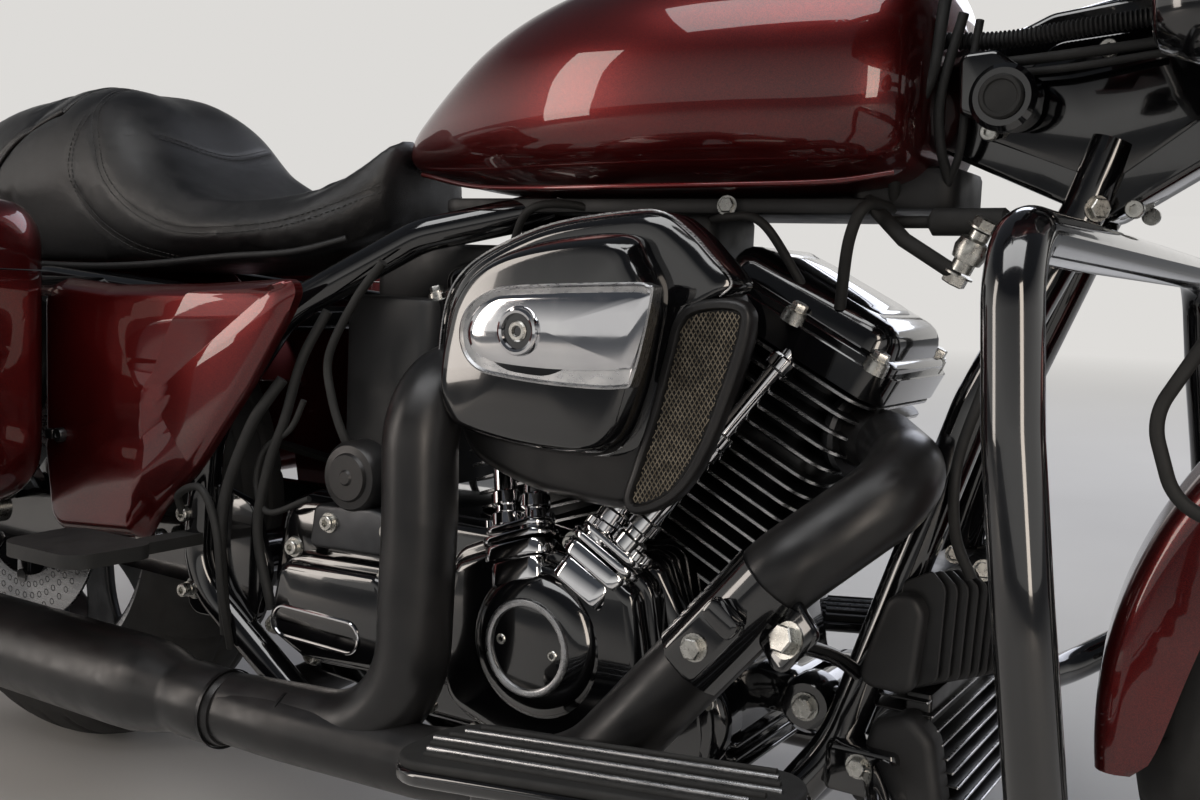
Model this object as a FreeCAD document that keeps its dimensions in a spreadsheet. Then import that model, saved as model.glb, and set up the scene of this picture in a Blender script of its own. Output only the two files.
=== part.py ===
import FreeCAD, Part
import math
import os
from FreeCAD import Placement, Rotation, Vector

# Touring cruiser motorcycle, parked on its side stand.
# The machine is drawn upright: x runs forward from the rear axle, y to the left, z up from the ground.
# One placement then leans every sub-part to the left and moves the origin under the middle of the machine.

SIZES = (
    # alias, value (mm, degrees, or a plain count)
    ("lean_angle", 4.5),
    ("wheelbase", 1625.0),
    ("tail_end", -430.0),
    ("clearance", 0.3),
    ("running_clearance", 0.08),
    ("rear_tyre_radius", 320.0),
    ("rear_tyre_width", 180.0),
    ("rear_crown_radius", 96.0),
    ("rear_rim_radius", 203.0),
    ("rear_rim_width", 136.0),
    ("front_tyre_radius", 319.0),
    ("front_tyre_width", 130.0),
    ("front_crown_radius", 68.0),
    ("front_rim_radius", 241.0),
    ("front_rim_width", 102.0),
    ("rim_wall", 9.0),
    ("spoke_count", 9.0),
    ("spoke_width", 22.0),
    ("spoke_depth", 30.0),
    ("hub_radius", 42.0),
    ("axle_radius", 12.7),
    ("disc_radius", 150.0),
    ("disc_thickness", 5.0),
    ("front_disc_offset", 68.0),
    ("rear_disc_offset", 98.0),
    ("pulley_radius", 106.0),
    ("pulley_offset", 108.0),
    ("drive_pulley_radius", 52.0),
    ("belt_width", 24.0),
    ("belt_thickness", 6.0),
    ("rake_angle", 26.0),
    ("fork_angle", 29.25),
    ("trail_reach", 1795.0),
    ("fork_spacing", 230.0),
    ("fork_tube_radius", 24.5),
    ("slider_radius", 31.0),
    ("fork_length", 745.0),
    ("slider_length", 430.0),
    ("head_bottom", 770.0),
    ("head_top", 930.0),
    ("head_radius", 30.0),
    ("stem_radius", 14.0),
    ("clamp_thickness", 28.0),
    ("frame_tube_radius", 17.0),
    ("rail_tube_radius", 16.0),
    ("rail_half_width", 140.0),
    ("down_tube_half_width", 62.0),
    ("guard_tube_radius", 16.0),
    ("guard_half_width", 398.0),
    ("guard_x", 1285.0),
    ("guard_top", 664.0),
    ("guard_bottom", 252.0),
    ("crank_x", 850.0),
    ("crank_z", 250.0),
    ("vee_angle", 45.0),
    ("vee_tilt", 4.5),
    ("barrel_start", 140.0),
    ("barrel_top", 290.0),
    ("head_block_top", 372.0),
    ("rocker_top", 432.0),
    ("fin_half_length", 92.0),
    ("fin_half_width", 84.0),
    ("fin_thickness", 3.4),
    ("fin_root_inset", 26.0),
    ("barrel_fins", 9.0),
    ("head_fins", 5.0),
    ("case_half_width", 138.0),
    ("cam_cover_depth", 34.0),
    ("primary_depth", 74.0),
    ("pushrod_tube_radius", 11.0),
    ("air_cleaner_x", 915.0),
    ("air_cleaner_z", 568.0),
    ("air_cleaner_inner", 150.0),
    ("air_cleaner_depth", 78.0),
    ("header_radius", 30.0),
    ("muffler_radius", 47.0),
    ("muffler_offset", 250.0),
    ("muffler_height", 212.0),
    ("muffler_length", 830.0),
    ("muffler_wall", 4.0),
    ("tank_bottom", 712.0),
    ("tank_half_width", 158.0),
    ("tank_top", 916.0),
    ("tank_front", 1186.0),
    ("tank_rear", 566.0),
    ("fender_wall", 4.0),
    ("rear_fender_radius", 352.0),
    ("rear_fender_half_width", 108.0),
    ("front_fender_radius", 346.0),
    ("front_fender_front", 73.0),
    ("front_fender_back", 97.0),
    ("front_fender_half_width", 78.0),
    ("bag_inner", 196.0),
    ("bag_outer", 432.0),
    ("bag_front", 262.0),
    ("bag_rear", -412.0),
    ("bag_bottom", 330.0),
    ("bag_split", 618.0),
    ("bag_top", 690.0),
    ("bag_wall", 5.0),
    ("hinge_y", 449.0),
    ("bag_corner", 46.0),
    ("board_half_width", 56.0),
    ("board_middle", 292.0),
    ("board_height", 268.0),
    ("board_rear", 818.0),
    ("board_front", 1150.0),
    ("board_thickness", 20.0),
    ("board_tilt", 6.0),
    ("bar_radius", 15.9),
    ("grip_radius", 19.0),
    ("grip_length", 125.0),
    ("bar_half_width", 412.0),
    ("bar_height", 1040.0),
    ("lamp_radius", 92.0),
    ("screen_thickness", 4.0),
    ("fairing_wall", 4.0),
    ("stand_leg_radius", 10.0),
    ("swingarm_half_width", 122.0),
    ("swingarm_thickness", 18.0),
    ("swingarm_pivot_x", 418.0),
    ("swingarm_pivot_z", 318.0),
)

doc = FreeCAD.newDocument("touring_cruiser")
sheet = doc.addObject("Spreadsheet::Sheet", "sizes")
sheet.Label = "sizes"
for row, (alias, value) in enumerate(SIZES, start=1):
    sheet.set("A%d" % row, alias)
    sheet.set("B%d" % row, "%r" % value)
    sheet.setAlias("B%d" % row, alias)
doc.recompute()


class Sizes:
    """Read access to the sheet's cells by name."""

    def __getattr__(self, alias):
        return float(sheet.get(alias))


s = Sizes()
AXIS_X = Vector(1, 0, 0)
AXIS_Y = Vector(0, 1, 0)
AXIS_Z = Vector(0, 0, 1)
SIDES = (("right", -1), ("left", 1))
nodes = {}


# Places that several sub-parts share

lean = math.radians(s.lean_angle)
rear_axle_z = s.rear_tyre_radius + s.rear_crown_radius * (1 / math.cos(lean) - 1)
front_axle_z = s.front_tyre_radius + s.front_crown_radius * (1 / math.cos(lean) - 1)
REAR_AXLE = Vector(0, 0, rear_axle_z)
FRONT_AXLE = Vector(s.wheelbase, 0, front_axle_z)
rake = math.radians(s.rake_angle)
fork = math.radians(s.fork_angle)
STEER_UP = Vector(-math.sin(rake), 0, math.cos(rake))
FORK_UP = Vector(-math.sin(fork), 0, math.cos(fork))
CRANK = Vector(s.crank_x, 0, s.crank_z)
NOSE_END = s.wheelbase + s.front_fender_radius * math.sin(math.radians(s.front_fender_front))
UPRIGHT = Placement(Vector(-(s.tail_end + NOSE_END) / 2, -s.bar_height * math.sin(lean), 0),
                    Rotation(AXIS_X, -s.lean_angle))


def steer_at(z):
    """Point of the steering axis at a height."""
    return Vector(s.trail_reach - z * math.tan(rake), 0, z)


def fork_at(t, y=0.0):
    """Point of a fork tube's line at a distance above the front axle."""
    return FRONT_AXLE + FORK_UP * t + Vector(0, y, 0)


# Ways of making shapes

def feature(name, shape):
    """Document object that holds a shape made with Part's functions."""
    made = doc.addObject("Part::Feature", name)
    made.Shape = shape
    return made


def cylinder(name, start, direction, length, radius):
    """Part cylinder from a point along a direction; length and radius are cells or numbers."""
    made = doc.addObject("Part::Cylinder", name)
    bind(made, "Height", length)
    bind(made, "Radius", radius)
    made.Placement = Placement(start, Rotation(AXIS_Z, direction))
    return made


def box(name, corner, x_size, y_size, z_size):
    """Part box from its low corner."""
    made = doc.addObject("Part::Box", name)
    bind(made, "Length", x_size)
    bind(made, "Width", y_size)
    bind(made, "Height", z_size)
    made.Placement = Placement(Vector(*corner), Rotation())
    return made


def bind(made, name, size):
    """Set a size, bound to the sheet where it is given as an expression."""
    if isinstance(size, str):
        made.setExpression(name, size)
    else:
        setattr(made, name, size)


def fuse(name, *pieces):
    """Union of two or more objects."""
    made = doc.addObject("Part::MultiFuse", name)
    made.Refine = False
    made.Shapes = list(pieces)
    return made


def group(name, *pieces):
    """Separate solids held as one object."""
    made = doc.addObject("Part::Compound", name)
    made.Links = list(pieces)
    return made


def cut(name, base, *tools):
    """First object less each of the others, so that it seats against them face to face."""
    made = base
    for i, tool in enumerate(tools):
        step = doc.addObject("Part::Cut", name if i == len(tools) - 1 else "%s_step_%d" % (name, i + 1))
        step.Refine = False
        step.Base = made
        step.Tool = tool
        made = step
    return made


def mirrored(name, source):
    """The same piece on the other side of the machine's middle plane."""
    made = doc.addObject("Part::Mirroring", name)
    made.Source = source
    made.Normal = AXIS_Y
    return made


def node(label, *pieces):
    """A named sub-part: its solids, leaned and placed."""
    made = doc.addObject("Part::Compound", label)
    made.Label = label
    made.Links = list(pieces)
    made.Placement = UPRIGHT
    nodes[label] = made
    return made


def rounded(points):
    """Closed flat outline from (u, v, corner radius), as lines and arcs."""
    stops = []
    for i, (u, v, radius) in enumerate(points):
        here = Vector(u, v, 0)
        back = (Vector(*points[i - 1][:2], 0) - here).normalize()
        ahead = (Vector(*points[(i + 1) % len(points)][:2], 0) - here).normalize()
        if radius <= 0:
            stops.append((here, None, here))
            continue
        half = back.getAngle(ahead) / 2
        inward = (back + ahead).normalize()
        middle = here + inward * (radius / math.sin(half) - radius)
        reach = radius / math.tan(half)
        stops.append((here + back * reach, middle, here + ahead * reach))
    edges = []
    for i, (start, middle, end) in enumerate(stops):
        if middle is not None:
            edges.append(Part.Arc(start, middle, end))
        following = stops[(i + 1) % len(stops)][0]
        if (following - end).Length > 1e-5:
            edges.append(Part.LineSegment(end, following))
    return edges


def plane_of(body, role):
    """One of the origin planes of a body."""
    return [item for item in body.Origin.OriginFeatures if item.Role == role][0]


def sketch_on(body, name, role, offset, outlines):
    """Sketch on an origin plane, moved along its normal, with closed outlines."""
    sketch = body.newObject("Sketcher::SketchObject", name)
    sketch.AttachmentSupport = [(plane_of(body, role), "")]
    sketch.MapMode = "FlatFace"
    sketch.AttachmentOffset = Placement(Vector(0, 0, offset), Rotation())
    for outline in outlines:
        sketch.addGeometry(outline, False)
    return sketch


def padded(name, role, offset, outlines, length, reverse=False, round_edge=0.0):
    """Body padded from outlines; the far face's edges are rounded if a radius is given."""
    body = doc.addObject("PartDesign::Body", name)
    sketch = sketch_on(body, name + "_outline", role, offset, outlines)
    pad = body.newObject("PartDesign::Pad", name + "_pad")
    pad.Profile = sketch
    bind(pad, "Length", length)
    pad.Reversed = reverse
    sketch.Visibility = False
    if round_edge > 0:
        doc.recompute()
        normal = sketch.getGlobalPlacement().Rotation.multVec(AXIS_Z) * (-1 if reverse else 1)
        faces = pad.Shape.Faces
        far = max(range(len(faces)), key=lambda i: faces[i].CenterOfMass.dot(normal))
        fillet = body.newObject("PartDesign::Fillet", name + "_edge")
        fillet.Base = (pad, ["Face%d" % (far + 1)])
        fillet.Radius = round_edge
        body.Tip = fillet
    return body


def turned(name, centre, outline, angle=360.0):
    """Body turned about a line along y through a point; outline is (y, radius, corner radius)."""
    body = doc.addObject("PartDesign::Body", name)
    sketch = sketch_on(body, name + "_outline", "YZ_Plane", 0, [rounded(outline)])
    turn = body.newObject("PartDesign::Revolution", name + "_turn")
    turn.Profile = sketch
    turn.ReferenceAxis = (sketch, ["H_Axis"])
    turn.Angle = angle
    body.Placement = Placement(centre, Rotation())
    return body


def run_steps(points):
    """Straight runs and tangent bends of a path given as (x, y, z, bend radius)."""
    steps = []
    at = Vector(*points[0][:3])
    for i in range(1, len(points) - 1):
        here = Vector(*points[i][:3])
        radius = points[i][3]
        back = (Vector(*points[i - 1][:3]) - here).normalize()
        ahead = (Vector(*points[i + 1][:3]) - here).normalize()
        half = back.getAngle(ahead) / 2
        start = here + back * (radius / math.tan(half))
        centre = here + (back + ahead).normalize() * (radius / math.sin(half))
        steps.append(("run", at, start))
        steps.append(("bend", centre, ahead.cross(back).normalize(), 180 - 2 * math.degrees(half)))
        at = here + ahead * (radius / math.tan(half))
    steps.append(("run", at, Vector(*points[-1][:3])))
    return steps


def tube_shape(points, radius):
    """Round bar along a path: cylinders for its runs and parts of a ring for its bends."""
    start = Vector(*points[0][:3])
    ring = Part.Circle(start, Vector(*points[1][:3]) - start, radius).toShape()
    faces = [Part.Face(Part.Wire([ring]))]
    for step in run_steps(points):
        if step[0] == "run":
            travel = step[2] - step[1]
            faces.append(ring.extrude(travel))
            ring = ring.translated(travel)
        else:
            faces.append(ring.revolve(step[1], step[2], step[3]))
            ring = ring.rotated(step[1], step[2], step[3])
    faces.append(Part.Face(Part.Wire([ring])))
    shell = Part.Shell(faces)
    shell.sewShape()
    solid = Part.Solid(shell)
    if solid.Volume < 0:
        solid.reverse()
    return solid


def tube(name, points, radius):
    """Document object of a round bar."""
    return feature(name, tube_shape(points, radius))


def mirror_points(points, side):
    """Path with its y values turned to one side."""
    return [(x, side * y, z, radius) for x, y, z, radius in points]


def hoop(x, low, high, half_width, low_half, shoulder):
    """Closed section across the machine: flat bottom, bowed sides and a crowned top."""
    low_right = Vector(x, -low_half, low)
    low_left = Vector(x, low_half, low)
    waist = low + (shoulder - low) * 0.5
    top_half = half_width * 0.8
    edges = [
        Part.LineSegment(low_left, low_right),
        Part.Arc(low_right, Vector(x, -half_width, waist), Vector(x, -top_half, shoulder)),
        Part.Arc(Vector(x, -top_half, shoulder), Vector(x, 0, high), Vector(x, top_half, shoulder)),
        Part.Arc(Vector(x, top_half, shoulder), Vector(x, half_width, waist), low_left),
    ]
    return Part.Wire([edge.toShape() for edge in edges])


def frame_section(x, y_low, y_high, z_low, z_high, radius):
    """Closed section across x: a rectangle with round corners."""
    edges = rounded([(y_low, z_low, radius), (y_high, z_low, radius), (y_high, z_high, radius),
                     (y_low, z_high, radius)])
    wire = Part.Wire([edge.toShape() for edge in edges])
    wire.Placement = Placement(Vector(x, 0, 0), Rotation(Vector(1, 1, 1), 120))
    return wire


def loft(wires, ruled=False):
    """Solid through closed sections."""
    return Part.makeLoft(wires, True, ruled)


# Wheels

def tyre(label, centre, radius, width, crown, rim_radius, rim_width, casting):
    """Tyre ring: crown arc, bulging sides and beads seated between the rim's flanges."""
    half = width / 2
    shoulder = radius - crown + math.sqrt(max(crown * crown - (half * 0.93) ** 2, 1.0))
    bead = rim_width / 2 - 4
    body = doc.addObject("PartDesign::Body", label + "_ring")
    belly = rim_radius + (shoulder - rim_radius) * 0.55
    outline = [
        Part.LineSegment(Vector(bead, rim_radius, 0), Vector(-bead, rim_radius, 0)),
        Part.Arc(Vector(-bead, rim_radius, 0), Vector(-half, belly, 0), Vector(-half * 0.93, shoulder, 0)),
        Part.Arc(Vector(-half * 0.93, shoulder, 0), Vector(0, radius, 0), Vector(half * 0.93, shoulder, 0)),
        Part.Arc(Vector(half * 0.93, shoulder, 0), Vector(half, belly, 0), Vector(bead, rim_radius, 0)),
    ]
    sketch = sketch_on(body, label + "_outline", "YZ_Plane", 0, [outline])
    turn = body.newObject("PartDesign::Revolution", label + "_turn")
    turn.Profile = sketch
    turn.ReferenceAxis = (sketch, ["H_Axis"])
    body.Placement = Placement(centre, Rotation())
    return node(label, cut(label + "_seated", body, casting))


def rim(label, centre, rim_radius, rim_width, disc_offsets, left_reach, right_reach):
    """Cast wheel: barrel with flanges, hub bored for the axle, and spokes in a ring."""
    half = rim_width / 2
    wall = s.rim_wall
    barrel = turned(label + "_barrel", centre, [
        (-half, rim_radius + 10, 2), (-half + 7, rim_radius + 10, 2), (-half + 9, rim_radius - 0.2, 1),
        (half - 9, rim_radius - 0.2, 1), (half - 7, rim_radius + 10, 2), (half, rim_radius + 10, 2),
        (half, rim_radius - wall, 3), (half - 16, rim_radius - wall - 6, 3),
        (-half + 16, rim_radius - wall - 6, 3), (-half, rim_radius - wall, 3)])
    bore = s.axle_radius + s.running_clearance
    hub = turned(label + "_hub", centre, [
        (-right_reach, bore, 0), (left_reach, bore, 0), (left_reach, s.hub_radius, 0),
        (-right_reach, s.hub_radius, 0)])
    inner = s.hub_radius - 4
    outer = rim_radius - wall - 3
    spokes = []
    for i in range(int(s.spoke_count)):
        spoke = doc.addObject("Part::Wedge", "%s_spoke_%d" % (label, i + 1))
        spoke.Xmin, spoke.Xmax = -s.spoke_width * 0.8, s.spoke_width * 0.8
        spoke.X2min, spoke.X2max = -s.spoke_width * 0.5, s.spoke_width * 0.5
        spoke.Ymin, spoke.Ymax = 0, outer - inner
        spoke.Zmin, spoke.Zmax = -s.spoke_depth * 0.8, s.spoke_depth * 0.8
        spoke.Z2min, spoke.Z2max = -s.spoke_depth * 0.5, s.spoke_depth * 0.5
        turn = Rotation(AXIS_Y, 360.0 * i / s.spoke_count)
        lay = Rotation(AXIS_X, 90)
        spoke.Placement = Placement(centre + turn.multVec(Vector(0, 0, inner)), turn.multiply(lay))
        spokes.append(spoke)
    casting = fuse(label + "_casting", barrel, hub, *spokes)
    node(label, casting)
    return casting


def disc(name, centre, offset, outer, inner, thickness):
    """Brake disc: a flat ring."""
    low, high = offset - thickness / 2, offset + thickness / 2
    return turned(name, centre, [(low, inner, 0), (high, inner, 0), (high, outer, 0), (low, outer, 0)])


front_hub_reach = s.front_disc_offset + s.disc_thickness / 2
rear_hub_left = s.pulley_offset + s.belt_width / 2
rear_hub_right = s.rear_disc_offset + s.disc_thickness / 2 + 4
rear_casting = rim("rear_rim", REAR_AXLE, s.rear_rim_radius, s.rear_rim_width, (), rear_hub_left, rear_hub_right)
front_casting = rim("front_rim", FRONT_AXLE, s.front_rim_radius, s.front_rim_width, (), front_hub_reach + 4,
                    front_hub_reach + 4)
tyre("rear_tyre", REAR_AXLE, s.rear_tyre_radius, s.rear_tyre_width, s.rear_crown_radius,
     s.rear_rim_radius, s.rear_rim_width, rear_casting)
tyre("front_tyre", FRONT_AXLE, s.front_tyre_radius, s.front_tyre_width, s.front_crown_radius,
     s.front_rim_radius, s.front_rim_width, front_casting)
front_discs = [disc("front_disc_" + name, FRONT_AXLE, side * s.front_disc_offset, s.disc_radius,
                    s.hub_radius, s.disc_thickness) for name, side in SIDES]
node("front_discs", *front_discs)
node("rear_disc", disc("rear_disc_ring", REAR_AXLE, -s.rear_disc_offset, s.disc_radius, s.hub_radius,
                       s.disc_thickness))
pulley_low = s.pulley_offset - s.belt_width / 2
pulley_high = s.pulley_offset + s.belt_width / 2
node("rear_pulley", turned("rear_pulley_ring", REAR_AXLE, [
    (pulley_low, s.hub_radius, 0), (pulley_high, s.hub_radius, 0), (pulley_high - 6, 60, 2),
    (pulley_high - 6, 92, 2), (pulley_high, s.pulley_radius, 1), (pulley_low, s.pulley_radius, 1),
    (pulley_low + 6, 92, 2), (pulley_low + 6, 60, 2)]))

# Swingarm, rear axle and shocks

arm_inner = s.swingarm_half_width
arm_outer = arm_inner + s.swingarm_thickness
axle_reach = arm_outer + 16
pivot = (s.swingarm_pivot_x, s.swingarm_pivot_z)
arm_outline = rounded([(-34, rear_axle_z - 26, 20), (60, rear_axle_z - 30, 60),
                       (pivot[0] + 34, pivot[1] - 36, 30), (pivot[0] + 34, pivot[1] + 36, 30),
                       (60, rear_axle_z + 30, 60), (-34, rear_axle_z + 26, 20)])
arms = [padded("swingarm_" + name, "XZ_Plane", -side * (arm_inner if side < 0 else arm_outer) * 1.0,
               [arm_outline], "sizes.swingarm_thickness") for name, side in SIDES]
cross_tube = cylinder("swingarm_cross", Vector(pivot[0], -arm_outer, pivot[1]), AXIS_Y, 2 * arm_outer, 24)
cross_box = box("swingarm_bridge", (pivot[0] - 62, -arm_inner, pivot[1] - 24), 60, 2 * arm_inner, 48)
axle_hole = cylinder("rear_axle_hole", REAR_AXLE - AXIS_Y * 200, AXIS_Y, 400, "sizes.axle_radius")
swingarm = cut("swingarm_bored", fuse("swingarm_whole", cross_tube, cross_box, *arms), axle_hole)
rear_axle_bar = cylinder("rear_axle_bar", REAR_AXLE - AXIS_Y * axle_reach, AXIS_Y, 2 * axle_reach,
                         "sizes.axle_radius")
rear_nuts = [cylinder("rear_nut_" + name, REAR_AXLE + AXIS_Y * (side * arm_outer), AXIS_Y * side, 14, 19)
             for name, side in SIDES]
rear_axle = fuse("rear_axle_whole", rear_axle_bar, *rear_nuts)
node("rear_axle", rear_axle)
node("swingarm", swingarm)

# Frame

rail = s.rail_half_width
down = s.down_tube_half_width
wide = arm_outer + s.frame_tube_radius + 3
TUBES = (
    # name, radius, points (x, y, z, bend radius), both sides
    ("cradle", s.frame_tube_radius, [(1262, 26, 752, 0), (1246, 34, 700, 80), (1180, down, 545, 120),
                                     (1098, 96, 262, 120), (1040, rail, 176, 90), (560, rail, 170, 90),
                                     (400, wide, 302, 80), (414, wide, 462, 120), (508, 146, 588, 120),
                                     (640, 96, 668, 90), (760, 40, 700, 0)]),
    ("seat_rail", s.rail_tube_radius, [(500, 146, 580, 0), (330, 134, 596, 160), (110, 126, 610, 160),
                                       (-120, 122, 604, 0)]),
)
frame_tubes = [tube("frame_" + tube_name, mirror_points(points, -1), radius)
               for tube_name, radius, points in TUBES]
backbone = tube("frame_backbone", [(1340, 0, 862, 0), (1230, 0, 838, 120), (900, 0, 742, 120),
                                   (700, 0, 690, 0)], 22)
head_length = (s.head_top - s.head_bottom) / math.cos(rake)
steering_head = cylinder("steering_head", steer_at(s.head_bottom), STEER_UP, head_length,
                         "sizes.head_radius")
gusset = padded("neck_gusset", "XZ_Plane", -30, [rounded([
    (1130, 742, 20), (1262, 690, 20), (1396, 776, 14), (1368, 872, 20), (1210, 850, 30),
    (1112, 800, 30)])], 60)
head_bore = cylinder("steering_head_bore", steer_at(s.head_bottom) - STEER_UP * 60, STEER_UP,
                     head_length + 120, s.stem_radius + s.running_clearance)
cross_members = [cylinder("frame_cross_" + place, Vector(x, -rail, z), AXIS_Y, 2 * rail, r)
                 for place, x, z, r in (("front", 1042, 178, 13), ("middle", 566, 172, 13),
                                        ("seat", 500, 580, 13))]
pivot_plate = padded("pivot_plate", "XZ_Plane", arm_outer + s.clearance, [rounded([
    (368, 254, 20), (474, 258, 20), (494, 320, 30), (470, 386, 30), (382, 410, 20)])], 9)
STAND_PIVOT = Vector(690, 176, 164)
STAND_AXIS = Vector(-0.310, 0.941, 0.136).normalize()
STAND_BOLT_RADIUS = 7.0
stand_bolt = cylinder("stand_bolt", STAND_PIVOT - STAND_AXIS * 34, STAND_AXIS, 56, STAND_BOLT_RADIUS)
stand_head = cylinder("stand_bolt_head", STAND_PIVOT + STAND_AXIS * 19, STAND_AXIS, 7, 12)
frame_head = cut("frame_head_bored", fuse("frame_head", backbone, steering_head, gusset), head_bore)
frame_right = fuse("frame_right", fuse("frame_right_tubes", *frame_tubes), pivot_plate)
frame_left = mirrored("frame_left", frame_right)
frame_cradle = fuse("frame_cradle", frame_left, frame_right)
for member in (*cross_members, stand_bolt, stand_head):
    frame_cradle = fuse(member.Name + "_joined", frame_cradle, member)
frame = fuse("frame_joined", frame_cradle, frame_head)
node("frame", frame)

# Engine

case_outline = rounded([
    (640, 205, 40), (720, 168, 60), (960, 160, 70), (1010, 230, 90), (985, 330, 60), (940, 402, 30),
    (800, 404, 30), (690, 400, 40), (500, 404, 40), (478, 300, 50), (500, 212, 40)])
cases = padded("case_block", "XZ_Plane", -s.case_half_width, [case_outline], 2 * s.case_half_width,
               reverse=False)
half_case = s.case_half_width
rail_gap = rail - s.frame_tube_radius - 5
relief = [box("rail_relief_" + name, (440, side * rail_gap if side > 0 else -half_case - 20, 100), 620,
              half_case + 20 - rail_gap, 98) for name, side in SIDES]
relief += [box("rise_relief_" + name, (440, side * rail_gap if side > 0 else -half_case - 20, 190), 122,
               half_case + 20 - rail_gap, 76) for name, side in SIDES]
belt_space = box("belt_space", (440, 84, 100), 146, 80, 320)
cases = cut("cases_relieved", cases, *relief, belt_space)
drive_shaft = cylinder("drive_shaft", Vector(500, 60, 318), AXIS_Y, s.pulley_offset - s.belt_width / 2 + 1 - 60,
                       18)


def vee_axis(front):
    """Direction of a cylinder's axis."""
    angle = math.radians(s.vee_tilt + (s.vee_angle / 2 if front else -s.vee_angle / 2))
    return Vector(math.sin(angle), 0, math.cos(angle))


def block_on(name, axis, start, end, half_length, half_width, corner):
    """Upright block with round corners on a cylinder's axis."""
    outline = rounded([(-half_length, -half_width, corner), (half_length, -half_width, corner),
                       (half_length, half_width, corner), (-half_length, half_width, corner)])
    body = doc.addObject("PartDesign::Body", name)
    sketch = sketch_on(body, name + "_outline", "XY_Plane", start, [outline])
    pad = body.newObject("PartDesign::Pad", name + "_pad")
    pad.Profile = sketch
    pad.Length = end - start
    body.Placement = Placement(CRANK, Rotation(AXIS_Z, axis))
    return body


def fin_stack(name, axis, start, end, count, half_length, half_width):
    """Cooling fins fused to a core."""
    root = s.fin_root_inset
    pieces = [block_on(name + "_core", axis, start, end, half_length - root, half_width - root, 30)]
    pitch = (end - start - s.fin_thickness) / (count - 1)
    for i in range(int(count)):
        low = start + i * pitch
        pieces.append(block_on("%s_fin_%d" % (name, i + 1), axis, low, low + s.fin_thickness,
                               half_length, half_width, 30))
    return pieces


CYLINDERS = (("front", True), ("rear", False))
barrels = []
rockers = []
for place, is_front in CYLINDERS:
    axis = vee_axis(is_front)
    stack = fin_stack("barrel_" + place, axis, s.barrel_start, s.barrel_top, s.barrel_fins,
                      s.fin_half_length, s.fin_half_width)
    head_stack = fin_stack("head_" + place, axis, s.barrel_top + 8, s.head_block_top, s.head_fins,
                           s.fin_half_length + 4, s.fin_half_width + 4)
    joint = block_on("head_seam_" + place, axis, s.barrel_top - 1, s.barrel_top + 9,
                     s.fin_half_length - 10, s.fin_half_width - 10, 24)
    barrels.append(fuse("cylinder_" + place, joint, *stack, *head_stack))
    base = block_on("rocker_base_" + place, axis, s.head_block_top, s.head_block_top + 26,
                    s.fin_half_length + 6, s.fin_half_width + 4, 26)
    cap = block_on("rocker_cap_" + place, axis, s.head_block_top + 24, s.rocker_top,
                   s.fin_half_length - 6, s.fin_half_width - 8, 22)
    rockers.append(fuse("rocker_box_" + place, base, cap))
pushrods = []
notches = {}
for place, is_front in CYLINDERS:
    axis = vee_axis(is_front)
    across = Vector(axis.z, 0, -axis.x)
    notches[place] = []
    pair = []
    for i, spread in enumerate((-1, 1)):
        foot = Vector(845 + (46 if is_front else -30) + spread * 15, -s.case_half_width - 14, 404)
        top = CRANK + axis * (s.head_block_top + 4) + across * (spread * 26) + Vector(0, -66, 0)
        pair.append(cylinder("pushrod_tube_%s_%d" % (place, i + 1), foot, top - foot,
                             (top - foot).Length, s.pushrod_tube_radius))
        notches[place].append(cylinder("pushrod_notch_%s_%d" % (place, i + 1), foot - (top - foot) * 0.2,
                                       top - foot, (top - foot).Length * 1.3, s.pushrod_tube_radius + 2))
    pair.append(box("tappet_block_" + place, (845 + (46 if is_front else -30) - 32, -s.case_half_width - 32, 380),
                    64, 34, 30))
    pushrods.append(fuse("pushrods_" + place, *pair))
valley = 400
half_space = {}
for place, is_front in CYLINDERS:
    turn = Rotation(AXIS_Y, s.vee_tilt)
    away = doc.addObject("Part::Box", "valley_" + place)
    away.Length, away.Width, away.Height = valley, 2 * valley, 2 * valley
    offset = Vector(-valley + 0.5, -valley, 0) if is_front else Vector(-0.5, -valley, 0)
    away.Placement = Placement(CRANK + turn.multVec(offset), turn)
    half_space[place] = away
front_barrel = cut("cylinder_front_seated", barrels[0], cases, half_space["front"], *notches["front"],
                   *notches["rear"])
rear_barrel = cut("cylinder_rear_seated", barrels[1], cases, half_space["rear"], *notches["rear"],
                  *notches["front"])
node("cylinders", front_barrel, rear_barrel)
front_rocker = rockers[0]
rear_rocker = cut("rocker_rear_seated", rockers[1], frame)
node("rocker_covers", cut("rocker_front_seated", front_rocker, frame), rear_rocker)

# Engine mounts reach from the cases to the frame and end on both

mount_front = box("mount_front", (985, -60, 250), 110, 120, 44)
mount_rear = box("mount_rear", (380, -60, 300), 120, 120, 40)
mount_bars = [box("mount_bar_" + name, (760, side * 124 - 12, 178), 60, 24, 26) for name, side in SIDES]

cam_side = s.case_half_width
cam_cover = padded("cam_cover_plate", "XZ_Plane", cam_side, [rounded([
    (738, 232, 40), (820, 206, 50), (930, 210, 50), (968, 290, 70), (950, 378, 30), (905, 408, 24),
    (862, 394, 20), (800, 404, 24), (742, 380, 30), (722, 310, 50)])], "sizes.cam_cover_depth",
    round_edge=7)
cam_boss = cylinder("cam_cover_boss", Vector(845, -cam_side - s.cam_cover_depth + 2, 313), -AXIS_Y, 10, 54)
cam_ring = cylinder("cam_cover_ring", Vector(845, -cam_side - s.cam_cover_depth - 6, 313), -AXIS_Y, 5, 42)
node("cam_cover", fuse("cam_cover_whole", cam_cover, cam_boss, cam_ring))

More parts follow.
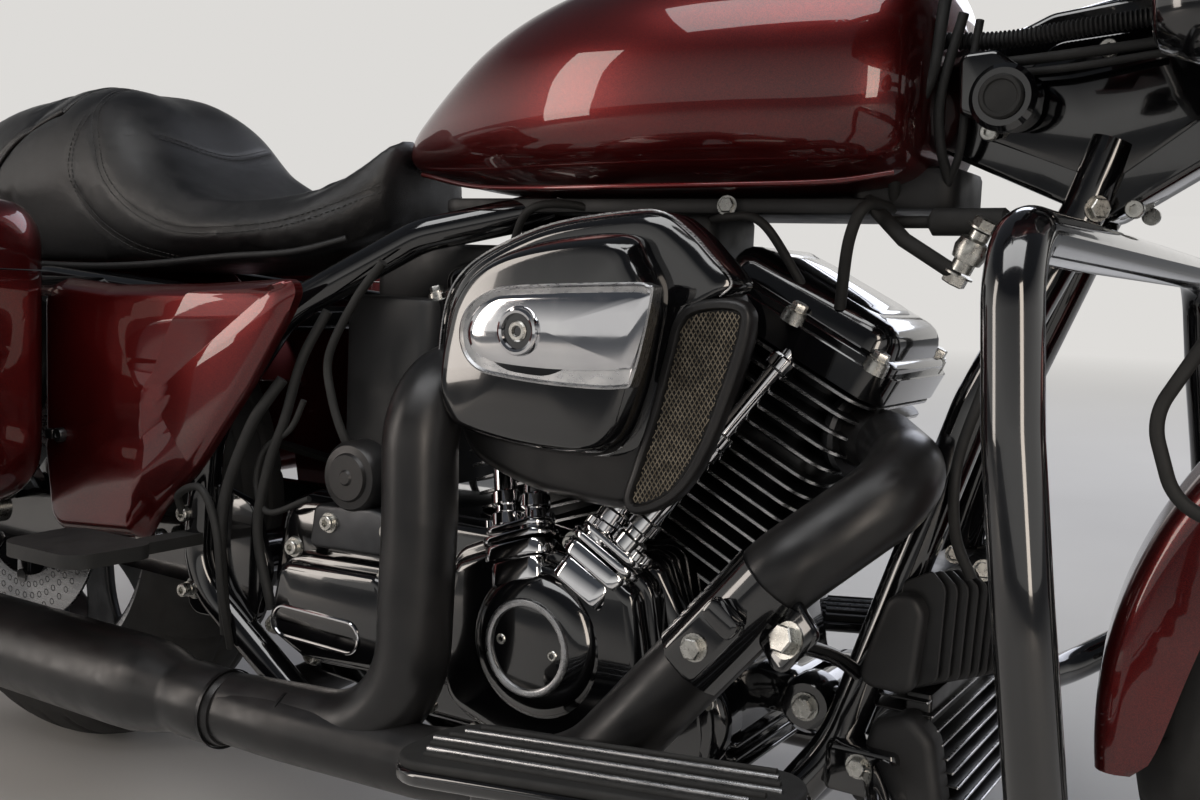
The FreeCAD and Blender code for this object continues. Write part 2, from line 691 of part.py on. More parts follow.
transmission_cover = padded("transmission_plate", "XZ_Plane", cam_side, [rounded([
    (496, 262, 34), (560, 232, 30), (676, 238, 34), (690, 300, 40), (672, 356, 34), (520, 352, 40)])],
    30, round_edge=8)
transmission_pocket = padded("transmission_recess", "XZ_Plane", cam_side + 26, [rounded([
    (526, 272, 20), (640, 268, 22), (640, 318, 22), (526, 322, 22)])], 10)
starter = cylinder("starter_cover", Vector(614, -cam_side, 392), -AXIS_Y, 26, 33)
node("transmission_cover", fuse("transmission_whole",
     cut("transmission_hollowed", transmission_cover, transmission_pocket), starter))

primary = padded("primary_plate", "XZ_Plane", -cam_side, [rounded([
    (500, 208, 70), (972, 200, 76), (984, 372, 76), (500, 388, 70)])], "sizes.primary_depth", reverse=True,
    round_edge=24)
clutch_cover = cylinder("clutch_cover", Vector(600, cam_side + s.primary_depth - 2, 288), AXIS_Y, 10, 74)
stator_cover = cylinder("stator_cover", Vector(880, cam_side + s.primary_depth - 2, 272), AXIS_Y, 8, 62)
node("primary_cover", fuse("primary_whole", primary, clutch_cover, stator_cover))
frame_for_cases = cut("mounts_seated", fuse("mounts", mount_front, mount_rear, *mount_bars), frame, swingarm)
node("engine_cases", fuse("cases_whole", cases, drive_shaft, frame_for_cases))

pushrod_pieces = [cut("pushrods_seated_" + place, piece, cases, cam_cover, rockers[0], rockers[1])
                  for (place, is_front), piece in zip(CYLINDERS, pushrods)]
node("pushrod_tubes", *pushrod_pieces)

# Exhaust

muffler_side = s.muffler_offset
muffler_z = s.muffler_height
muffler_front = 556.0
muffler_end = muffler_front - s.muffler_length
front_axis = vee_axis(True)
rear_axis = vee_axis(False)
front_port = CRANK + front_axis * 340 + Vector(70, -60, 0)
rear_port = CRANK + rear_axis * 340 + Vector(-84, -60, 0)
front_header = tube("front_header_tube", [
    (front_port.x, front_port.y, front_port.z, 0), (1120, -112, 520, 46), (1068, -196, 420, 90),
    (950, -214, 252, 110), (800, -232, muffler_z, 110), (620, -muffler_side, muffler_z, 200),
    (muffler_front, -muffler_side, muffler_z, 0)], s.header_radius)
rear_header = tube("rear_header_tube", [
    (rear_port.x, rear_port.y, rear_port.z, 0), (700, -172, 540, 50), (728, -212, 430, 90),
    (724, -222, 300, 90), (700, -234, 236, 0)], s.header_radius * 0.92)
front_header_node = cut("front_header_seated", front_header, front_barrel, rockers[0])
rear_header_node = cut("rear_header_seated", rear_header, rear_barrel, rockers[1], front_header_node)
node("front_header", front_header_node)
node("rear_header", rear_header_node)


def muffler_body(name, side, length):
    """Long muffler: a turned shell with a tapered front and an open end."""
    r = s.muffler_radius
    wall = s.muffler_wall
    body = doc.addObject("PartDesign::Body", name)
    sketch = sketch_on(body, name + "_outline", "XZ_Plane", 0, [rounded([
        (0, 0, 0), (0, s.header_radius + 3, 0), (-60, s.header_radius + 3, 30), (-120, r, 60),
        (-length, r, 2), (-length, r - wall, 2), (-length + 90, r - wall, 0), (-length + 90, 0, 0)])])
    turn = body.newObject("PartDesign::Revolution", name + "_turn")
    turn.Profile = sketch
    turn.ReferenceAxis = (sketch, ["H_Axis"])
    body.Placement = Placement(Vector(muffler_end + length, side * muffler_side, muffler_z), Rotation())
    return body


left_start = 420.0
left_link = tube("crossover_left", [
    (left_start, muffler_side, muffler_z, 0), (470, muffler_side, muffler_z - 14, 44),
    (474, -196, 168, 44), (606, -248, muffler_z - 2, 0)], 22)
muffler_right = muffler_body("muffler_right_body", -1, s.muffler_length)
muffler_left = muffler_body("muffler_left_body", 1, left_start - muffler_end)
node("muffler_right", muffler_right)
node("muffler_left", fuse("muffler_left_whole", muffler_left,
                          cut("left_link_seated", left_link, front_header_node, muffler_right)))

# Air cleaner on the right, between the cylinders

ax, az = s.air_cleaner_x, s.air_cleaner_z
inner = s.air_cleaner_inner
backing = padded("air_backing", "XZ_Plane", 96, [rounded([
    (ax - 90, az - 60, 40), (ax + 60, az - 96, 40), (ax + 96, az + 40, 40), (ax + 40, az + 92, 40),
    (ax - 70, az + 72, 40)])], inner - 96)
COVER = ((-144, -38, 46), (-58, -108, 40), (66, -120, 34), (112, -74, 26), (142, 42, 24),
         (96, 108, 34), (34, 118, 70), (-72, 92, 70), (-138, 30, 60))
cover = padded("air_cover", "XZ_Plane", inner, [rounded([(ax + u, az + v, r) for u, v, r in COVER])],
               "sizes.air_cleaner_depth", round_edge=16)
insert = padded("air_insert", "XZ_Plane", inner + s.air_cleaner_depth - 1, [rounded([
    (ax - 88, az - 14, 30), (ax - 30, az - 22, 20), (ax + 66, az - 16, 16), (ax + 88, az + 22, 16),
    (ax + 80, az + 56, 12), (ax - 50, az + 50, 20), (ax - 88, az + 30, 28)])], 7)
node("air_cleaner_cover", fuse("air_cover_whole", cover, insert))
node("air_cleaner_back", cut("air_backing_seated", backing, front_barrel, rear_barrel, rockers[0],
                             rockers[1], *pushrods, rear_header, front_header))

# Fuel tank, its filler door and the seat

TANK = (
    # x, bottom, top, half width, half width at the bottom, height of the shoulder
    (s.tank_rear, s.tank_bottom + 26, 770, 34, 26, 756),
    (700, s.tank_bottom, 868, 112, 92, 812),
    (870, s.tank_bottom, s.tank_top, s.tank_half_width, 132, 848),
    (1040, s.tank_bottom, 914, 146, 122, 852),
    (s.tank_front, s.tank_bottom + 14, 890, 92, 74, 838),
)
tank_body = feature("tank_body", loft([hoop(x, low, high, half, low_half, shoulder)
                                       for x, low, high, half, low_half, shoulder in TANK]))
tunnel = box("tank_tunnel", (520, -30, 640), 700, 60, 168)
door_x = 905.0
door_low = s.tank_top - 10
door_hinge_at = Vector(door_x + 56, 0, s.tank_top + 10)
console = cylinder("console_pad", Vector(door_x + 6, 0, s.tank_top - 50), AXIS_Z, 54, 66)
ears = [box("door_ear_" + name, (door_hinge_at.x - 6, side * 27 - 4, s.tank_top), 12, 8, 16)
        for name, side in SIDES]
door_pin = cylinder("door_pin", door_hinge_at - AXIS_Y * 30, AXIS_Y, 60, 2.5)
recess = cylinder("filler_recess", Vector(door_x, 0, s.tank_top - 16), AXIS_Z, 60, 52)
neck = cylinder("filler_neck", Vector(door_x, 0, s.tank_top - 20), AXIS_Z, 20 - 10 - s.clearance, 30)
tank_open = cut("tank_recessed", fuse("tank_console", tank_body, console), recess)
tank = cut("tank_seated", fuse("tank_furnished", tank_open, neck, door_pin, *ears), tunnel, frame,
           rockers[0], rockers[1])
node("fuel_tank", tank)
door_disc = padded("fuel_door_disc", "XY_Plane", door_low, [[Part.Circle(Vector(door_x, 0, 0), AXIS_Z, 46)]],
                   16, round_edge=4)
door_arm = box("fuel_door_arm", (door_x + 32, -12, s.tank_top + 5), 22, 24, 7)
door_barrel = cylinder("fuel_door_barrel", door_hinge_at - AXIS_Y * 20, AXIS_Y, 40, 5)
door_bore = cylinder("fuel_door_bore", door_hinge_at - AXIS_Y * 40, AXIS_Y, 80, 2.5 + s.running_clearance)
node("fuel_door", cut("fuel_door_bored", fuse("fuel_door_whole", door_disc, door_arm, door_barrel), door_bore))

SADDLE = (
    # x, base height, top, half width, half width at the base, height of the shoulder
    (-190, 640, 790, 96, 84, 756),
    (-60, 626, 822, 142, 126, 776),
    (130, 622, 838, 150, 134, 790),
    (250, 626, 762, 158, 140, 724),
    (390, 634, 706, 164, 142, 690),
    (490, 646, 724, 138, 112, 698),
    (s.tank_rear - s.clearance, 676, 786, 72, 56, 752),
)
seat_body = feature("seat_body", loft([hoop(x, low, high, half, low_half, shoulder)
                                       for x, low, high, half, low_half, shoulder in SADDLE]))

# Fenders

def fender(name, centre, radius, half_width, start, sweep, skirt):
    """Arched guard: a skirted channel turned about the wheel's axle."""
    wall = s.fender_wall
    crown = 10.0
    body = doc.addObject("PartDesign::Body", name)
    outline = [
        Part.Arc(Vector(-half_width, radius - crown, 0), Vector(0, radius, 0),
                 Vector(half_width, radius - crown, 0)),
        Part.LineSegment(Vector(half_width, radius - crown, 0), Vector(half_width, radius - skirt, 0)),
        Part.LineSegment(Vector(half_width, radius - skirt, 0),
                         Vector(half_width - wall, radius - skirt, 0)),
        Part.LineSegment(Vector(half_width - wall, radius - skirt, 0),
                         Vector(half_width - wall, radius - crown - wall, 0)),
        Part.Arc(Vector(half_width - wall, radius - crown - wall, 0), Vector(0, radius - wall, 0),
                 Vector(-half_width + wall, radius - crown - wall, 0)),
        Part.LineSegment(Vector(-half_width + wall, radius - crown - wall, 0),
                         Vector(-half_width + wall, radius - skirt, 0)),
        Part.LineSegment(Vector(-half_width + wall, radius - skirt, 0),
                         Vector(-half_width, radius - skirt, 0)),
        Part.LineSegment(Vector(-half_width, radius - skirt, 0),
                         Vector(-half_width, radius - crown, 0)),
    ]
    sketch = sketch_on(body, name + "_outline", "YZ_Plane", 0, [outline])
    turn = body.newObject("PartDesign::Revolution", name + "_turn")
    turn.Profile = sketch
    turn.ReferenceAxis = (sketch, ["H_Axis"])
    turn.Angle = sweep
    body.Placement = Placement(centre, Rotation(AXIS_Y, start))
    return body


rear_fender_body = fender("rear_fender_arch", REAR_AXLE, s.rear_fender_radius,
                          s.rear_fender_half_width, -112, 172, 46)
front_fender_body = fender("front_fender_arch", FRONT_AXLE, s.front_fender_radius,
                           s.front_fender_half_width, -s.front_fender_back,
                           s.front_fender_front + s.front_fender_back, 70)
rear_fender = cut("rear_fender_seated", rear_fender_body, frame, swingarm)
node("rear_fender", rear_fender)
fender_space = cylinder("fender_space", REAR_AXLE - AXIS_Y * s.rear_fender_half_width, AXIS_Y,
                        2 * s.rear_fender_half_width, s.rear_fender_radius + s.clearance)
seat = cut("seat_seated", seat_body, frame, fender_space)
node("seat", seat)

# Saddlebags: hollow boxes with lids hinged along their outer top edge

BAG = (
    # x, inner side, outer side, bottom
    (s.bag_rear, s.bag_inner + 34, s.bag_outer - 52, s.bag_bottom + 56),
    (s.bag_rear + 130, s.bag_inner, s.bag_outer - 8, s.bag_bottom + 6),
    (s.bag_front - 200, s.bag_inner, s.bag_outer, s.bag_bottom),
    (s.bag_front, s.bag_inner + 44, s.bag_outer - 40, s.bag_bottom + 60),
)


def bag_shape(inset, low, high, corner):
    """Loft of the bag's outline between two heights, inset by a wall."""
    last = len(BAG) - 1
    wires = []
    for i, (x, inner_side, outer_side, bottom) in enumerate(BAG):
        x_in = x + inset if i == 0 else x - inset if i == last else x
        floor = max(bottom + inset, low) if low < s.bag_split - 1 else low
        wires.append(frame_section(x_in, inner_side + inset, outer_side - inset, floor, high, corner))
    return loft(wires)


wall = s.bag_wall
gap = 1.0
bag_outer_shape = bag_shape(0, s.bag_bottom, s.bag_top, s.bag_corner)
bag_inner_shape = bag_shape(wall, s.bag_bottom, s.bag_top - wall, s.bag_corner - wall)
x_span = s.bag_front - s.bag_rear
slab_low = Part.makeBox(x_span + 40, 400, s.bag_split - gap / 2, Vector(s.bag_rear - 20, 100, 0))
slab_high = Part.makeBox(x_span + 40, 400, 400, Vector(s.bag_rear - 20, 100, s.bag_split + gap / 2))
shell = bag_outer_shape.cut(bag_inner_shape)
bag_left = feature("bag_left_shell", shell.common(slab_low))
lid_left = feature("lid_left_shell", shell.common(slab_high))

# Each lid turns on two pins, held by ears on the bag just outside its wall

HINGE_X = (-180.0, -40.0)
HINGE_HALF = 12.0
EAR_WIDTH = 6.0
KNUCKLE_RADIUS = 5.0
HINGE_PIN_RADIUS = 2.5
side_gap = 0.4
wall_face = s.hinge_y - 13
ears, leaves, bores = [], [], []
for i, x in enumerate(HINGE_X):
    pin_from = Vector(x - HINGE_HALF - EAR_WIDTH, s.hinge_y, s.bag_split)
    ears.append(cylinder("hinge_pin_%d" % i, pin_from, AXIS_X, 2 * (HINGE_HALF + EAR_WIDTH), HINGE_PIN_RADIUS))
    for j, ear_x in enumerate((x - HINGE_HALF - EAR_WIDTH, x + HINGE_HALF)):
        ears.append(box("hinge_ear_%d_%d" % (i, j), (ear_x, wall_face, s.bag_split - 15), EAR_WIDTH,
                        s.hinge_y + KNUCKLE_RADIUS - wall_face, 14))
        ears.append(cylinder("hinge_eye_%d_%d" % (i, j), Vector(ear_x, s.hinge_y, s.bag_split), AXIS_X,
                             EAR_WIDTH, KNUCKLE_RADIUS))
    knuckle_from = Vector(x - HINGE_HALF + side_gap, s.hinge_y, s.bag_split)
    knuckle_length = 2 * (HINGE_HALF - side_gap)
    leaves.append(cylinder("hinge_knuckle_%d" % i, knuckle_from, AXIS_X, knuckle_length, KNUCKLE_RADIUS))
    leaves.append(box("hinge_leaf_%d" % i, (knuckle_from.x, wall_face, s.bag_split + 1), knuckle_length,
                      s.hinge_y - wall_face, 8))
    bores.append(cylinder("hinge_bore_%d" % i, pin_from - AXIS_X * 4, AXIS_X, 2 * (HINGE_HALF + EAR_WIDTH) + 8,
                          HINGE_PIN_RADIUS + s.running_clearance))
RAILS = (
    # x, inner end y, bottom z, length across
    (-90, 122, 594, 90), (190, 126, 590, 108),
)
mount_rails = [box("bag_rail_%d" % i, (x, y, z), 30, reach, 22) for i, (x, y, z, reach) in enumerate(RAILS)]
bag_mounts = cut("bag_mounts_seated", fuse("bag_mounts", mount_rails[0], mount_rails[1]),
                 frame, rear_fender_body, feature("bag_left_block", bag_outer_shape.common(slab_low)))
bag_left_whole = fuse("bag_left_whole", bag_left, bag_mounts, *ears)
lid_left = cut("lid_left_bored", fuse("lid_left_whole", lid_left, *leaves), *bores)
bag_right_whole = mirrored("bag_right_whole", bag_left_whole)
lid_right = mirrored("lid_right_shell", lid_left)
node("saddlebag_left", bag_left_whole)
node("saddlebag_right", bag_right_whole)
node("bag_lid_left", lid_left)
node("bag_lid_right", lid_right)

# Side covers, oil cooler and engine guard

side_inner = 178.0
SIDE_COVER = [(240, 612, 26), (562, 622, 26), (492, 506, 60), (392, 384, 40), (330, 348, 20),
              (270, 340, 20), (276, 470, 30)]
for name, side in SIDES:
    plate = padded("side_cover_plate_" + name, "XZ_Plane", -side * side_inner,
                   [rounded(SIDE_COVER)], 34, reverse=side > 0, round_edge=12)
    studs = [cylinder("side_cover_stud_%s_%d" % (name, i), Vector(x, side * 130, z), AXIS_Y * side,
                      50, 8) for i, (x, z) in enumerate(((430, 588), (412, 458)))]
    node("side_cover_" + name, cut("side_cover_seated_" + name,
                                   fuse("side_cover_whole_" + name, plate, *studs), frame, swingarm,
                                   rear_fender_body))

cooler = box("cooler_core", (1150, -78, 306), 26, 156, 112)
cooler_fins = [box("cooler_fin_%d" % i, (1146, -84, 312 + 12 * i), 38, 168, 3) for i in range(9)]
cooler_cover = padded("cooler_cover", "XZ_Plane", -96, [rounded([
    (1112, 300, 8), (1190, 300, 8), (1226, 372, 8), (1212, 430, 8), (1140, 430, 8)])], 12)
cooler_left = padded("cooler_cover_left", "XZ_Plane", 84, [rounded([
    (1112, 300, 8), (1190, 300, 8), (1226, 372, 8), (1212, 430, 8), (1140, 430, 8)])], 12)
node("oil_cooler", cut("cooler_seated", fuse("cooler_whole", cooler, cooler_cover, cooler_left,
                                             *cooler_fins), frame, cases))

gx, gw, gt, gb = s.guard_x, s.guard_half_width, s.guard_top, s.guard_bottom
guard = tube("guard_loop", [
    (1140, -110, gb, 0), (1196, -270, gb + 6, 90), (1286, gw * -0.985, 330, 70), (gx + 16, -gw - 6, 470, 200),
    (gx + 16, -gw - 2, 560, 120), (gx, -gw + 8, gt, 46), (gx, gw - 8, gt, 46), (gx + 16, gw + 2, 560, 120),
    (gx + 16, gw + 6, 470, 200), (1286, gw * 0.985, 330, 70), (1196, 270, gb + 6, 90),
    (1140, 110, gb, 0)], s.guard_tube_radius)
guard_lugs = [box("guard_lug_" + name, (1096, side * 104 - 22, gb - 20), 60, 44, 40) for name, side in SIDES]
guard_top_lug = box("guard_top_lug", (1225, -34, gt - 12), 60, 68, 24)
engine_guard = cut("guard_seated", fuse("guard_whole", guard, guard_top_lug, *guard_lugs), frame,
                   cases, cooler_cover)
node("engine_guard", engine_guard)

# Footboards, pedal and lever

tilt = Rotation(AXIS_Y, -s.board_tilt)
board_length = s.board_front - s.board_rear
for name, side in SIDES:
    middle = Vector((s.board_front + s.board_rear) / 2, side * s.board_middle, s.board_height)
    body = doc.addObject("PartDesign::Body", "footboard_plate_" + name)
    half = board_length / 2
    width = s.board_half_width
    sketch = sketch_on(body, "footboard_outline_" + name, "XY_Plane", -s.board_thickness / 2, [rounded([
        (-half, -width, 40), (half, -width * 0.86, 46), (half, width * 0.86, 46), (-half, width, 40)])])
    pad = body.newObject("PartDesign::Pad", "footboard_pad_" + name)
    pad.Profile = sketch
    pad.setExpression("Length", "sizes.board_thickness")
    body.Placement = Placement(middle, tilt)
    arm_inner_y = 100.0
    brackets = [box("board_bracket_%s_%d" % (name, i),
                    (x, side * arm_inner_y if side > 0 else -s.board_middle, 176 + (x - 900) * 0.1),
                    34, s.board_middle - arm_inner_y, 24) for i, x in enumerate((880, 1010))]
    risers = [box("board_riser_%s_%d" % (name, i),
                  (x, side * s.board_middle - 17, 180 + (x - 900) * 0.1), 34, 34,
                  s.board_height - 184 + (x - 984) * 0.105) for i, x in enumerate((880, 1010))]
    node("footboard_" + name, cut("footboard_seated_" + name,
                                  fuse("footboard_whole_" + name, body, *brackets, *risers), frame,
                                  cases, cam_cover, primary, front_header, left_link))
    passenger = padded("passenger_board_plate_" + name, "XY_Plane", 338, [rounded([
        (300, side * 236, 20), (430, side * 236, 20), (424, side * 330, 26), (306, side * 330, 26)])], 14)
    bracket = box("passenger_bracket_" + name, (392, 160 if side > 0 else -250, 339), 26, 90, 12)
    node("passenger_board_" + name, cut("passenger_seated_" + name,
                                        fuse("passenger_whole_" + name, passenger, bracket), frame,
                                        swingarm))

# Fork, clamps and bars, all turned with the steering

half_spacing = s.fork_spacing / 2
tubes = [cylinder("fork_tube_" + name, fork_at(120, side * half_spacing), FORK_UP, s.fork_length - 120,
                  "sizes.fork_tube_radius") for name, side in SIDES]
sliders = [cylinder("fork_slider_" + name, fork_at(-24, side * half_spacing), FORK_UP,
                    "sizes.slider_length", "sizes.slider_radius") for name, side in SIDES]
axle_bar = cylinder("front_axle_bar", FRONT_AXLE - AXIS_Y * (half_spacing + 34), AXIS_Y,
                    s.fork_spacing + 68, "sizes.axle_radius")
front_nuts = [cylinder("front_nut_" + name, FRONT_AXLE + AXIS_Y * (side * (half_spacing + 31)),
                       AXIS_Y * side, 12, 18) for name, side in SIDES]
axle_space = cylinder("front_axle_space", FRONT_AXLE - AXIS_Y * (half_spacing + 40), AXIS_Y,
                      s.fork_spacing + 80, "sizes.axle_radius")
fork_legs = []
for i, (name, side) in enumerate(SIDES):
    leg = fuse("fork_leg_" + name, tubes[i], sliders[i])
    fork_legs.append(cut("fork_leg_bored_" + name, leg, axle_space))
node("fork_legs", *fork_legs)
node("front_axle", fuse("front_axle_whole", axle_bar, *front_nuts))

steer_low = steer_at(s.head_bottom)
steer_high = steer_at(s.head_top)
clamp_gap = 3.0


def clamp(name, base, reach):
    """Yoke that joins the stem to both fork tubes."""
    body = doc.addObject("PartDesign::Body", name)
    back = reach
    outline = rounded([(34, -44, 30), (-back + 44, -half_spacing - 44, 30), (-back - 44, -half_spacing - 44, 30),
                       (-back - 44, half_spacing + 44, 30), (-back + 44, half_spacing + 44, 30), (34, 44, 30)])
    sketch = sketch_on(body, name + "_outline", "XY_Plane", 0, [outline])
    pad = body.newObject("PartDesign::Pad", name + "_pad")
    pad.Profile = sketch
    pad.setExpression("Length", "sizes.clamp_thickness")
    body.Placement = Placement(base, Rotation(AXIS_Y, -s.rake_angle))
    return body


def behind_at(point):
    """How far the fork line lies behind the steering axis, square to it."""
    forward = Vector(math.cos(rake), 0, math.sin(rake))
    t = (point - FRONT_AXLE).dot(STEER_UP) / FORK_UP.dot(STEER_UP)
    return (point - fork_at(t)).dot(forward)


low_base = steer_low - STEER_UP * (clamp_gap + s.clamp_thickness)
high_base = steer_high + STEER_UP * clamp_gap
clamp_low = clamp("clamp_low", low_base, behind_at(low_base))
clamp_high = clamp("clamp_high", high_base, behind_at(high_base))
stem = cylinder("stem", low_base, STEER_UP, (high_base - low_base).Length + s.clamp_thickness,
                "sizes.stem_radius")
node("fork_clamps", cut("clamps_seated", fuse("clamps_whole", clamp_low, clamp_high, stem), *fork_legs))

bar_z = s.bar_height
bar_base = high_base + STEER_UP * (s.clamp_thickness + 26) + Vector(-20, 0, 0)
BAR = [(1010, -s.bar_half_width, bar_z - 8, 0), (1150, -s.bar_half_width + 40, bar_z + 10, 60),
       (bar_base.x - 30, -200, bar_z + 22, 70), (bar_base.x, -110, bar_base.z, 50),
       (bar_base.x, 110, bar_base.z, 50), (bar_base.x - 30, 200, bar_z + 22, 70),
       (1150, s.bar_half_width - 40, bar_z + 10, 60), (1010, s.bar_half_width, bar_z - 8, 0)]
bar = tube("bar_tube", BAR, s.bar_radius)
risers = [cylinder("bar_riser_" + name, Vector(bar_base.x, side * 50, bar_base.z) - STEER_UP * 60, STEER_UP,
                   62, 17) for name, side in SIDES]
grips = []
for name, side in SIDES:
    end = Vector(1010, side * s.bar_half_width, bar_z - 8)
    along = (Vector(1150, side * (s.bar_half_width - 40), bar_z + 10) - end).normalize()
    grips.append(cylinder("grip_" + name, end - along * 6, along, "sizes.grip_length", "sizes.grip_radius"))
node("handlebar", cut("handlebar_seated", fuse("handlebar_whole", bar, *risers), clamp_high,
                      *fork_legs, *grips))
node("grips", *grips)

calipers = []
for name, side in SIDES:
    place = FRONT_AXLE + FORK_UP * 108 + Vector(-92, side * s.front_disc_offset, -44)
    block = box("caliper_block_" + name, (place.x - 46, place.y - 21, place.z - 34), 72, 42, 96)
    lug = box("caliper_lug_" + name, (place.x, min(side * 78, side * 110), place.z - 6), 76, 32, 36)
    slot = cylinder("caliper_slot_" + name, FRONT_AXLE + AXIS_Y * (side * s.front_disc_offset - 3.5),
                    AXIS_Y, 7, s.disc_radius + 3)
    calipers.append(cut("caliper_" + name, fuse("caliper_whole_" + name, block, lug), slot,
                        fork_legs[0 if side < 0 else 1]))
node("front_calipers", *calipers)
front_stays = [box("fender_stay_" + name, (1495, min(side * 76, side * 100), 506), 26, 24, 90)
               for name, side in SIDES]
node("front_fender", cut("front_fender_seated", fuse("front_fender_whole", front_fender_body,
                                                     *front_stays), *fork_legs))

# Fairing on the fork, with its lamp, screen, signals and mirrors

FAIRING = (
    # x, bottom, top, half width, half width at the bottom, height of the shoulder
    (1205, 868, 1046, 392, 330, 1000),
    (1290, 850, 1092, 398, 300, 1030),
    (1390, 838, 1128, 330, 220, 1050),
    (1480, 850, 1100, 210, 130, 1030),
    (1530, 880, 1050, 118, 80, 1000),
)
fairing_outer = loft([hoop(x, low, high, half, low_half, shoulder)
                      for x, low, high, half, low_half, shoulder in FAIRING])
fw = s.fairing_wall
fairing_inner = loft([hoop(x - (fw if i else 12), low + fw, high - fw, half - fw, low_half - fw, shoulder - fw)
                      for i, (x, low, high, half, low_half, shoulder) in enumerate(FAIRING)])
fairing_shell = feature("fairing_shell", fairing_outer.cut(fairing_inner))
lamp_z = 962.0
lamp_centre = Vector(1516, 0, lamp_z)
lamp_body = cylinder("lamp_body", lamp_centre - AXIS_X * 96, AXIS_X, 110, "sizes.lamp_radius")
lamp_front = cylinder("lamp_lens", lamp_centre + AXIS_X * 14, AXIS_X, 12, s.lamp_radius - 8)
lamp_hole = cylinder("lamp_hole", lamp_centre - AXIS_X * 150, AXIS_X, 260, "sizes.lamp_radius")
floor_slot = box("fairing_floor_slot", (1180, -190, 820), 250, 380, 130)
tank_slot = box("fairing_tank_slot", (1180, -286, 820), 112, 572, 130)
bar_space = tube("bar_space", BAR, s.bar_radius + 4)
node("fairing", cut("fairing_seated", fairing_shell, lamp_hole, floor_slot, tank_slot, bar_space))
lamp_arm = box("lamp_arm", (1352, -30, lamp_z - 12), 72, 60, 18)
node("headlamp", cut("headlamp_seated", fuse("headlamp_whole", lamp_body, lamp_front, lamp_arm), clamp_high,
                     stem))
SCREEN = ((1405, 1112, 280), (1385, 1160, 262), (1352, 1215, 214), (1330, 1246, 150))


def screen_arc(x, z, half, inset):
    """Curved strip of the windscreen at one height."""
    depth = 96.0 * half / 280.0
    thick = s.screen_thickness
    outer = Part.Arc(Vector(x - depth, -half, z), Vector(x, 0, z), Vector(x - depth, half, z))
    inner_arc = Part.Arc(Vector(x - depth - thick, half - thick * 0.4, z), Vector(x - thick, 0, z),
                         Vector(x - depth - thick, -half + thick * 0.4, z))
    ends = [Part.LineSegment(Vector(x - depth, half, z), Vector(x - depth - thick, half - thick * 0.4, z)),
            Part.LineSegment(Vector(x - depth - thick, -half + thick * 0.4, z), Vector(x - depth, -half, z))]
    return Part.Wire([outer.toShape(), ends[0].toShape(), inner_arc.toShape(), ends[1].toShape()])


screen = feature("windscreen_pane", loft([screen_arc(x, z, half, 0) for x, z, half in SCREEN], True))
node("windscreen", cut("windscreen_seated", screen, feature("fairing_block", fairing_outer)))

mirrors = []
for name, side in SIDES:
    stalk = tube("mirror_stalk_" + name, [(1150, side * 366, bar_z + 10, 0), (1160, side * 384, 1084, 20),
                                          (1182, side * 430, 1122, 0)], 6)
    head = padded("mirror_head_" + name, "YZ_Plane", 1170, [rounded([
        (side * 392, 1100, 24), (side * 490, 1108, 24), (side * 484, 1164, 24), (side * 398, 1160, 24)])],
        26, round_edge=8)
    mirrors.append(cut("mirror_" + name, fuse("mirror_whole_" + name, stalk, head), bar, grips[0], grips[1]))
node("mirrors", *mirrors)
signals = []
for name, side in SIDES:
    root = fork_at(550, side * s.fork_spacing / 2)
    arm = cylinder("front_signal_arm_" + name, root, AXIS_Y * side, 124, 8)
    lamp = turned("front_signal_lamp_" + name, root + AXIS_Y * (side * 148), [
        (-34, 0, 0), (-34, 24, 6), (-10, 34, 8), (26, 34, 10), (34, 0, 0)])
    signals.append(fuse("front_signal_" + name, arm, lamp))
node("front_signals", *[cut("front_signal_seated_%d" % i, signal, *fork_legs)
                        for i, signal in enumerate(signals)])

hose_points = [(1404, -66, 748, 0), (1416, -62, 672, 60), (1350, -118, 612, 40), (1318, -124, 552, 44),
               (1336, -120, 494, 40), (1404, -104, 468, 60), (1456, -80, 470, 24), (1464, -76, 426, 0)]
node("brake_hose", cut("brake_hose_seated", tube("brake_hose_run", hose_points, 5), clamp_low, *calipers))

# Rear end: lamps, plate, shocks, belt and its guard

tail_z = 566.0
tail_lamp = padded("tail_lamp_body", "YZ_Plane", -226, [rounded([
    (-52, tail_z - 34, 16), (52, tail_z - 34, 16), (44, tail_z + 34, 26), (-44, tail_z + 34, 26)])], 92,
    reverse=True, round_edge=12)
node("tail_lamp", cut("tail_lamp_seated", tail_lamp, fender_space))
signal_bar = cylinder("rear_signal_bar", Vector(-341, -170, 430), AXIS_Y, 340, 9)
rear_lamps = [turned("rear_signal_lamp_" + name, Vector(-341, side * 176, 430), [
    (-20, 0, 0), (-20, 30, 4), (20, 30, 4), (20, 0, 0)]) for name, side in SIDES]
node("rear_signals", cut("rear_signals_seated", fuse("rear_signals_whole", signal_bar, *rear_lamps),
                         fender_space))
PLATE_HOLE_Y = 62.0
PLATE_HOLE_Z = 386.0
PLATE_HOLE_RADIUS = 3.5
plate = box("plate_panel", (s.tail_end, -90, 290), 3, 180, 110)
plate_arm = box("plate_arm", (s.tail_end + 3, -16, 320), 100, 32, 60)
plate_holes = [cylinder("plate_hole_%d" % i, Vector(s.tail_end - 5, side * PLATE_HOLE_Y, PLATE_HOLE_Z), AXIS_X,
                        20, PLATE_HOLE_RADIUS) for i, side in enumerate((1, -1))]
node("plate_bracket", cut("plate_seated", fuse("plate_whole", plate, plate_arm), fender_space,
                          *plate_holes))

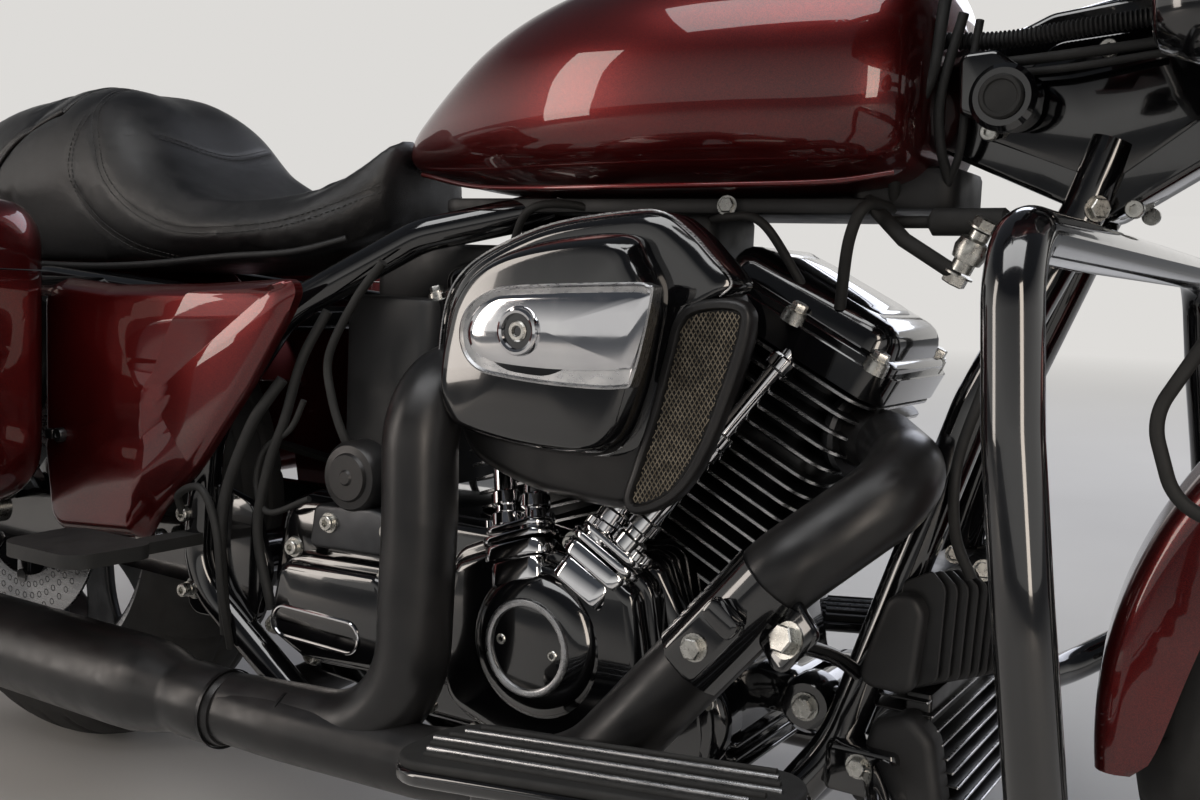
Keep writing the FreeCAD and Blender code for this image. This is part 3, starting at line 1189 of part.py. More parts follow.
shocks = []
for name, side in SIDES:
    low = Vector(40, side * 166, rear_axle_z + 44)
    high = Vector(150, side * 152, 584)
    along = high - low
    lower = cylinder("shock_lower_" + name, low, along, along.Length * 0.5, 17)
    upper = cylinder("shock_upper_" + name, low + along * 0.45, along, along.Length * 0.55, 25)
    eye = cylinder("shock_eye_" + name, Vector(low.x, side * 144, low.z - 8), AXIS_Y * side, 40, 20)
    top_eye = cylinder("shock_top_" + name, Vector(high.x, side * 120, high.z + 6), AXIS_Y * side, 44, 18)
    shocks.append(cut("shock_" + name, fuse("shock_whole_" + name, lower, upper, eye, top_eye),
                      frame, swingarm, rear_fender_body))
node("rear_shocks", *shocks)

drive_x, drive_z = 500.0, 318.0


def belt_loop(radius_rear, radius_front):
    """Wire round both pulleys."""
    span = math.hypot(drive_x, drive_z - rear_axle_z)
    lean_line = math.atan2(drive_z - rear_axle_z, drive_x)
    spread = math.asin((radius_rear - radius_front) / span)

    def on(centre, radius, angle):
        return Vector(centre.x + radius * math.cos(angle), 0, centre.z + radius * math.sin(angle))

    front_centre = Vector(drive_x, 0, drive_z)
    up = lean_line + math.pi / 2 - spread
    dn = lean_line - math.pi / 2 + spread
    edges = [Part.LineSegment(on(REAR_AXLE, radius_rear, up), on(front_centre, radius_front, up)),
             Part.Arc(on(front_centre, radius_front, up), on(front_centre, radius_front, lean_line),
                      on(front_centre, radius_front, dn)),
             Part.LineSegment(on(front_centre, radius_front, dn), on(REAR_AXLE, radius_rear, dn)),
             Part.Arc(on(REAR_AXLE, radius_rear, dn), on(REAR_AXLE, radius_rear, lean_line + math.pi),
                      on(REAR_AXLE, radius_rear, up))]
    return Part.Wire([edge.toShape() for edge in edges])


belt_low = s.pulley_offset - s.belt_width / 2 + 1
outer_loop = belt_loop(s.pulley_radius + s.clearance + s.belt_thickness,
                       s.drive_pulley_radius + s.clearance + s.belt_thickness)
inner_loop = belt_loop(s.pulley_radius + s.clearance, s.drive_pulley_radius + s.clearance)
belt_face = Part.Face(outer_loop).cut(Part.Face(inner_loop))
belt_face.translate(Vector(0, belt_low, 0))
belt = feature("belt_loop", belt_face.extrude(Vector(0, s.belt_width - 2, 0)))
drive_pulley = cylinder("drive_pulley", Vector(drive_x, belt_low, drive_z), AXIS_Y, s.belt_width - 2,
                        "sizes.drive_pulley_radius")
node("belt", belt, drive_pulley)

# Side stand on the left

foot_centre = Vector(752, 330, 330 * math.tan(lean))
leg = tube("stand_leg", [(STAND_PIVOT.x, STAND_PIVOT.y, STAND_PIVOT.z, 0),
                         (708, 216, 128, 50), (foot_centre.x, foot_centre.y, foot_centre.z + 12, 0)],
           s.stand_leg_radius)
foot = doc.addObject("PartDesign::Body", "stand_foot")
foot_sketch = sketch_on(foot, "stand_foot_outline", "XY_Plane", 0, [rounded([
    (-36, -26, 18), (36, -26, 18), (36, 26, 18), (-36, 26, 18)])])
foot_pad = foot.newObject("PartDesign::Pad", "stand_foot_pad")
foot_pad.Profile = foot_sketch
foot_pad.Length = 10
foot.Placement = Placement(foot_centre, Rotation(AXIS_X, s.lean_angle))
knuckle = cylinder("stand_knuckle", STAND_PIVOT - STAND_AXIS * 8, STAND_AXIS, 26, 17)
stand_bore = cylinder("stand_bore", STAND_PIVOT - STAND_AXIS * 40, STAND_AXIS, 80,
                      STAND_BOLT_RADIUS + s.running_clearance)
node("side_stand", cut("side_stand_bored", fuse("side_stand_whole", leg, foot, knuckle), stand_bore))

# Checks and export

doc.recompute()
failed = [item.Name for item in doc.Objects if "Invalid" in item.State or "Error" in item.State]
if failed:
    raise RuntimeError("not valid: " + ", ".join(failed))
os.makedirs("parts", exist_ok=True)
for label, item in nodes.items():
    shape = item.Shape
    if shape.isNull() or not shape.isValid() or not shape.Solids:
        raise RuntimeError("%s has no valid shape" % label)
    shape.exportStep("parts/%s.step" % label)
    box_of = shape.BoundBox
    print("%-22s %2d solids %10.0f mm3  x %6.0f %6.0f  y %5.0f %5.0f  z %5.0f %5.0f" % (
        label, len(shape.Solids), shape.Volume, box_of.XMin, box_of.XMax, box_of.YMin, box_of.YMax,
        box_of.ZMin, box_of.ZMax))
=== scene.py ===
"""Touring cruiser motorcycle, parked on its side stand: the looks that go on the CAD frame.

Shapes are worked out on the upright machine in millimetres: x forward from the rear axle, y to the
left, z up from the ground. upright() leans them and turns them into metres of the row's frame.
"""
import math

import bmesh
import bpy
import numpy as np
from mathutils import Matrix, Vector
from mathutils.bvhtree import BVHTree


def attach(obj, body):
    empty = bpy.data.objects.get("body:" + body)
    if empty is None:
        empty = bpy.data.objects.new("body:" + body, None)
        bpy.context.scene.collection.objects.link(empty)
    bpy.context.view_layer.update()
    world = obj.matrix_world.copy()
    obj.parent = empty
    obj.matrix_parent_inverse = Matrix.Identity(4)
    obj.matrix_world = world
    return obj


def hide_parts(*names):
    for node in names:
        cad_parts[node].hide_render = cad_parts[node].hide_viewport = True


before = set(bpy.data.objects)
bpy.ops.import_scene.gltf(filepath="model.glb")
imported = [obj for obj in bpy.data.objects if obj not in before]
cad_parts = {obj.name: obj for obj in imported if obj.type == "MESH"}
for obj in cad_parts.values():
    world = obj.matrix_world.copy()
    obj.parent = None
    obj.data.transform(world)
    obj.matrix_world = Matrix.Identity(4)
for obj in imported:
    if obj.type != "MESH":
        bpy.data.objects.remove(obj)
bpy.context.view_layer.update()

LEAN = math.radians(4.5)
MIDDLE_X = 762.9424
SHIFT_Y = 1040.0 * math.sin(LEAN)
SIDES = (("right", -1.0), ("left", 1.0))
BOTH_SIDES = (-1.0, 1.0)


def upright(points):
    """Row-frame metres of upright millimetres: turned about x by the lean, then moved."""
    p = np.asarray(points, float)
    y, z = p[..., 1], p[..., 2]
    cosine, sine = math.cos(LEAN), math.sin(LEAN)
    return np.stack((p[..., 0] - MIDDLE_X, y * cosine + z * sine - SHIFT_Y, z * cosine - y * sine),
                    -1) / 1000


# Camera: the photograph's place and lens. The focal length and the drop of the picture's middle below the
# horizon are in the photograph's pixels.

camera = bpy.data.objects.new("camera", bpy.data.cameras.new("camera"))
bpy.context.collection.objects.link(camera)
PHOTO_WIDTH, FOCAL = 1200.0, 1250.0
HORIZON_DROP = 200.0
camera.location = (1.445 - MIDDLE_X / 1000, -1.0 - SHIFT_Y / 1000, 0.708)
yaw, pitch = math.radians(32.0), math.atan(HORIZON_DROP / FOCAL)
look = Vector((-math.sin(yaw) * math.cos(pitch), math.cos(yaw) * math.cos(pitch), -math.sin(pitch)))
camera.rotation_euler = look.to_track_quat("-Z", "Y").to_euler()
camera.data.sensor_width = 36.0
camera.data.lens = 36.0 * FOCAL / PHOTO_WIDTH
camera.data.clip_start = 0.01
bpy.context.scene.camera = camera
bpy.context.scene.view_settings.view_transform = "Standard"


# Shader building

def linear(text):
    """Linear colour of an sRGB hex value."""
    parts = [int(text[i:i + 2], 16) / 255 for i in (1, 3, 5)]
    return [c / 12.92 if c <= 0.04045 else ((c + 0.055) / 1.055) ** 2.4 for c in parts] + [1.0]


def plug(tree, node, sockets):
    """Gives a node's sockets their values, or links them to the outputs given."""
    for name, value in sockets.items():
        if isinstance(value, bpy.types.NodeSocket):
            tree.links.new(value, node.inputs[name])
        else:
            node.inputs[name].default_value = value


def add(tree, kind, sockets=None, **settings):
    """Adds a node: settings are its properties, sockets its values or the outputs linked to them."""
    made = tree.nodes.new(kind)
    for name, value in settings.items():
        setattr(made, name, value)
    plug(tree, made, sockets or {})
    return made


def begin(name):
    """New material: its tree, its shader and its object coordinates."""
    made = bpy.data.materials.new(name)
    made.use_nodes = True
    tree = made.node_tree
    tree.nodes.clear()
    shader = add(tree, "ShaderNodeBsdfPrincipled")
    add(tree, "ShaderNodeOutputMaterial", {"Surface": shader.outputs["BSDF"]})
    place = add(tree, "ShaderNodeTexCoord").outputs["Object"]
    return made, tree, shader, place


def noise(tree, place, size_mm, detail=3.0, stretch=(1, 1, 1), rough=0.5):
    """Value of a noise whose blotches are size_mm across, stretched along some axes."""
    mapped = add(tree, "ShaderNodeMapping", {"Vector": place, "Scale": stretch})
    return add(tree, "ShaderNodeTexNoise", {"Vector": mapped.outputs[0], "Scale": 1000.0 / size_mm,
                                            "Detail": detail, "Roughness": rough}).outputs["Fac"]


def spread(tree, value, low, high, start=0.35, end=0.65):
    """A value carried from start..end to low..high."""
    return add(tree, "ShaderNodeMapRange", {"Value": value, "From Min": start, "From Max": end,
                                            "To Min": low, "To Max": high}).outputs[0]


def blend_colours(tree, factor, first, second):
    """Colour between two by a factor."""
    ends = [c if isinstance(c, bpy.types.NodeSocket) else linear(c) for c in (first, second)]
    return add(tree, "ShaderNodeMix", {0: factor, 6: ends[0], 7: ends[1]}, data_type="RGBA").outputs[2]


def finish(name, dark, light, rough, metallic=0.0, blotch_mm=60.0, grain_mm=0.0, grain_depth=0.0,
           coat=0.0, coat_rough=0.03, stretch=(1, 1, 1), wave_mm=0.0, wave_depth=0.0, rough_spread=0.06):
    """Two close colours in blotches, a roughness that varies a little, and a fine grain in relief."""
    made, tree, shader, place = begin(name)
    blotch = noise(tree, place, blotch_mm, 4.0)
    wear = noise(tree, place, blotch_mm * 0.35, 5.0, stretch)
    plug(tree, shader, {
        "Base Color": blend_colours(tree, spread(tree, blotch, 0, 1), dark, light),
        "Roughness": spread(tree, wear, max(rough - rough_spread, 0.02), rough + rough_spread),
        "Metallic": metallic, "Coat Weight": coat, "Coat Roughness": coat_rough})
    normal = None
    for size, depth in ((grain_mm, grain_depth), (wave_mm, wave_depth)):
        if size > 0:
            height = noise(tree, place, size, 2.0, stretch)
            sockets = {"Height": height, "Distance": depth / 1000, "Strength": 1.0}
            if normal is not None:
                sockets["Normal"] = normal
            normal = add(tree, "ShaderNodeBump", sockets).outputs[0]
    if normal is not None:
        tree.links.new(normal, shader.inputs["Normal"])
    return made


def candy_paint(name, deep, lit):
    """Candy lacquer: clear coat over fine metal flake, so the colour is deep with a warm sparkle."""
    made, tree, shader, place = begin(name)
    flake = add(tree, "ShaderNodeTexVoronoi", {"Vector": place, "Scale": 1000 / 0.7}).outputs["Distance"]
    cloud = noise(tree, place, 220.0, 2.0)
    tone = blend_colours(tree, spread(tree, cloud, 0, 1), deep, lit)
    peel = noise(tree, place, 9.0, 1.0)
    relief = add(tree, "ShaderNodeBump", {"Height": peel, "Distance": 0.00001, "Strength": 0.5})
    plug(tree, shader, {
        "Base Color": blend_colours(tree, spread(tree, flake, 0.25, 0.0, 0.0, 0.6), tone, "#C8402C"),
        "Roughness": spread(tree, flake, 0.24, 0.4, 0.0, 0.7), "Metallic": 0.82,
        "Coat Weight": 1.0, "Coat Roughness": 0.02, "Coat Normal": relief.outputs[0]})
    return made


def leather_skin(name, dark, light):
    """Smooth saddle vinyl: pebbled cells a millimetre wide over soft creases, satin sheen."""
    made, tree, shader, place = begin(name)
    cells = add(tree, "ShaderNodeTexVoronoi", {"Vector": place, "Scale": 1000 / 1.3},
                feature="DISTANCE_TO_EDGE").outputs["Distance"]
    crease = noise(tree, place, 34.0, 5.0, rough=0.6)
    first = add(tree, "ShaderNodeBump", {"Height": crease, "Distance": 0.0012, "Strength": 0.55})
    second = add(tree, "ShaderNodeBump", {"Height": spread(tree, cells, 0, 1, 0.0, 0.16),
                                          "Distance": 0.00012, "Strength": 0.8, "Normal": first.outputs[0]})
    # Painted shade: the colour follows the crease height, darker in the hollows and lighter on the rises
    plug(tree, shader, {"Base Color": blend_colours(tree, spread(tree, crease, 0, 1), dark, light),
                        "Roughness": spread(tree, crease, 0.3, 0.42), "Normal": second.outputs[0]})
    return made


def lens(name, colour, rough, ribs_mm=0.0):
    """Moulded lamp lens: clear tinted plastic with fine upright ribs inside."""
    made, tree, shader, place = begin(name)
    tone = noise(tree, place, 40.0, 2.0)
    plug(tree, shader, {"Base Color": blend_colours(tree, spread(tree, tone, 0, 1), *colour),
                        "Transmission Weight": 0.75, "IOR": 1.49, "Roughness": rough})
    if ribs_mm:
        rib = add(tree, "ShaderNodeTexWave", {"Vector": place, "Scale": 1000 / ribs_mm / 3.1416 / 2},
                  bands_direction="Y")
        relief = add(tree, "ShaderNodeBump",
                     {"Height": rib.outputs["Fac"], "Distance": 0.0006, "Strength": 0.7})
        tree.links.new(relief.outputs[0], shader.inputs["Normal"])
    return made


FINISHES = {
    # Lacquer over metal flake under a clear coat: deep wine red that glows and sparkles where light falls
    "paint": candy_paint("candy_red_lacquer", "#3E080D", "#5E0F12"),
    # Baked enamel on castings and tubes: near mirror black with the faint waves of sprayed paint
    "gloss": finish("gloss_black_enamel", "#060607", "#0B0B0D", 0.12, coat=1.0, wave_mm=12, wave_depth=0.02,
                    rough_spread=0.03),
    # Ceramic coat on the pipes: dark grey with a soft, broad sheen along each bend
    "satin": finish("satin_black_ceramic_coat", "#212122", "#2C2B2B", 0.34, 0.45, grain_mm=1.2,
                    grain_depth=0.03),
    # Powder coat on brackets: flat black with a fine orange-peel grain
    "powder": finish("black_powder_coat", "#0B0B0C", "#141415", 0.46, grain_mm=1.6, grain_depth=0.1),
    # Thin enamel on cast fins: black, a little rough from the sand mould
    "fins": finish("black_fin_enamel", "#0A0A0B", "#121213", 0.34, grain_mm=1.0, grain_depth=0.05),
    # Fin rims cut bare after painting: thin pale lines with cutter streaks
    "edge": finish("machined_fin_edge", "#9FA0A2", "#C6C6C6", 0.26, 1.0, blotch_mm=18, stretch=(1, 1, 12)),
    # Plated and buffed steel: clear, hard reflections of the room
    "chrome": finish("polished_chrome", "#CFCFD2", "#DEDEDF", 0.07, 1.0, rough_spread=0.03),
    # Turned and milled aluminium: light grey with a fine drawn grain
    "alloy": finish("machined_aluminium", "#9A9B9D", "#B5B5B6", 0.3, 1.0, blotch_mm=20, grain_mm=0.6,
                    grain_depth=0.02, stretch=(1, 8, 1)),
    # Sand cast aluminium, left dull: dark grey and slightly pitted
    "cast": finish("dark_cast_aluminium", "#3A3B3D", "#4C4D4F", 0.45, 0.9, grain_mm=1.5, grain_depth=0.08),
    # Zinc plate on screws and fittings: pale, slightly yellow grey, cloudy
    "zinc": finish("zinc_plated_steel", "#A4A39E", "#C2C1BC", 0.3, 1.0, blotch_mm=8),
    # Oiled black steel of clamps and hinges: dark with a dim metal sheen
    "dark_steel": finish("blackened_steel", "#2A2A2B", "#3A3A3B", 0.35, 0.9, blotch_mm=14),
    # Ground brake steel: grey with fine streaks from the grinding wheel
    "disc": finish("ground_stainless_steel", "#8C8D8F", "#A6A6A7", 0.28, 1.0, grain_mm=0.5,
                   grain_depth=0.02, stretch=(1, 1, 6)),
    # Moulded rubber of grips, mats and hoses: flat black that hardly shines
    "rubber": finish("black_rubber", "#101010", "#191918", 0.72, grain_mm=0.9, grain_depth=0.06),
    # Tyre rubber: duller and greyer than the grips, with a coarser grain
    "tyre": finish("tyre_rubber", "#131313", "#1E1D1C", 0.8, grain_mm=1.4, grain_depth=0.1, blotch_mm=90),
    # Moulded plastic covers: black with an etched grain that breaks the shine
    "plastic": finish("grained_black_plastic", "#131314", "#1B1B1C", 0.55, grain_mm=0.8, grain_depth=0.07),
    # Vinyl over foam: satin black with pebbled cells and soft creases, and painted shade that darkens the
    # crease hollows
    "leather": leather_skin("black_saddle_vinyl", "#0C0C0D", "#161516"),
    # Waxed sewing thread: charcoal, so the seams read as fine dotted lines
    "thread": finish("waxed_thread", "#242424", "#323232", 0.7, grain_mm=0.5, grain_depth=0.1),
    # Moulded acrylic lamp covers: clear or tinted, with inner ribs that break up what lies behind
    "red_lens": lens("red_lamp_lens", ("#8C0508", "#A00A0C"), 0.08, 4.0),
    "amber_lens": lens("amber_lamp_lens", ("#C25A08", "#D8700E"), 0.08, 4.0),
    "clear_lens": lens("clear_lamp_lens", ("#E8ECEE", "#F4F6F6"), 0.03),
    # Bent acrylic sheet of the windscreen: smoke grey that darkens what is behind it
    "screen": lens("smoked_screen_acrylic", ("#2C2E31", "#3A3C40"), 0.03),
    # Drawn wire of the intake screen: dull bronze against the black behind
    "wire": finish("bronzed_steel_wire", "#5F584D", "#8A8172", 0.38, 0.9, blotch_mm=9),
}
# The slot named for each finish, unless a piece's own call names another; piece() works it out and does
# nothing more with it
SLOTS = {"paint": "red", "gloss": "black_gloss", "satin": "black_satin", "fins": "black_satin",
         "edge": "steel", "chrome": "chrome", "alloy": "chrome", "cast": "rim", "zinc": "steel",
         "dark_steel": "steel", "disc": "disc", "rubber": "rubber", "tyre": "tyre",
         "plastic": "black_satin", "leather": "leather", "thread": "leather", "wire": "steel",
         "amber_lens": "amber_lens", "clear_lens": "clear_lens"}
WELD, SPECK = 2e-6, 1e-6


# Meshes from arrays

def piece(name, parts, finishes, replaces=(), body="chassis", slot=None, sharp=38.0, hold=False):
    """One object of (points, faces[, finish index]) parts in upright millimetres, riding on a body.

    finishes is one name or a list of them, and edges sharper than the angle sharp stay crisp."""
    finishes = [finishes] if isinstance(finishes, str) else finishes
    points, faces, which, at = [], [], [], 0
    for part in parts:
        v, f = part[0], part[1]
        points.append(np.asarray(v, float).reshape(-1, 3))
        faces.extend([[i + at for i in face] for face in f])
        index = part[2] if len(part) > 2 else 0
        which.extend(index if isinstance(index, list) else [index] * len(f))
        at += len(points[-1])
    mesh = bpy.data.meshes.new(name)
    mesh.from_pydata(upright(np.concatenate(points)).tolist(), [], faces)
    mesh.polygons.foreach_set("material_index", which)
    work = bmesh.new()
    work.from_mesh(mesh)
    bmesh.ops.remove_doubles(work, verts=work.verts, dist=WELD)
    bmesh.ops.dissolve_degenerate(work, edges=work.edges, dist=SPECK)
    bmesh.ops.recalc_face_normals(work, faces=work.faces)
    work.to_mesh(mesh)
    work.free()
    for key in finishes:
        mesh.materials.append(FINISHES[key])
    mesh.shade_smooth()
    mesh.set_sharp_from_angle(angle=math.radians(sharp))
    made = bpy.data.objects.new(name, mesh)
    bpy.context.collection.objects.link(made)
    slot = slot or SLOTS[finishes[0]]
    if replaces:
        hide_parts(*replaces)
    if not hold:
        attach(made, body)
    return made


def quads(index):
    """Four-sided faces between the rows and columns of an array of point numbers."""
    corners = (index[:-1, :-1], index[:-1, 1:], index[1:, 1:], index[1:, :-1])
    return np.stack(corners, -1).reshape(-1, 4).tolist()


def grid(points, ring=False, loop=False, caps=False):
    """Part from an array (rows, columns, 3); ring closes the columns, loop the rows, caps fills the ends."""
    rows, columns = points.shape[:2]
    index = np.arange(rows * columns).reshape(rows, columns)
    if ring:
        index = np.concatenate((index, index[:, :1]), 1)
    if loop:
        index = np.concatenate((index, index[:1]), 0)
    faces = quads(index)
    if caps:
        faces.append(list(range(columns))[::-1])
        faces.append(list(range((rows - 1) * columns, rows * columns)))
    return points.reshape(-1, 3), faces


def unit(v):
    """Vector or rows of vectors over their length."""
    v = np.asarray(v, float)
    return v / np.linalg.norm(v, axis=-1, keepdims=True)


def frame_of(axis, hint=(0.0, 0.0, 1.0)):
    """Two unit vectors square to an axis and to each other."""
    axis = unit(axis)
    hint = np.asarray(hint, float)
    if abs(np.dot(axis, unit(hint))) > 0.95:
        hint = np.array((1.0, 0.0, 0.0)) if abs(axis[0]) < 0.9 else np.array((0.0, 1.0, 0.0))
    across = unit(np.cross(hint, axis))
    return across, np.cross(axis, across)


def corner_arc(before, corner, after, radius, steps):
    """Arc that rounds a corner between two straight runs and touches both."""
    back, ahead = unit(before - corner), unit(after - corner)
    half = math.acos(np.clip(np.dot(back, ahead), -1, 1)) / 2
    centre = corner + unit(back + ahead) * radius / math.sin(half)
    a = corner + back * radius / math.tan(half) - centre
    b = corner + ahead * radius / math.tan(half) - centre
    turn = math.pi - 2 * half
    t = np.linspace(0, 1, steps)[:, None]
    return centre + (np.sin((1 - t) * turn) * a + np.sin(t * turn) * b) / math.sin(turn)


def bent(points, steps=10):
    """Path of straight runs and tangent bends through (x, y, z, bend radius) corners."""
    p = np.array([q[:3] for q in points], float)
    bends = [corner_arc(p[i - 1], p[i], p[i + 1], points[i][3], steps) for i in range(1, len(p) - 1)]
    return np.concatenate([p[:1]] + bends + [p[-1:]])


def eased(points, count=60):
    """Smooth path through points: a cubic whose slope at each is that between its neighbours."""
    p = np.asarray(points, float)
    slope = np.gradient(p, axis=0)
    t = np.linspace(0, len(p) - 1, count)
    i = np.minimum(t.astype(int), len(p) - 2)
    u = (t - i)[:, None]
    return ((2 * u ** 3 - 3 * u ** 2 + 1) * p[i] + (u ** 3 - 2 * u ** 2 + u) * slope[i]
            + (3 * u ** 2 - 2 * u ** 3) * p[i + 1] + (u ** 3 - u ** 2) * slope[i + 1])


def carried(path, outline, hint=None):
    """A flat outline (n, 2), or one for each station, carried along a path without twist."""
    path = np.asarray(path, float)
    ahead = unit(np.gradient(path, axis=0))
    across = np.empty_like(path)
    first = frame_of(ahead[0], (0, 0, 1) if hint is None else hint)[0]
    for i, direction in enumerate(ahead):
        first = unit(first - direction * np.dot(first, direction))
        across[i] = first
    up = np.cross(ahead, across)
    shape = np.asarray(outline, float)
    if shape.ndim == 2:
        shape = np.broadcast_to(shape, (len(path),) + shape.shape)
    return path[:, None] + shape[..., :1] * across[:, None] + shape[..., 1:] * up[:, None]


def ring_of(count, radius=1.0):
    """Circle of points."""
    a = np.linspace(0, 2 * math.pi, count, endpoint=False)
    return np.stack((np.cos(a), np.sin(a)), -1) * radius


def tube(path, radius, sides=24):
    """Round bar along a path; radius is one number or one for each station. The ends are domed shut."""
    path = np.asarray(path, float)
    radii = np.broadcast_to(np.asarray(radius, float), (len(path),))
    shape = ring_of(sides)[None] * radii[:, None, None]
    return grid(carried(path, shape), ring=True, caps=True)


def turned(profile, centre, axis, sides=48, hint=(0, 0, 1)):
    """Solid of revolution: (distance along, radius) rows turned about an axis through a centre."""
    profile = np.asarray(profile, float)
    across, up = frame_of(axis, hint)
    circle = ring_of(sides)
    rim = circle[:, :1] * across + circle[:, 1:] * up
    points = (np.asarray(centre, float) + profile[:, 0][:, None, None] * unit(axis)
              + profile[:, 1][:, None, None] * rim[None])
    closed = bool(np.allclose(profile[0], profile[-1]))
    if closed:
        return grid(points[:-1], ring=True, loop=True)
    return grid(points, ring=True, caps=profile[0][1] > 1e-6)


def round_off(points, steps=6):
    """Closed outline of (u, v, corner radius) with its corners turned into arcs."""
    out = []
    p = np.array([q[:2] for q in points], float)
    for i, radius in enumerate(q[2] for q in points):
        after = p[(i + 1) % len(p)]
        out.append(corner_arc(p[i - 1], p[i], after, radius, steps) if radius > 0 else p[i][None])
    return np.concatenate(out)


def rectangle(half_u, half_v, corner, steps=6):
    """Rectangle about its middle, by half its sides, with round corners."""
    return round_off([(-half_u, -half_v, corner), (half_u, -half_v, corner), (half_u, half_v, corner),
                      (-half_u, half_v, corner)], steps)


def run_along(path):
    """Distance from the start of a path to each of its points."""
    return np.concatenate(([0], np.cumsum(np.linalg.norm(np.diff(path, axis=0), axis=1))))


def inset(outline, amount):
    """Outline moved inwards along its own normals."""
    ahead = unit(np.roll(outline, -1, 0) - np.roll(outline, 1, 0))
    area = np.sum(outline[:, 0] * np.roll(outline[:, 1], -1) - outline[:, 1] * np.roll(outline[:, 0], -1))
    normal = np.stack((-ahead[:, 1], ahead[:, 0]), -1) * (1 if area > 0 else -1)
    return outline + normal * amount


def slab(outline, origin, u_axis, v_axis, levels):
    """Outline raised through levels (height, inset) along the normal u x v, and closed at both ends."""
    outline = np.asarray(outline, float)
    u_axis, v_axis = unit(u_axis), unit(v_axis)
    w = np.cross(u_axis, v_axis)
    rows = []
    for height, amount in levels:
        shape = inset(outline, amount) if amount else outline
        rows.append(np.asarray(origin, float) + shape[:, :1] * u_axis + shape[:, 1:] * v_axis + w * height)
    return grid(np.stack(rows), ring=True, caps=True)


def edge_levels(low, high, radius, steps=4, both=True):
    """Levels of a block whose rim is rounded: quarter circles at the top and, if both, the bottom."""
    a = np.linspace(0, math.pi / 2, steps)
    rise = [(low + radius * (1 - math.sin(t)),
             radius * (1 - math.cos(t))) for t in a[::-1]] if both else [(low, 0)]
    fall = [(high - radius * (1 - math.sin(t)), radius * (1 - math.cos(t))) for t in a]
    return rise + fall


def side_slab(outline, y_start, y_end, radius=2.0, both=False):
    """Block whose outline lies in the xz plane, from y_start out to y_end, with a rounded outer rim."""
    if y_end < y_start:
        return slab(outline, (0, y_start, 0), (1, 0, 0), (0, 0, 1),
                    edge_levels(0, y_start - y_end, radius, both=both))
    flipped = np.asarray(outline, float)[::-1] * (-1, 1)
    return slab(flipped, (0, y_start, 0), (-1, 0, 0), (0, 0, 1),
                edge_levels(0, y_end - y_start, radius, both=both))


def upright_slab(outline, y, levels):
    """Slab of an outline in the xz plane, raised to the right from y."""
    return slab(outline, (0, y, 0), (1, 0, 0), (0, 0, 1), levels)


def brick(centre, size, axes=((1, 0, 0), (0, 1, 0)), radius=2.0, corner=3.0):
    """Rounded block by its middle and its three sizes, along two given axes and their normal."""
    a, b, c = (s / 2 for s in size)
    corner = min(corner, a * 0.95, b * 0.95)
    return slab(rectangle(a, b, corner, 4), centre, axes[0], axes[1],
                edge_levels(-c, c, min(radius, c * 0.9, corner * 0.9), 3))


def hex_bolt(at, axis, radius=6.5, height=6.0, washer=True):
    """Hexagon head with chamfered corners on a plain washer, its underside at the point."""
    across, up = frame_of(axis)
    six = ring_of(6, radius)
    parts = [slab(six, at, across, up, [(0.0 if not washer else 1.6, 0), (height - 1, 0),
                                        (height, radius * 0.12)])]
    if washer:
        parts.append(turned([(0, 0), (0, radius * 1.25), (1.6, radius * 1.25), (1.6, 0)], at, axis, 20))
    return parts


def socket_screw(at, axis, radius=5.0, height=5.0):
    """Round head with a six-sided recess, its underside at the point."""
    across, up = frame_of(axis)
    count = 24
    a = np.linspace(0, 2 * math.pi, count, endpoint=False)
    circle = np.stack((np.cos(a), np.sin(a)), -1)
    reach = math.cos(math.pi / 6) / np.cos((a + math.pi / 6) % (math.pi / 3) - math.pi / 6)
    hexagon = circle * reach[:, None]
    rows = [(0, circle * radius), (height - 0.8, circle * radius), (height, circle * (radius - 0.8)),
            (height, hexagon * radius * 0.56), (height - radius * 0.55, hexagon * radius * 0.56)]
    w = np.cross(unit(across), unit(up))
    points = np.stack([np.asarray(at, float) + s[:, :1] * across + s[:, 1:] * up + w * h for h, s in rows])
    return [grid(points, ring=True, caps=True)]


def in_places(fastener, places, axis, radius, height):
    """The same bolt or screw at each of several points."""
    return [part for at in places for part in fastener(at, axis, radius, height)]


def ring_through(rows, count):
    """Closed smooth sections: rows (n, k, 2) of control points become (n, count, 2) periodic cubics."""
    p = np.asarray(rows, float)
    k = p.shape[1]
    t = np.linspace(0, k, count, endpoint=False)
    i = t.astype(int)
    u = (t - i)[None, :, None]
    a, b, c, d = (p[:, (i + j) % k] for j in (-1, 0, 1, 2))
    return 0.5 * (2 * b + (c - a) * u + (2 * a - 5 * b + 4 * c - d) * u ** 2
                  + (3 * b - a - 3 * c + d) * u ** 3)


def lofted(stations, count=96, length=90):
    """Closed body along x. stations: (x, low, high, half width, waist height, upper and lower squareness);
    each section is a superellipse whose upper and lower halves have their own height and power."""
    rows = eased(stations, length)
    a = np.linspace(0, 2 * math.pi, count, endpoint=False)
    cosine, sine = np.cos(a)[None], np.sin(a)[None]
    x, low, high, half, waist, upper, lower = (rows[:, i:i + 1] for i in range(7))
    power = np.where(sine >= 0, 2 / upper, 2 / lower)
    y = half * np.sign(cosine) * np.abs(cosine) ** (2 / np.where(sine >= 0, upper, lower))
    z = waist + np.where(sine >= 0, high - waist, waist - low) * np.sign(sine) * np.abs(sine) ** power
    return grid(np.stack((x + 0 * y, y, z), -1), ring=True, caps=True)


# Fuel tank

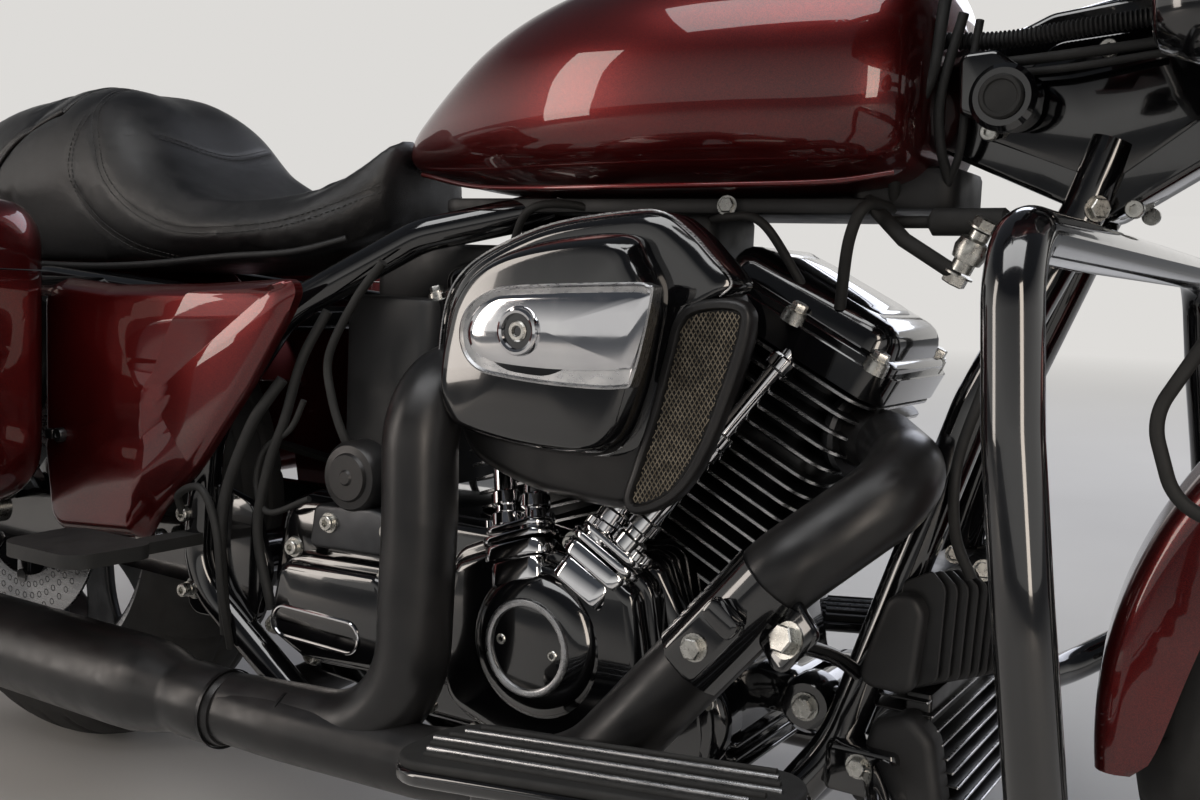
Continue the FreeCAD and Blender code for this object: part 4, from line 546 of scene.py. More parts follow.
TANK = (
    # x, low, high, half width, waist, upper squareness, lower squareness
    (563, 744, 762, 12, 753, 2.0, 2.0),
    (567, 738, 768, 26, 752, 2.0, 2.0),
    (600, 728, 798, 60, 756, 2.1, 2.2),
    (700, 712, 866, 112, 776, 2.2, 2.5),
    (800, 708, 902, 144, 788, 2.3, 2.7),
    (900, 708, 916, 158, 794, 2.3, 2.8),
    (990, 709, 915, 155, 796, 2.3, 2.8),
    (1070, 712, 908, 140, 798, 2.3, 2.8),
    (1114, 720, 894, 118, 800, 2.3, 2.5),
    (1128, 736, 876, 92, 804, 2.2, 2.3),
    (1132, 758, 852, 58, 806, 2.0, 2.0),
)
DOOR_X, TANK_TOP = 905.0, 916.0
tank_parts = [lofted(TANK, 128, 150)]
tank_parts.append(turned([(-50, 64), (0, 66), (2.5, 65), (4, 62), (4, 54), (-12, 52), (-12, 0)],
                         (DOOR_X + 6, 0, TANK_TOP), (0, 0, 1), 64))
piece("tank_shell", tank_parts, "paint", ["fuel_tank"], sharp=50)
seam = np.array([(x, low + 5, half) for x, low, high, half, waist, up, lo in TANK[2:9]])
for name, side in SIDES:
    path = eased([(x, side * half * 0.80, z - 1.0) for x, z, half in seam], 50)
    piece("tank_seam_" + name, [tube(path, 2.6, 10)], "paint")
ears = [brick((DOOR_X + 56, sd * 27, TANK_TOP + 8), (12, 8, 16), radius=2) for sd in (-1, 1)]
piece("tank_neck", ears + [turned([(-30, 2.5), (30, 2.5)], (DOOR_X + 56, 0, TANK_TOP + 10), (0, 1, 0), 16),
                           turned([(-20, 30), (-10, 30), (-10, 22), (-20, 22), (-20, 30)],
                                  (DOOR_X, 0, TANK_TOP), (0, 0, 1))], "gloss")
door_bolts = []
for i in range(6):
    a = math.radians(60 * i + 30)
    door_bolts += socket_screw((DOOR_X + 38 * math.cos(a), 38 * math.sin(a), TANK_TOP + 5), (0, 0, 1), 3, 3)
piece("fuel_door_screws", door_bolts, "zinc", body="tank_door")

# Engine: vee of two finned cylinders on a crankcase

CRANK = np.array((850.0, 0.0, 250.0))
VEE = {"front": math.radians(4.5 + 22.5), "rear": math.radians(4.5 - 22.5)}


def on_barrel(place, up, along, out):
    """Point at a height on a cylinder's axis, so far along the machine and so far to the left."""
    a = VEE[place]
    return (CRANK + np.array((math.sin(a), 0, math.cos(a))) * up
            + np.array((math.cos(a), 0, -math.sin(a))) * along + np.array((0, out, 0)))


def barrel_axes(place):
    """Unit vectors along and up a cylinder; y is the third."""
    a = VEE[place]
    return np.array((math.cos(a), 0, -math.sin(a))), np.array((math.sin(a), 0, math.cos(a)))


def barrel_slab(place, height, outline, levels):
    """Slab square to a cylinder's axis, its outline about the axis at a height."""
    return slab(outline, on_barrel(place, height, 0, 0), barrel_axes(place)[0], (0, 1, 0), levels)


FIN_CORNER = 26


def fin(place, low, half_length, half_width, thick=3.4):
    """One cooling fin: black faces, and a machined rim as its own finish."""
    outline = rectangle(half_length, half_width, FIN_CORNER)
    v, f = barrel_slab(place, low, outline, [(0, 0.7), (0.5, 0), (thick - 0.5, 0), (thick, 0.7)])
    side = len(outline)
    rim = [1 if side <= i < 2 * side else 0 for i in range(len(f))]
    return v, f, rim


def in_valley(part, place, spare=0.5):
    """Points past the vee's middle plane are pulled back onto it, as the castings there are cut short."""
    v = np.array(part[0], float)
    mid = math.radians(4.5)
    normal = np.array((math.cos(mid), 0, -math.sin(mid)))
    d = (v - CRANK) @ normal
    over = np.minimum(d - spare, 0) if place == "front" else np.maximum(d + spare, 0)
    return (v - over[:, None] * normal,) + tuple(part[1:])


BARREL_FINS, BARREL_FIN_STEP = 11, 14.2
HEAD_FINS, HEAD_FIN_STEP = 5, 15.5
cylinder_parts = []
for place in VEE:
    stack = [fin(place, 145 + i * BARREL_FIN_STEP, 92, 84) for i in range(BARREL_FINS)]
    stack += [fin(place, 304 + i * HEAD_FIN_STEP, 96, 88) for i in range(HEAD_FINS)]
    stack.append(barrel_slab(place, 140, rectangle(66, 58, 30), [(0, 0), (232, 0)]))
    stack.append(barrel_slab(place, 289, rectangle(82, 74, 24), [(0, 0), (10, 0)]))
    cylinder_parts += [in_valley(part, place) for part in stack]
piece("finned_cylinders", cylinder_parts, ["fins", "edge"], ["cylinders"], slot="fins", sharp=30)

rocker_black, rocker_bright, rocker_bolts = [], [], []
for place in VEE:
    up = barrel_axes(place)[1]
    rocker_bright.append(barrel_slab(place, 372, rectangle(98, 88, 26),
                                     [(0, 3), (0, 1.0), (1, 0), (25, 0), (26, 1), (26, 3)]))
    rocker_black.append(barrel_slab(place, 398, rectangle(93, 84, 24), [(0, 0), (6, 0), (9, 3), (10, 8)]))
    rocker_black.append(barrel_slab(place, 404, rectangle(86, 76, 26),
                                    [(0, 0), (14, 3), (20, 6), (25, 11), (28, 18), (28.5, 30)]))
    rocker_black.append(barrel_slab(place, 430, rectangle(52, 50, 18), [(0, 0), (3, 1), (4.5, 4)]))
    for u, w in ((-80, -78), (0, -82), (80, -78), (-80, 78), (0, 82), (80, 78)):
        rocker_bolts += hex_bolt(on_barrel(place, 406, u, w), up, 7.0, 8.0)
        rocker_bolts.append(turned([(-2, 11), (8, 10), (8, 0)], on_barrel(place, 398, u, w), up, 20))
piece("rocker_boxes", rocker_black, "gloss", ["rocker_covers"])
piece("rocker_strips", rocker_bright, "gloss")
piece("rocker_bolts", rocker_bolts, "zinc")

chrome_tubes, collars = [], []
for place, middle, reaches in (("front", 58, (-36, 12)), ("rear", -32, (-14, 34))):
    feet = [np.array((845.0 + middle + spread_at, -152, 404)) for spread_at in (-15, 15)]
    heads = [on_barrel(place, 376, reach_at, -80) for reach_at in reaches]
    for foot, head in zip(feet, heads):
        line = head - foot
        chrome_tubes.append(tube(foot + line * np.linspace(0, 1, 12)[:, None],
                                 np.interp(np.linspace(0, 1, 12), (0, 0.52, 0.56, 1), (10.5, 10.5, 8, 8)),
                                 24))
        for at, r in ((0.04, 15), (0.13, 13.5), (0.5, 12.5), (0.56, 12.5), (0.93, 13)):
            collars.append(turned([(-7, 0), (-7, r - 2), (-5, r), (5, r), (7, r - 2), (7, 0)],
                                  foot + line * at, line, 28))
    lean = unit(sum(heads) - sum(feet))
    wide_v = unit(np.array((0, 1, 0)) - lean * lean[1])
    wide_u = np.cross(wide_v, lean)
    block = np.array((845.0 + middle, -153, 398))
    plate = rectangle(34, 17, 14)
    for low, high, grow in ((-40, -19, -5), (-18, -4, 1), (-2, 5, 2.5), (8, 14, -1)):
        collars.append(slab(plate * (1 + grow / 34), block + lean * low, wide_u, wide_v,
                            edge_levels(0, high - low, 2, 3)))
    for u in (-26, 26):
        for w in (-10, 9):
            collars += socket_screw(block + wide_u * u + wide_v * w + lean * 14, lean, 5, 7)
piece("pushrod_covers", chrome_tubes + collars, "chrome", ["pushrod_tubes"])

# Crankcase and gearbox castings, with their mounts

CASE_EDGE = [(640, 205, 40), (720, 168, 60), (960, 160, 70), (1010, 230, 90), (985, 330, 60),
             (940, 402, 30), (690, 402, 40), (500, 404, 40), (478, 300, 50), (500, 212, 40)]
RIGHT_EDGE = [(600, 240, 30), (650, 204, 20), (985, 204, 24), (1008, 246, 60), (985, 330, 60),
              (940, 400, 30), (690, 400, 40), (502, 402, 36), (484, 310, 30), (500, 268, 14),
              (580, 268, 20)]
LEFT_EDGE = [(596, 240, 20), (650, 204, 20), (985, 204, 24), (1008, 246, 60), (985, 330, 60),
             (940, 400, 30), (598, 400, 20)]
casting = [upright_slab(round_off(CASE_EDGE, 8), 84, edge_levels(0, 196, 4)),
           side_slab(round_off(RIGHT_EDGE, 8), -108, -138, 14),
           side_slab(round_off(LEFT_EDGE, 8), 82, 138, 14),
           side_slab(round_off(RIGHT_EDGE, 8), -80, -110, 2),
           turned([(0, 52), (8, 51), (13, 46), (15, 36), (15, 0)], (962, -122, 262), (0, -1, 0), 56),
           brick((790, -124, 191), (60, 24, 26), radius=3, corner=6),
           brick((790, 124, 191), (60, 24, 26), radius=3, corner=6),
           brick((440, 0, 320), (120, 116, 36), radius=8, corner=14)]
for z in (214, 226, 238):
    casting.append(brick((994, 0, z), (30, 200, 4), radius=1.5, corner=4))
piece("engine_castings", casting, "gloss", ["engine_cases"], sharp=50)
piece("front_mount", [brick((1010, 0, 272), (56, 76, 40), radius=8, corner=12),
                      turned([(-58, 0), (-58, 20), (-52, 25), (-30, 26), (-30, 19), (30, 19), (30, 26),
                              (52, 25), (58, 20), (58, 0)],
                             (1052, 0, 272), (0, 1, 0), 40),
                      brick((1080, -40, 272), (34, 14, 34), radius=4, corner=8),
                      brick((1080, 40, 272), (34, 14, 34), radius=4, corner=8)], "gloss")
mount_bolts = hex_bolt((1052, -58, 272), (0, -1, 0), 10, 9) + hex_bolt((1052, 58, 272), (0, 1, 0), 10, 9)
case_foot = [(x, -137, z) for x, z in ((702, 216), (760, 210), (880, 210), (1000, 286))]
mount_bolts += in_places(socket_screw, case_foot, (0, -1, 0), 6, 7)
mount_bolts += in_places(hex_bolt, [(780, -124, 178), (800, -124, 178)], (0, 0, -1), 7, 6)
piece("casting_bolts", mount_bolts, "zinc")
piece("drive_shaft", [turned([(0, 0), (0, 18), (30, 18), (30, 14), (44, 14), (44, 0)], (500, 76, 318),
                             (0, 1, 0), 32)], "dark_steel")

# Cam cover, its round cover and screws

CAM_X, CAM_Z = 845.0, 313.0
CASE_FACE = -138.0
CAM = [(738, 232, 40), (820, 206, 50), (930, 210, 50), (968, 290, 70), (950, 378, 30), (905, 408, 24),
       (862, 394, 20), (800, 404, 24), (742, 380, 30), (722, 310, 50)]
cam = round_off(CAM, 8)
cam_parts = [side_slab(cam, CASE_FACE, -156, 5), side_slab(inset(cam, 9), -155, -172, 12)]
cam_parts.append(turned([(0, 66), (4, 65), (9, 61), (14, 54), (17, 44), (17, 0)], (CAM_X, -168, CAM_Z),
                        (0, -1, 0), 72))
piece("cam_cover_casting", cam_parts, "gloss", ["cam_cover"])
piece("cam_round_ring", [turned([(5, 43.5), (7.4, 42.5), (8, 40), (7, 37), (5, 36), (2, 36), (2, 43.5),
                                 (5, 43.5)],
                                (CAM_X, -180, CAM_Z), (0, -1, 0), 72),
                         turned([(2, 19), (4.2, 19), (4.6, 18.4), (4.6, 17), (4.2, 16.4), (2, 16.4),
                                 (2, 19)],
                                (CAM_X, -180, CAM_Z), (0, -1, 0), 64)], "alloy")
piece("cam_round_face", [turned([(0, 37), (3.6, 36.6), (4.0, 34), (4.0, 0)], (CAM_X, -180, CAM_Z),
                                (0, -1, 0), 64)], "satin")
screws = []
for x, z in ((817, 387), (870, 405), (922, 382), (776, 325), (776, 249), (826, 224), (924, 228),
             (955, 300)):
    screws += socket_screw((x, -157, z), (0, -1, 0), 6.5, 7)
    screws.append(turned([(0, 9.5), (2, 9), (2, 0)], (x, -155, z), (0, -1, 0), 24))
screws += in_places(socket_screw, [(818, -183, 316), (872, -183, 311)], (0, -1, 0), 4.8, 3)
piece("cam_cover_screws", screws, "zinc")

# Transmission side cover: a block with a slot-shaped pocket under a bright rim

body = round_off([(503, 262, 24), (560, 238, 20), (668, 243, 24), (684, 300, 26), (668, 350, 22),
                  (524, 346, 26)], 6)
pocket = round_off([(521, 262, 17), (640, 260, 17), (640, 294, 17), (524, 296, 17)], 8)
piece("gearbox_cover", [side_slab(body, CASE_FACE, -156, 5), side_slab(inset(body, 7), -155, -170, 8)],
      "gloss", ["transmission_cover"], slot="black_satin")
piece("gearbox_cover_rim", [upright_slab(pocket, -168,
                                         [(0, 0), (3.5, 0), (4.2, 0.8), (4.2, 2.4), (1.2, 3.2)])], "chrome")
piece("gearbox_cover_panel", [upright_slab(inset(pocket, 3), -168, [(0, 0), (2.2, 0), (2.6, 5)])], "gloss",
      slot="black_satin")
piece("starter_end", [turned([(0, 36), (20, 35), (25, 31), (26, 24), (29, 22), (29, 8), (31, 6), (31, 0)],
                             (614, CASE_FACE, 432), (0, -1, 0), 56)], "satin")
piece("gearbox_bracket", [side_slab(round_off([(560, 356, 8), (676, 360, 8), (684, 396, 10), (640, 404, 10),
                                               (566, 400, 10)]), CASE_FACE, -160, 4)], "cast",
      slot="black_satin")
screws = []
for x, z, y in ((588, 384, -160), (665, 386, -160), (538, 352, -157), (676, 262, -157), (512, 268, -157),
                (566, 246, -157), (660, 340, -157)):
    screws += socket_screw((x, y, z), (0, -1, 0), 7.5, 7)
    screws.append(turned([(0, 11), (2.5, 10), (2.5, 0)], (x, y + 1, z), (0, -1, 0), 24))
piece("gearbox_screws", screws, "zinc")

# Air cleaner: satin body, gloss shell with a bright edge, domed cover, chrome insert and a slanted mesh panel


def smooth_loop(points, count=120):
    """Closed cubic through (x, z) points."""
    return ring_through(np.asarray(points, float)[None], count)[0]


def domed(outline, y_start, rise, crown, rows=16, roll=7.0, relief=None):
    """Cover over an outline in the xz plane: a straight wall rises and rolls over by a quarter sine, and the
    face swells to its middle as 1 - (1 - k)^2, where k runs to the middle. relief(x, z) adds to the face."""
    middle = outline.mean(0)
    rings = [np.stack((outline[:, 0], np.full(len(outline), y_start), outline[:, 1]), -1)]
    for k in np.concatenate((np.linspace(0, 0.12, 6), np.linspace(0.18, 0.985, rows))):
        shape = middle + (outline - middle) * (1 - k)
        over = math.sin(min(k / 0.12, 1) * math.pi / 2)
        height = rise - roll * (1 - over) + crown * (1 - (1 - k) ** 2)
        if relief is not None:
            height = height + relief(shape[:, 0], shape[:, 1]) * over
        rings.append(np.stack((shape[:, 0], y_start - height + 0 * shape[:, 0], shape[:, 1]), -1))
    return grid(np.stack(rings), ring=True, caps=True)


BODY = [(766, 502), (757, 549), (764, 602), (818, 650), (868, 670), (935, 674), (985, 660), (1012, 634),
        (1021, 620), (1020, 606), (1009, 562), (990, 506), (968, 462), (956, 450), (932, 446), (851, 452),
        (795, 468), (776, 482)]
SHELL = [(752, 540), (750, 567), (757, 609), (776, 636), (812, 657), (867, 676), (938, 686), (968, 685),
         (990, 672), (1008, 656), (1029, 634), (1020, 622), (1000, 612), (990, 580), (975, 520), (948, 488),
         (897, 482), (849, 485), (797, 493), (768, 506)]
FACE = [(776, 584), (784, 610), (803, 634), (838, 652), (893, 664), (948, 667), (965, 650), (978, 623),
        (973, 582), (966, 548), (956, 518), (943, 500), (927, 492), (897, 490), (849, 492), (797, 500),
        (780, 509), (770, 532), (771, 558)]
MESH = [(993, 600), (1009, 610), (1037, 611), (1040, 598), (1030, 561), (1010, 505), (987, 470), (956, 456),
        (962, 484), (974, 523), (986, 574)]
RECESS = [(804, 586), (811, 604), (830, 617), (858, 624), (959, 630), (980, 629), (985, 620), (972, 560),
          (959, 549), (903, 547), (846, 550), (822, 555), (808, 568)]
INSERT = [(812, 586), (820, 602), (836, 613), (862, 617), (950, 622), (979, 622), (982, 614), (971, 572),
          (959, 564), (903, 560), (850, 561), (828, 565), (816, 573)]
piece("air_cleaner_body", [domed(smooth_loop(BODY), -150, 48, 3, roll=14)], "satin", ["air_cleaner_cover"],
      slot="black_gloss", sharp=60)
piece("air_cleaner_shell", [domed(smooth_loop(SHELL), -160, 42, 2, roll=8)], "gloss", sharp=60)
piece("air_cleaner_face", [domed(smooth_loop(FACE), -190, 40, 8, roll=14)], "gloss", sharp=70)
edges = []
for loop_points, y in ((SHELL[:12], -197.5), (FACE[11:] + FACE[:3], -204.0)):
    line = eased(np.array([(x, y, z) for x, z in loop_points]), 70)
    edges.append(tube(line, 1.0, 8))
piece("air_cleaner_edges", edges, "edge")
outer, inner = smooth_loop(RECESS), smooth_loop(INSERT)
middle = inner.mean(0)
rows = [(outer, -226.0), (outer, -239.5), (inset(outer, 1.5), -240.2), (inset(outer, 3.2), -238.0),
        (inner, -237.0)]
rings = [np.stack((q[:, 0], np.full(len(q), y), q[:, 1]), -1) for q, y in rows]
piece("air_insert_recess", [grid(np.stack(rings), ring=True, caps=True)], "alloy")
piece("air_insert_panel", [domed(inner, -234, 7.5, 3.5, 18, 2.5,
                                 lambda x, z: -0.0022 * (z - middle[1]) ** 2)], "chrome", sharp=60)
piece("air_insert_boss", [turned([(-8, 20), (0, 20), (3.4, 18.5), (4.2, 16.5), (3.2, 14.5), (-2, 13.5),
                                  (-3, 11), (-3, 0)],
                                 (868, -245.5, 588), (0, -1, 0), 56)], "chrome")
piece("air_boss_well", [turned([(0, 14.4), (0.8, 14), (0.8, 0)], (868, -245.4, 588), (0, -1, 0), 40)],
      "gloss")
piece("air_screw", [turned([(0, 8.4), (3, 8.4), (4.4, 7.2), (4.4, 4.6), (1, 3.6), (1, 0)], (868, -244, 588),
                           (0, -1, 0), 36)], "zinc")
grille = smooth_loop(MESH)
piece("air_grille_frame", [upright_slab(grille, -192,
                                        [(0, -9), (10, -9), (13, -7.5), (14, -5), (14, -2), (12, -0.6),
                                         (6, 0.4)])], "satin", sharp=50)


def inside(points, outline):
    """Which (n, 2) points lie inside a closed outline: odd crossings of a ray."""
    a, b = outline, np.roll(outline, -1, 0)
    x, y = points[:, :1], points[:, 1:]
    with np.errstate(divide="ignore", invalid="ignore"):
        cross = ((a[:, 1] > y) != (b[:, 1] > y)) & (
            x < (b[:, 0] - a[:, 0]) * (y - a[:, 1]) / (b[:, 1] - a[:, 1]) + a[:, 0])
    return cross.sum(1) % 2 == 1


def woven(outline, place, pitch, wire, angle):
    """Wire mesh that fills a flat outline: two sets of slanted wires, cut where they leave it."""
    parts = []
    low, high = outline.min(0), outline.max(0)
    reach = np.linalg.norm(high - low)
    middle = (low + high) / 2
    for turn in (angle, -angle):
        d = np.array((math.cos(turn), math.sin(turn)))
        n = np.array((-d[1], d[0]))
        for k in range(int(-reach / pitch / 2), int(reach / pitch / 2) + 1):
            t = np.linspace(-reach / 2, reach / 2, 160)
            line = middle + n * k * pitch + d * t[:, None]
            keep = inside(line, outline)
            if keep.sum() < 3:
                continue
            span = line[keep]
            ends = np.stack((span[0], span[-1]))
            parts.append(tube(place(ends), wire, 5))
    return parts


piece("air_grille_mesh", woven(inset(grille, 0.5),
                               lambda q: np.stack((q[:, 0], 0 * q[:, 0] - 203.5, q[:, 1]), -1), 3.4, 0.55,
                               math.radians(58)), "wire")
piece("air_grille_back", [upright_slab(grille, -200, [(0, 0), (0.8, 0)])], "plastic")

# Exhaust: headers under slotted shields, joints and long mufflers

MUFFLER_Y, MUFFLER_Z, MUFFLER_FRONT, MUFFLER_END = 250.0, 212.0, 556.0, -274.0
front_run = bent([(1068, -44, 512, 0), (1110, -60, 508, 14), (1164, -150, 494, 50), (1088, -210, 422, 60),
                  (926, -220, 228, 110), (780, -238, MUFFLER_Z, 110), (620, -MUFFLER_Y, MUFFLER_Z, 200),
                  (MUFFLER_FRONT, -MUFFLER_Y, MUFFLER_Z, 0)], 16)
rear_run = bent([(744, -66, 546, 0), (750, -222, 536, 58), (756, -226, 262, 90), (690, -234, 226, 0)], 18)
reach = run_along(front_run)
piece("front_header_pipe", [tube(front_run, np.interp(reach, (0, 90, 130), (26, 27, 31)), 40)], "satin",
      ["front_header"])
shield = bent([(748, -150, 540, 0), (752, -224, 534, 60), (757, -226, 420, 90), (754, -228, 222, 96),
               (520, -250, 212, 0)], 18)
piece("rear_header_shield", [tube(rear_run, 27.6, 32), tube(shield, 33.0, 40)], "satin", ["rear_header"])
ports = []
for place in VEE:
    run = front_run if place == "front" else rear_run
    ports.append(turned([(4, 0), (4, 34), (8, 37), (14, 37), (17, 34), (17, 0)], run[0], run[1] - run[0],
                        32))
piece("port_flanges", ports, "cast", slot="black_satin")
SHELL_RADIUS = 47.0
for name, side, front in (("right", -1, MUFFLER_FRONT), ("left", 1, 420.0)):
    length = front - MUFFLER_END
    profile = [(0, 0), (0, 33), (-8, 36), (-56, 36.5), (-64, 35), (-72, 36), (-96, 42), (-124, 46.4),
               (-150, SHELL_RADIUS), (-length * 0.55, SHELL_RADIUS),
               (-length * 0.55 - 1, SHELL_RADIUS - 1.4), (-length * 0.55 - 3, SHELL_RADIUS - 1.4),
               (-length * 0.55 - 4, SHELL_RADIUS), (-length + 64, SHELL_RADIUS),
               (-length + 62, SHELL_RADIUS - 1.6), (-length + 58, SHELL_RADIUS - 1.6),
               (-length + 56, SHELL_RADIUS), (-length + 4, SHELL_RADIUS), (-length, SHELL_RADIUS - 1.6),
               (-length + 3, SHELL_RADIUS - 4), (-length + 90, SHELL_RADIUS - 4.5), (-length + 90, 0)]
    piece("muffler_shell_" + name, [turned(profile, (front, side * MUFFLER_Y, MUFFLER_Z), (1, 0, 0), 72)],
          "satin", ["muffler_" + name])
    piece("muffler_core_" + name, [turned([(0, 0), (0, 30), (2, 30), (2, 22), (-30, 20), (-30, 0)],
                                          (MUFFLER_END + 92, side * MUFFLER_Y, MUFFLER_Z), (-1, 0, 0), 40)],
          "dark_steel", slot="black_satin")
left_link = bent([(420, MUFFLER_Y, MUFFLER_Z, 0), (470, MUFFLER_Y, MUFFLER_Z - 14, 44),
                  (474, -196, 168, 44), (606, -248, MUFFLER_Z - 2, 0)], 12)
piece("crossover_pipe", [tube(left_link, 22, 28)], "satin")


def band(at, axis, radius, width, thick=2.4, screw=None):
    """Clamp band round a pipe, with two ears and a bolt where screw points."""
    parts = [turned([(-width / 2, radius), (-width / 2, radius + thick), (width / 2, radius + thick),
                     (width / 2, radius), (-width / 2, radius)], at, axis, 40)]
    if screw is not None:
        side = unit(np.array(screw) - unit(axis) * np.dot(screw, unit(axis)))
        across = np.cross(unit(axis), side)
        for s in (-1, 1):
            parts.append(brick(np.asarray(at) + side * (radius + 8) + across * s * 5, (width, 18, 3),
                               (unit(axis), side), 1, 2))
        parts.append(tube(np.array([np.asarray(at) + side * (radius + 9) + across * k for k in (-16, 16)]),
                          3.4, 12))
        parts += hex_bolt(np.asarray(at) + side * (radius + 9) - across * 7, -across, 6.5, 7)
    return parts


clamps = band((548, -250, 212), (1, 0, 0), 36.6, 4, 1.2) + band((630, -243, 214), (1, -0.06, -0.02), 33.2,
        3, 1.0)
clamps += band((440, MUFFLER_Y, MUFFLER_Z - 4), (1, 0, 0), 24, 14, screw=(0, 0.3, -1))
piece("exhaust_clamps", clamps, "dark_steel")

# Heat shield bracket and its bolt on the front pipe

station = np.array((1042.0, -212.0, 368.0))
near = np.argmin(np.linalg.norm(front_run - station, axis=1))
pipe_axis = unit(front_run[near + 1] - front_run[near - 1])
out = unit(np.cross(pipe_axis, np.cross((0.2, -1.0, 0.25), pipe_axis)))
across = np.cross(pipe_axis, out)
shield_arc = []
mid_at = front_run[near] + pipe_axis * 42
lengthwise = np.linspace(-52, 44, 16)
for t in lengthwise:
    a = np.linspace(-1.15, 1.15, 18)[:, None]
    shield_arc.append(mid_at + pipe_axis * t + (np.cos(a) * out + np.sin(a) * across) * 33.5)
arc = np.stack(shield_arc)
back = arc - (arc - (mid_at + pipe_axis * lengthwise[:, None])[:, None]) * 0.05
wall = np.concatenate((arc, back[:, ::-1]), 1)
plate_parts = [grid(wall, ring=True, caps=True)]
plate_parts.append(brick(mid_at + out * 38 + pipe_axis * 8, (66, 34, 8), (pipe_axis, across), 2.5, 8))
plate_parts.append(brick(mid_at + out * 42 - pipe_axis * 16, (18, 30, 12), (pipe_axis, across), 3, 6))
ear_at = front_run[near] + pipe_axis * 6
ear_out = unit(np.cross(pipe_axis, np.cross((0.9, -0.4, -0.2), pipe_axis)))
ear_face = np.cross(ear_out, pipe_axis)
ear_face = ear_face if ear_face[1] < 0 else -ear_face
plate_parts.append(brick(ear_at + ear_out * 42, (46, 40, 8), (pipe_axis, ear_out), 2.5, 8))
plate_parts.append(tube(eased([ear_at + ear_out * 50, (1106, -140, 346), (1115, -92, 318)], 20), 6, 14))
piece("header_bracket", plate_parts, "gloss")
piece("header_bracket_bolt", hex_bolt(mid_at + out * 42 + pipe_axis * 16, out, 8.5, 9)
      + hex_bolt(ear_at + ear_out * 48 + ear_face * 4, ear_face, 11, 10), "zinc")

# Frame: tubes, backbone, neck and plates

RAIL_Y, ARM_OUT = 140.0, 140.0
wide = ARM_OUT + 17 + 3
frame_parts = []
for side in BOTH_SIDES:
    frame_parts.append(tube(bent([(1262, side * 26, 752, 0), (1246, side * 34, 700, 80),
                                  (1180, side * 62, 545, 120), (1098, side * 96, 262, 120),
                                  (1040, side * RAIL_Y, 176, 90), (560, side * RAIL_Y, 170, 90),
                                  (400, side * wide, 302, 80), (414, side * wide, 462, 120),
                                  (508, side * 146, 588, 120), (640, side * 96, 668, 90),
                                  (760, side * 40, 700, 0)], 14), 17, 28))
    frame_parts.append(tube(bent([(500, side * 146, 580, 0), (330, side * 134, 596, 160),
                                  (110, side * 126, 610, 160), (-120, side * 122, 604, 0)], 12), 16, 24))
    frame_parts.append(side_slab(round_off([(368, 254, 20), (474, 258, 20), (494, 320, 30), (470, 386, 30),
                                            (382, 410, 20)]), side * 140.3, side * 149.3, 2))
for x, z in ((1042, 178), (566, 172), (500, 580)):
    frame_parts.append(tube([(x, -RAIL_Y, z), (x, RAIL_Y, z)], 13, 20))
frame_parts.append(tube(bent([(1340, 0, 862, 0), (1230, 0, 838, 120), (900, 0, 742, 120), (700, 0, 690, 0)],
                             12), 22, 28))
RAKE = math.radians(26.0)
STEER_UP = np.array((-math.sin(RAKE), 0, math.cos(RAKE)))


def steer_at(z):
    """Point of the steering axis at a height."""
    return np.array((1795.0 - z * math.tan(RAKE), 0, z))


head_length = 160 / math.cos(RAKE)
frame_parts.append(turned([(0, 14.2), (0, 33), (3, 35), (16, 35), (20, 31), (head_length - 20, 31),
                           (head_length - 16, 35), (head_length - 3, 35), (head_length, 33),
                           (head_length, 14.2), (0, 14.2)], steer_at(770), STEER_UP, 40))
neck = round_off([(1118, 752, 20), (1262, 690, 16), (1392, 776, 12), (1366, 872, 20), (1210, 852, 30),
                  (1112, 806, 24)])
frame_parts.append(upright_slab(neck, 30, edge_levels(0, 60, 5)))
web = round_off([(1150, 762, 16), (1262, 720, 12), (1340, 780, 12), (1330, 838, 14), (1216, 828, 20)])
for y in (-30, 34):
    frame_parts.append(upright_slab(web, y, [(0, 0), (3, 0), (4, 1.5)]))
stand_axis = unit((-0.310, 0.941, 0.136))
stand_pivot = np.array((690.0, 176, 164))
frame_parts.append(turned([(-34, 7), (19, 7), (19, 12), (26, 12), (26, 0)], stand_pivot, stand_axis, 20))
piece("frame_tubes", frame_parts, "gloss", ["frame"])
neck_bolts = []
for x, y, z in ((1283, -37, 700), (1171, -37, 760), (1256, -37, 820), (1330, -37, 850)):
    neck_bolts += socket_screw((x, y, z), (0, -1, 0), 7, 7)
    neck_bolts += socket_screw((x, -y, z), (0, 1, 0), 7, 7)
piece("neck_bolts", neck_bolts, "zinc")

# Engine guard: one bent tube with pinched ends and clamped to the downtubes

GUARD_X, GUARD_HALF, GUARD_TOP, GUARD_LOW = 1285.0, 398.0, 664.0, 252.0
half_loop = [(1140, 110, GUARD_LOW, 0), (1206, 270, GUARD_LOW + 6, 90),
             (GUARD_X + 35, GUARD_HALF * 0.985, 326, 70), (GUARD_X + 18, GUARD_HALF + 6, 470, 300),
             (GUARD_X + 6, GUARD_HALF + 2, 560, 200), (GUARD_X - 4, GUARD_HALF - 8, GUARD_TOP, 46)]
loop = [(x, -y, z, r) for x, y, z, r in half_loop] + half_loop[::-1]
guard_parts = [tube(bent(loop, 16), 16, 36)]
for side in (-1, 1):
    guard_parts.append(brick((1126, side * 104, GUARD_LOW), (60, 44, 40), radius=5, corner=8))
guard_parts.append(brick((1256, 0, GUARD_TOP), (62, 68, 24), radius=4, corner=8))
piece("engine_guard_tube", guard_parts, "gloss", ["engine_guard"])
guard_bolts = []
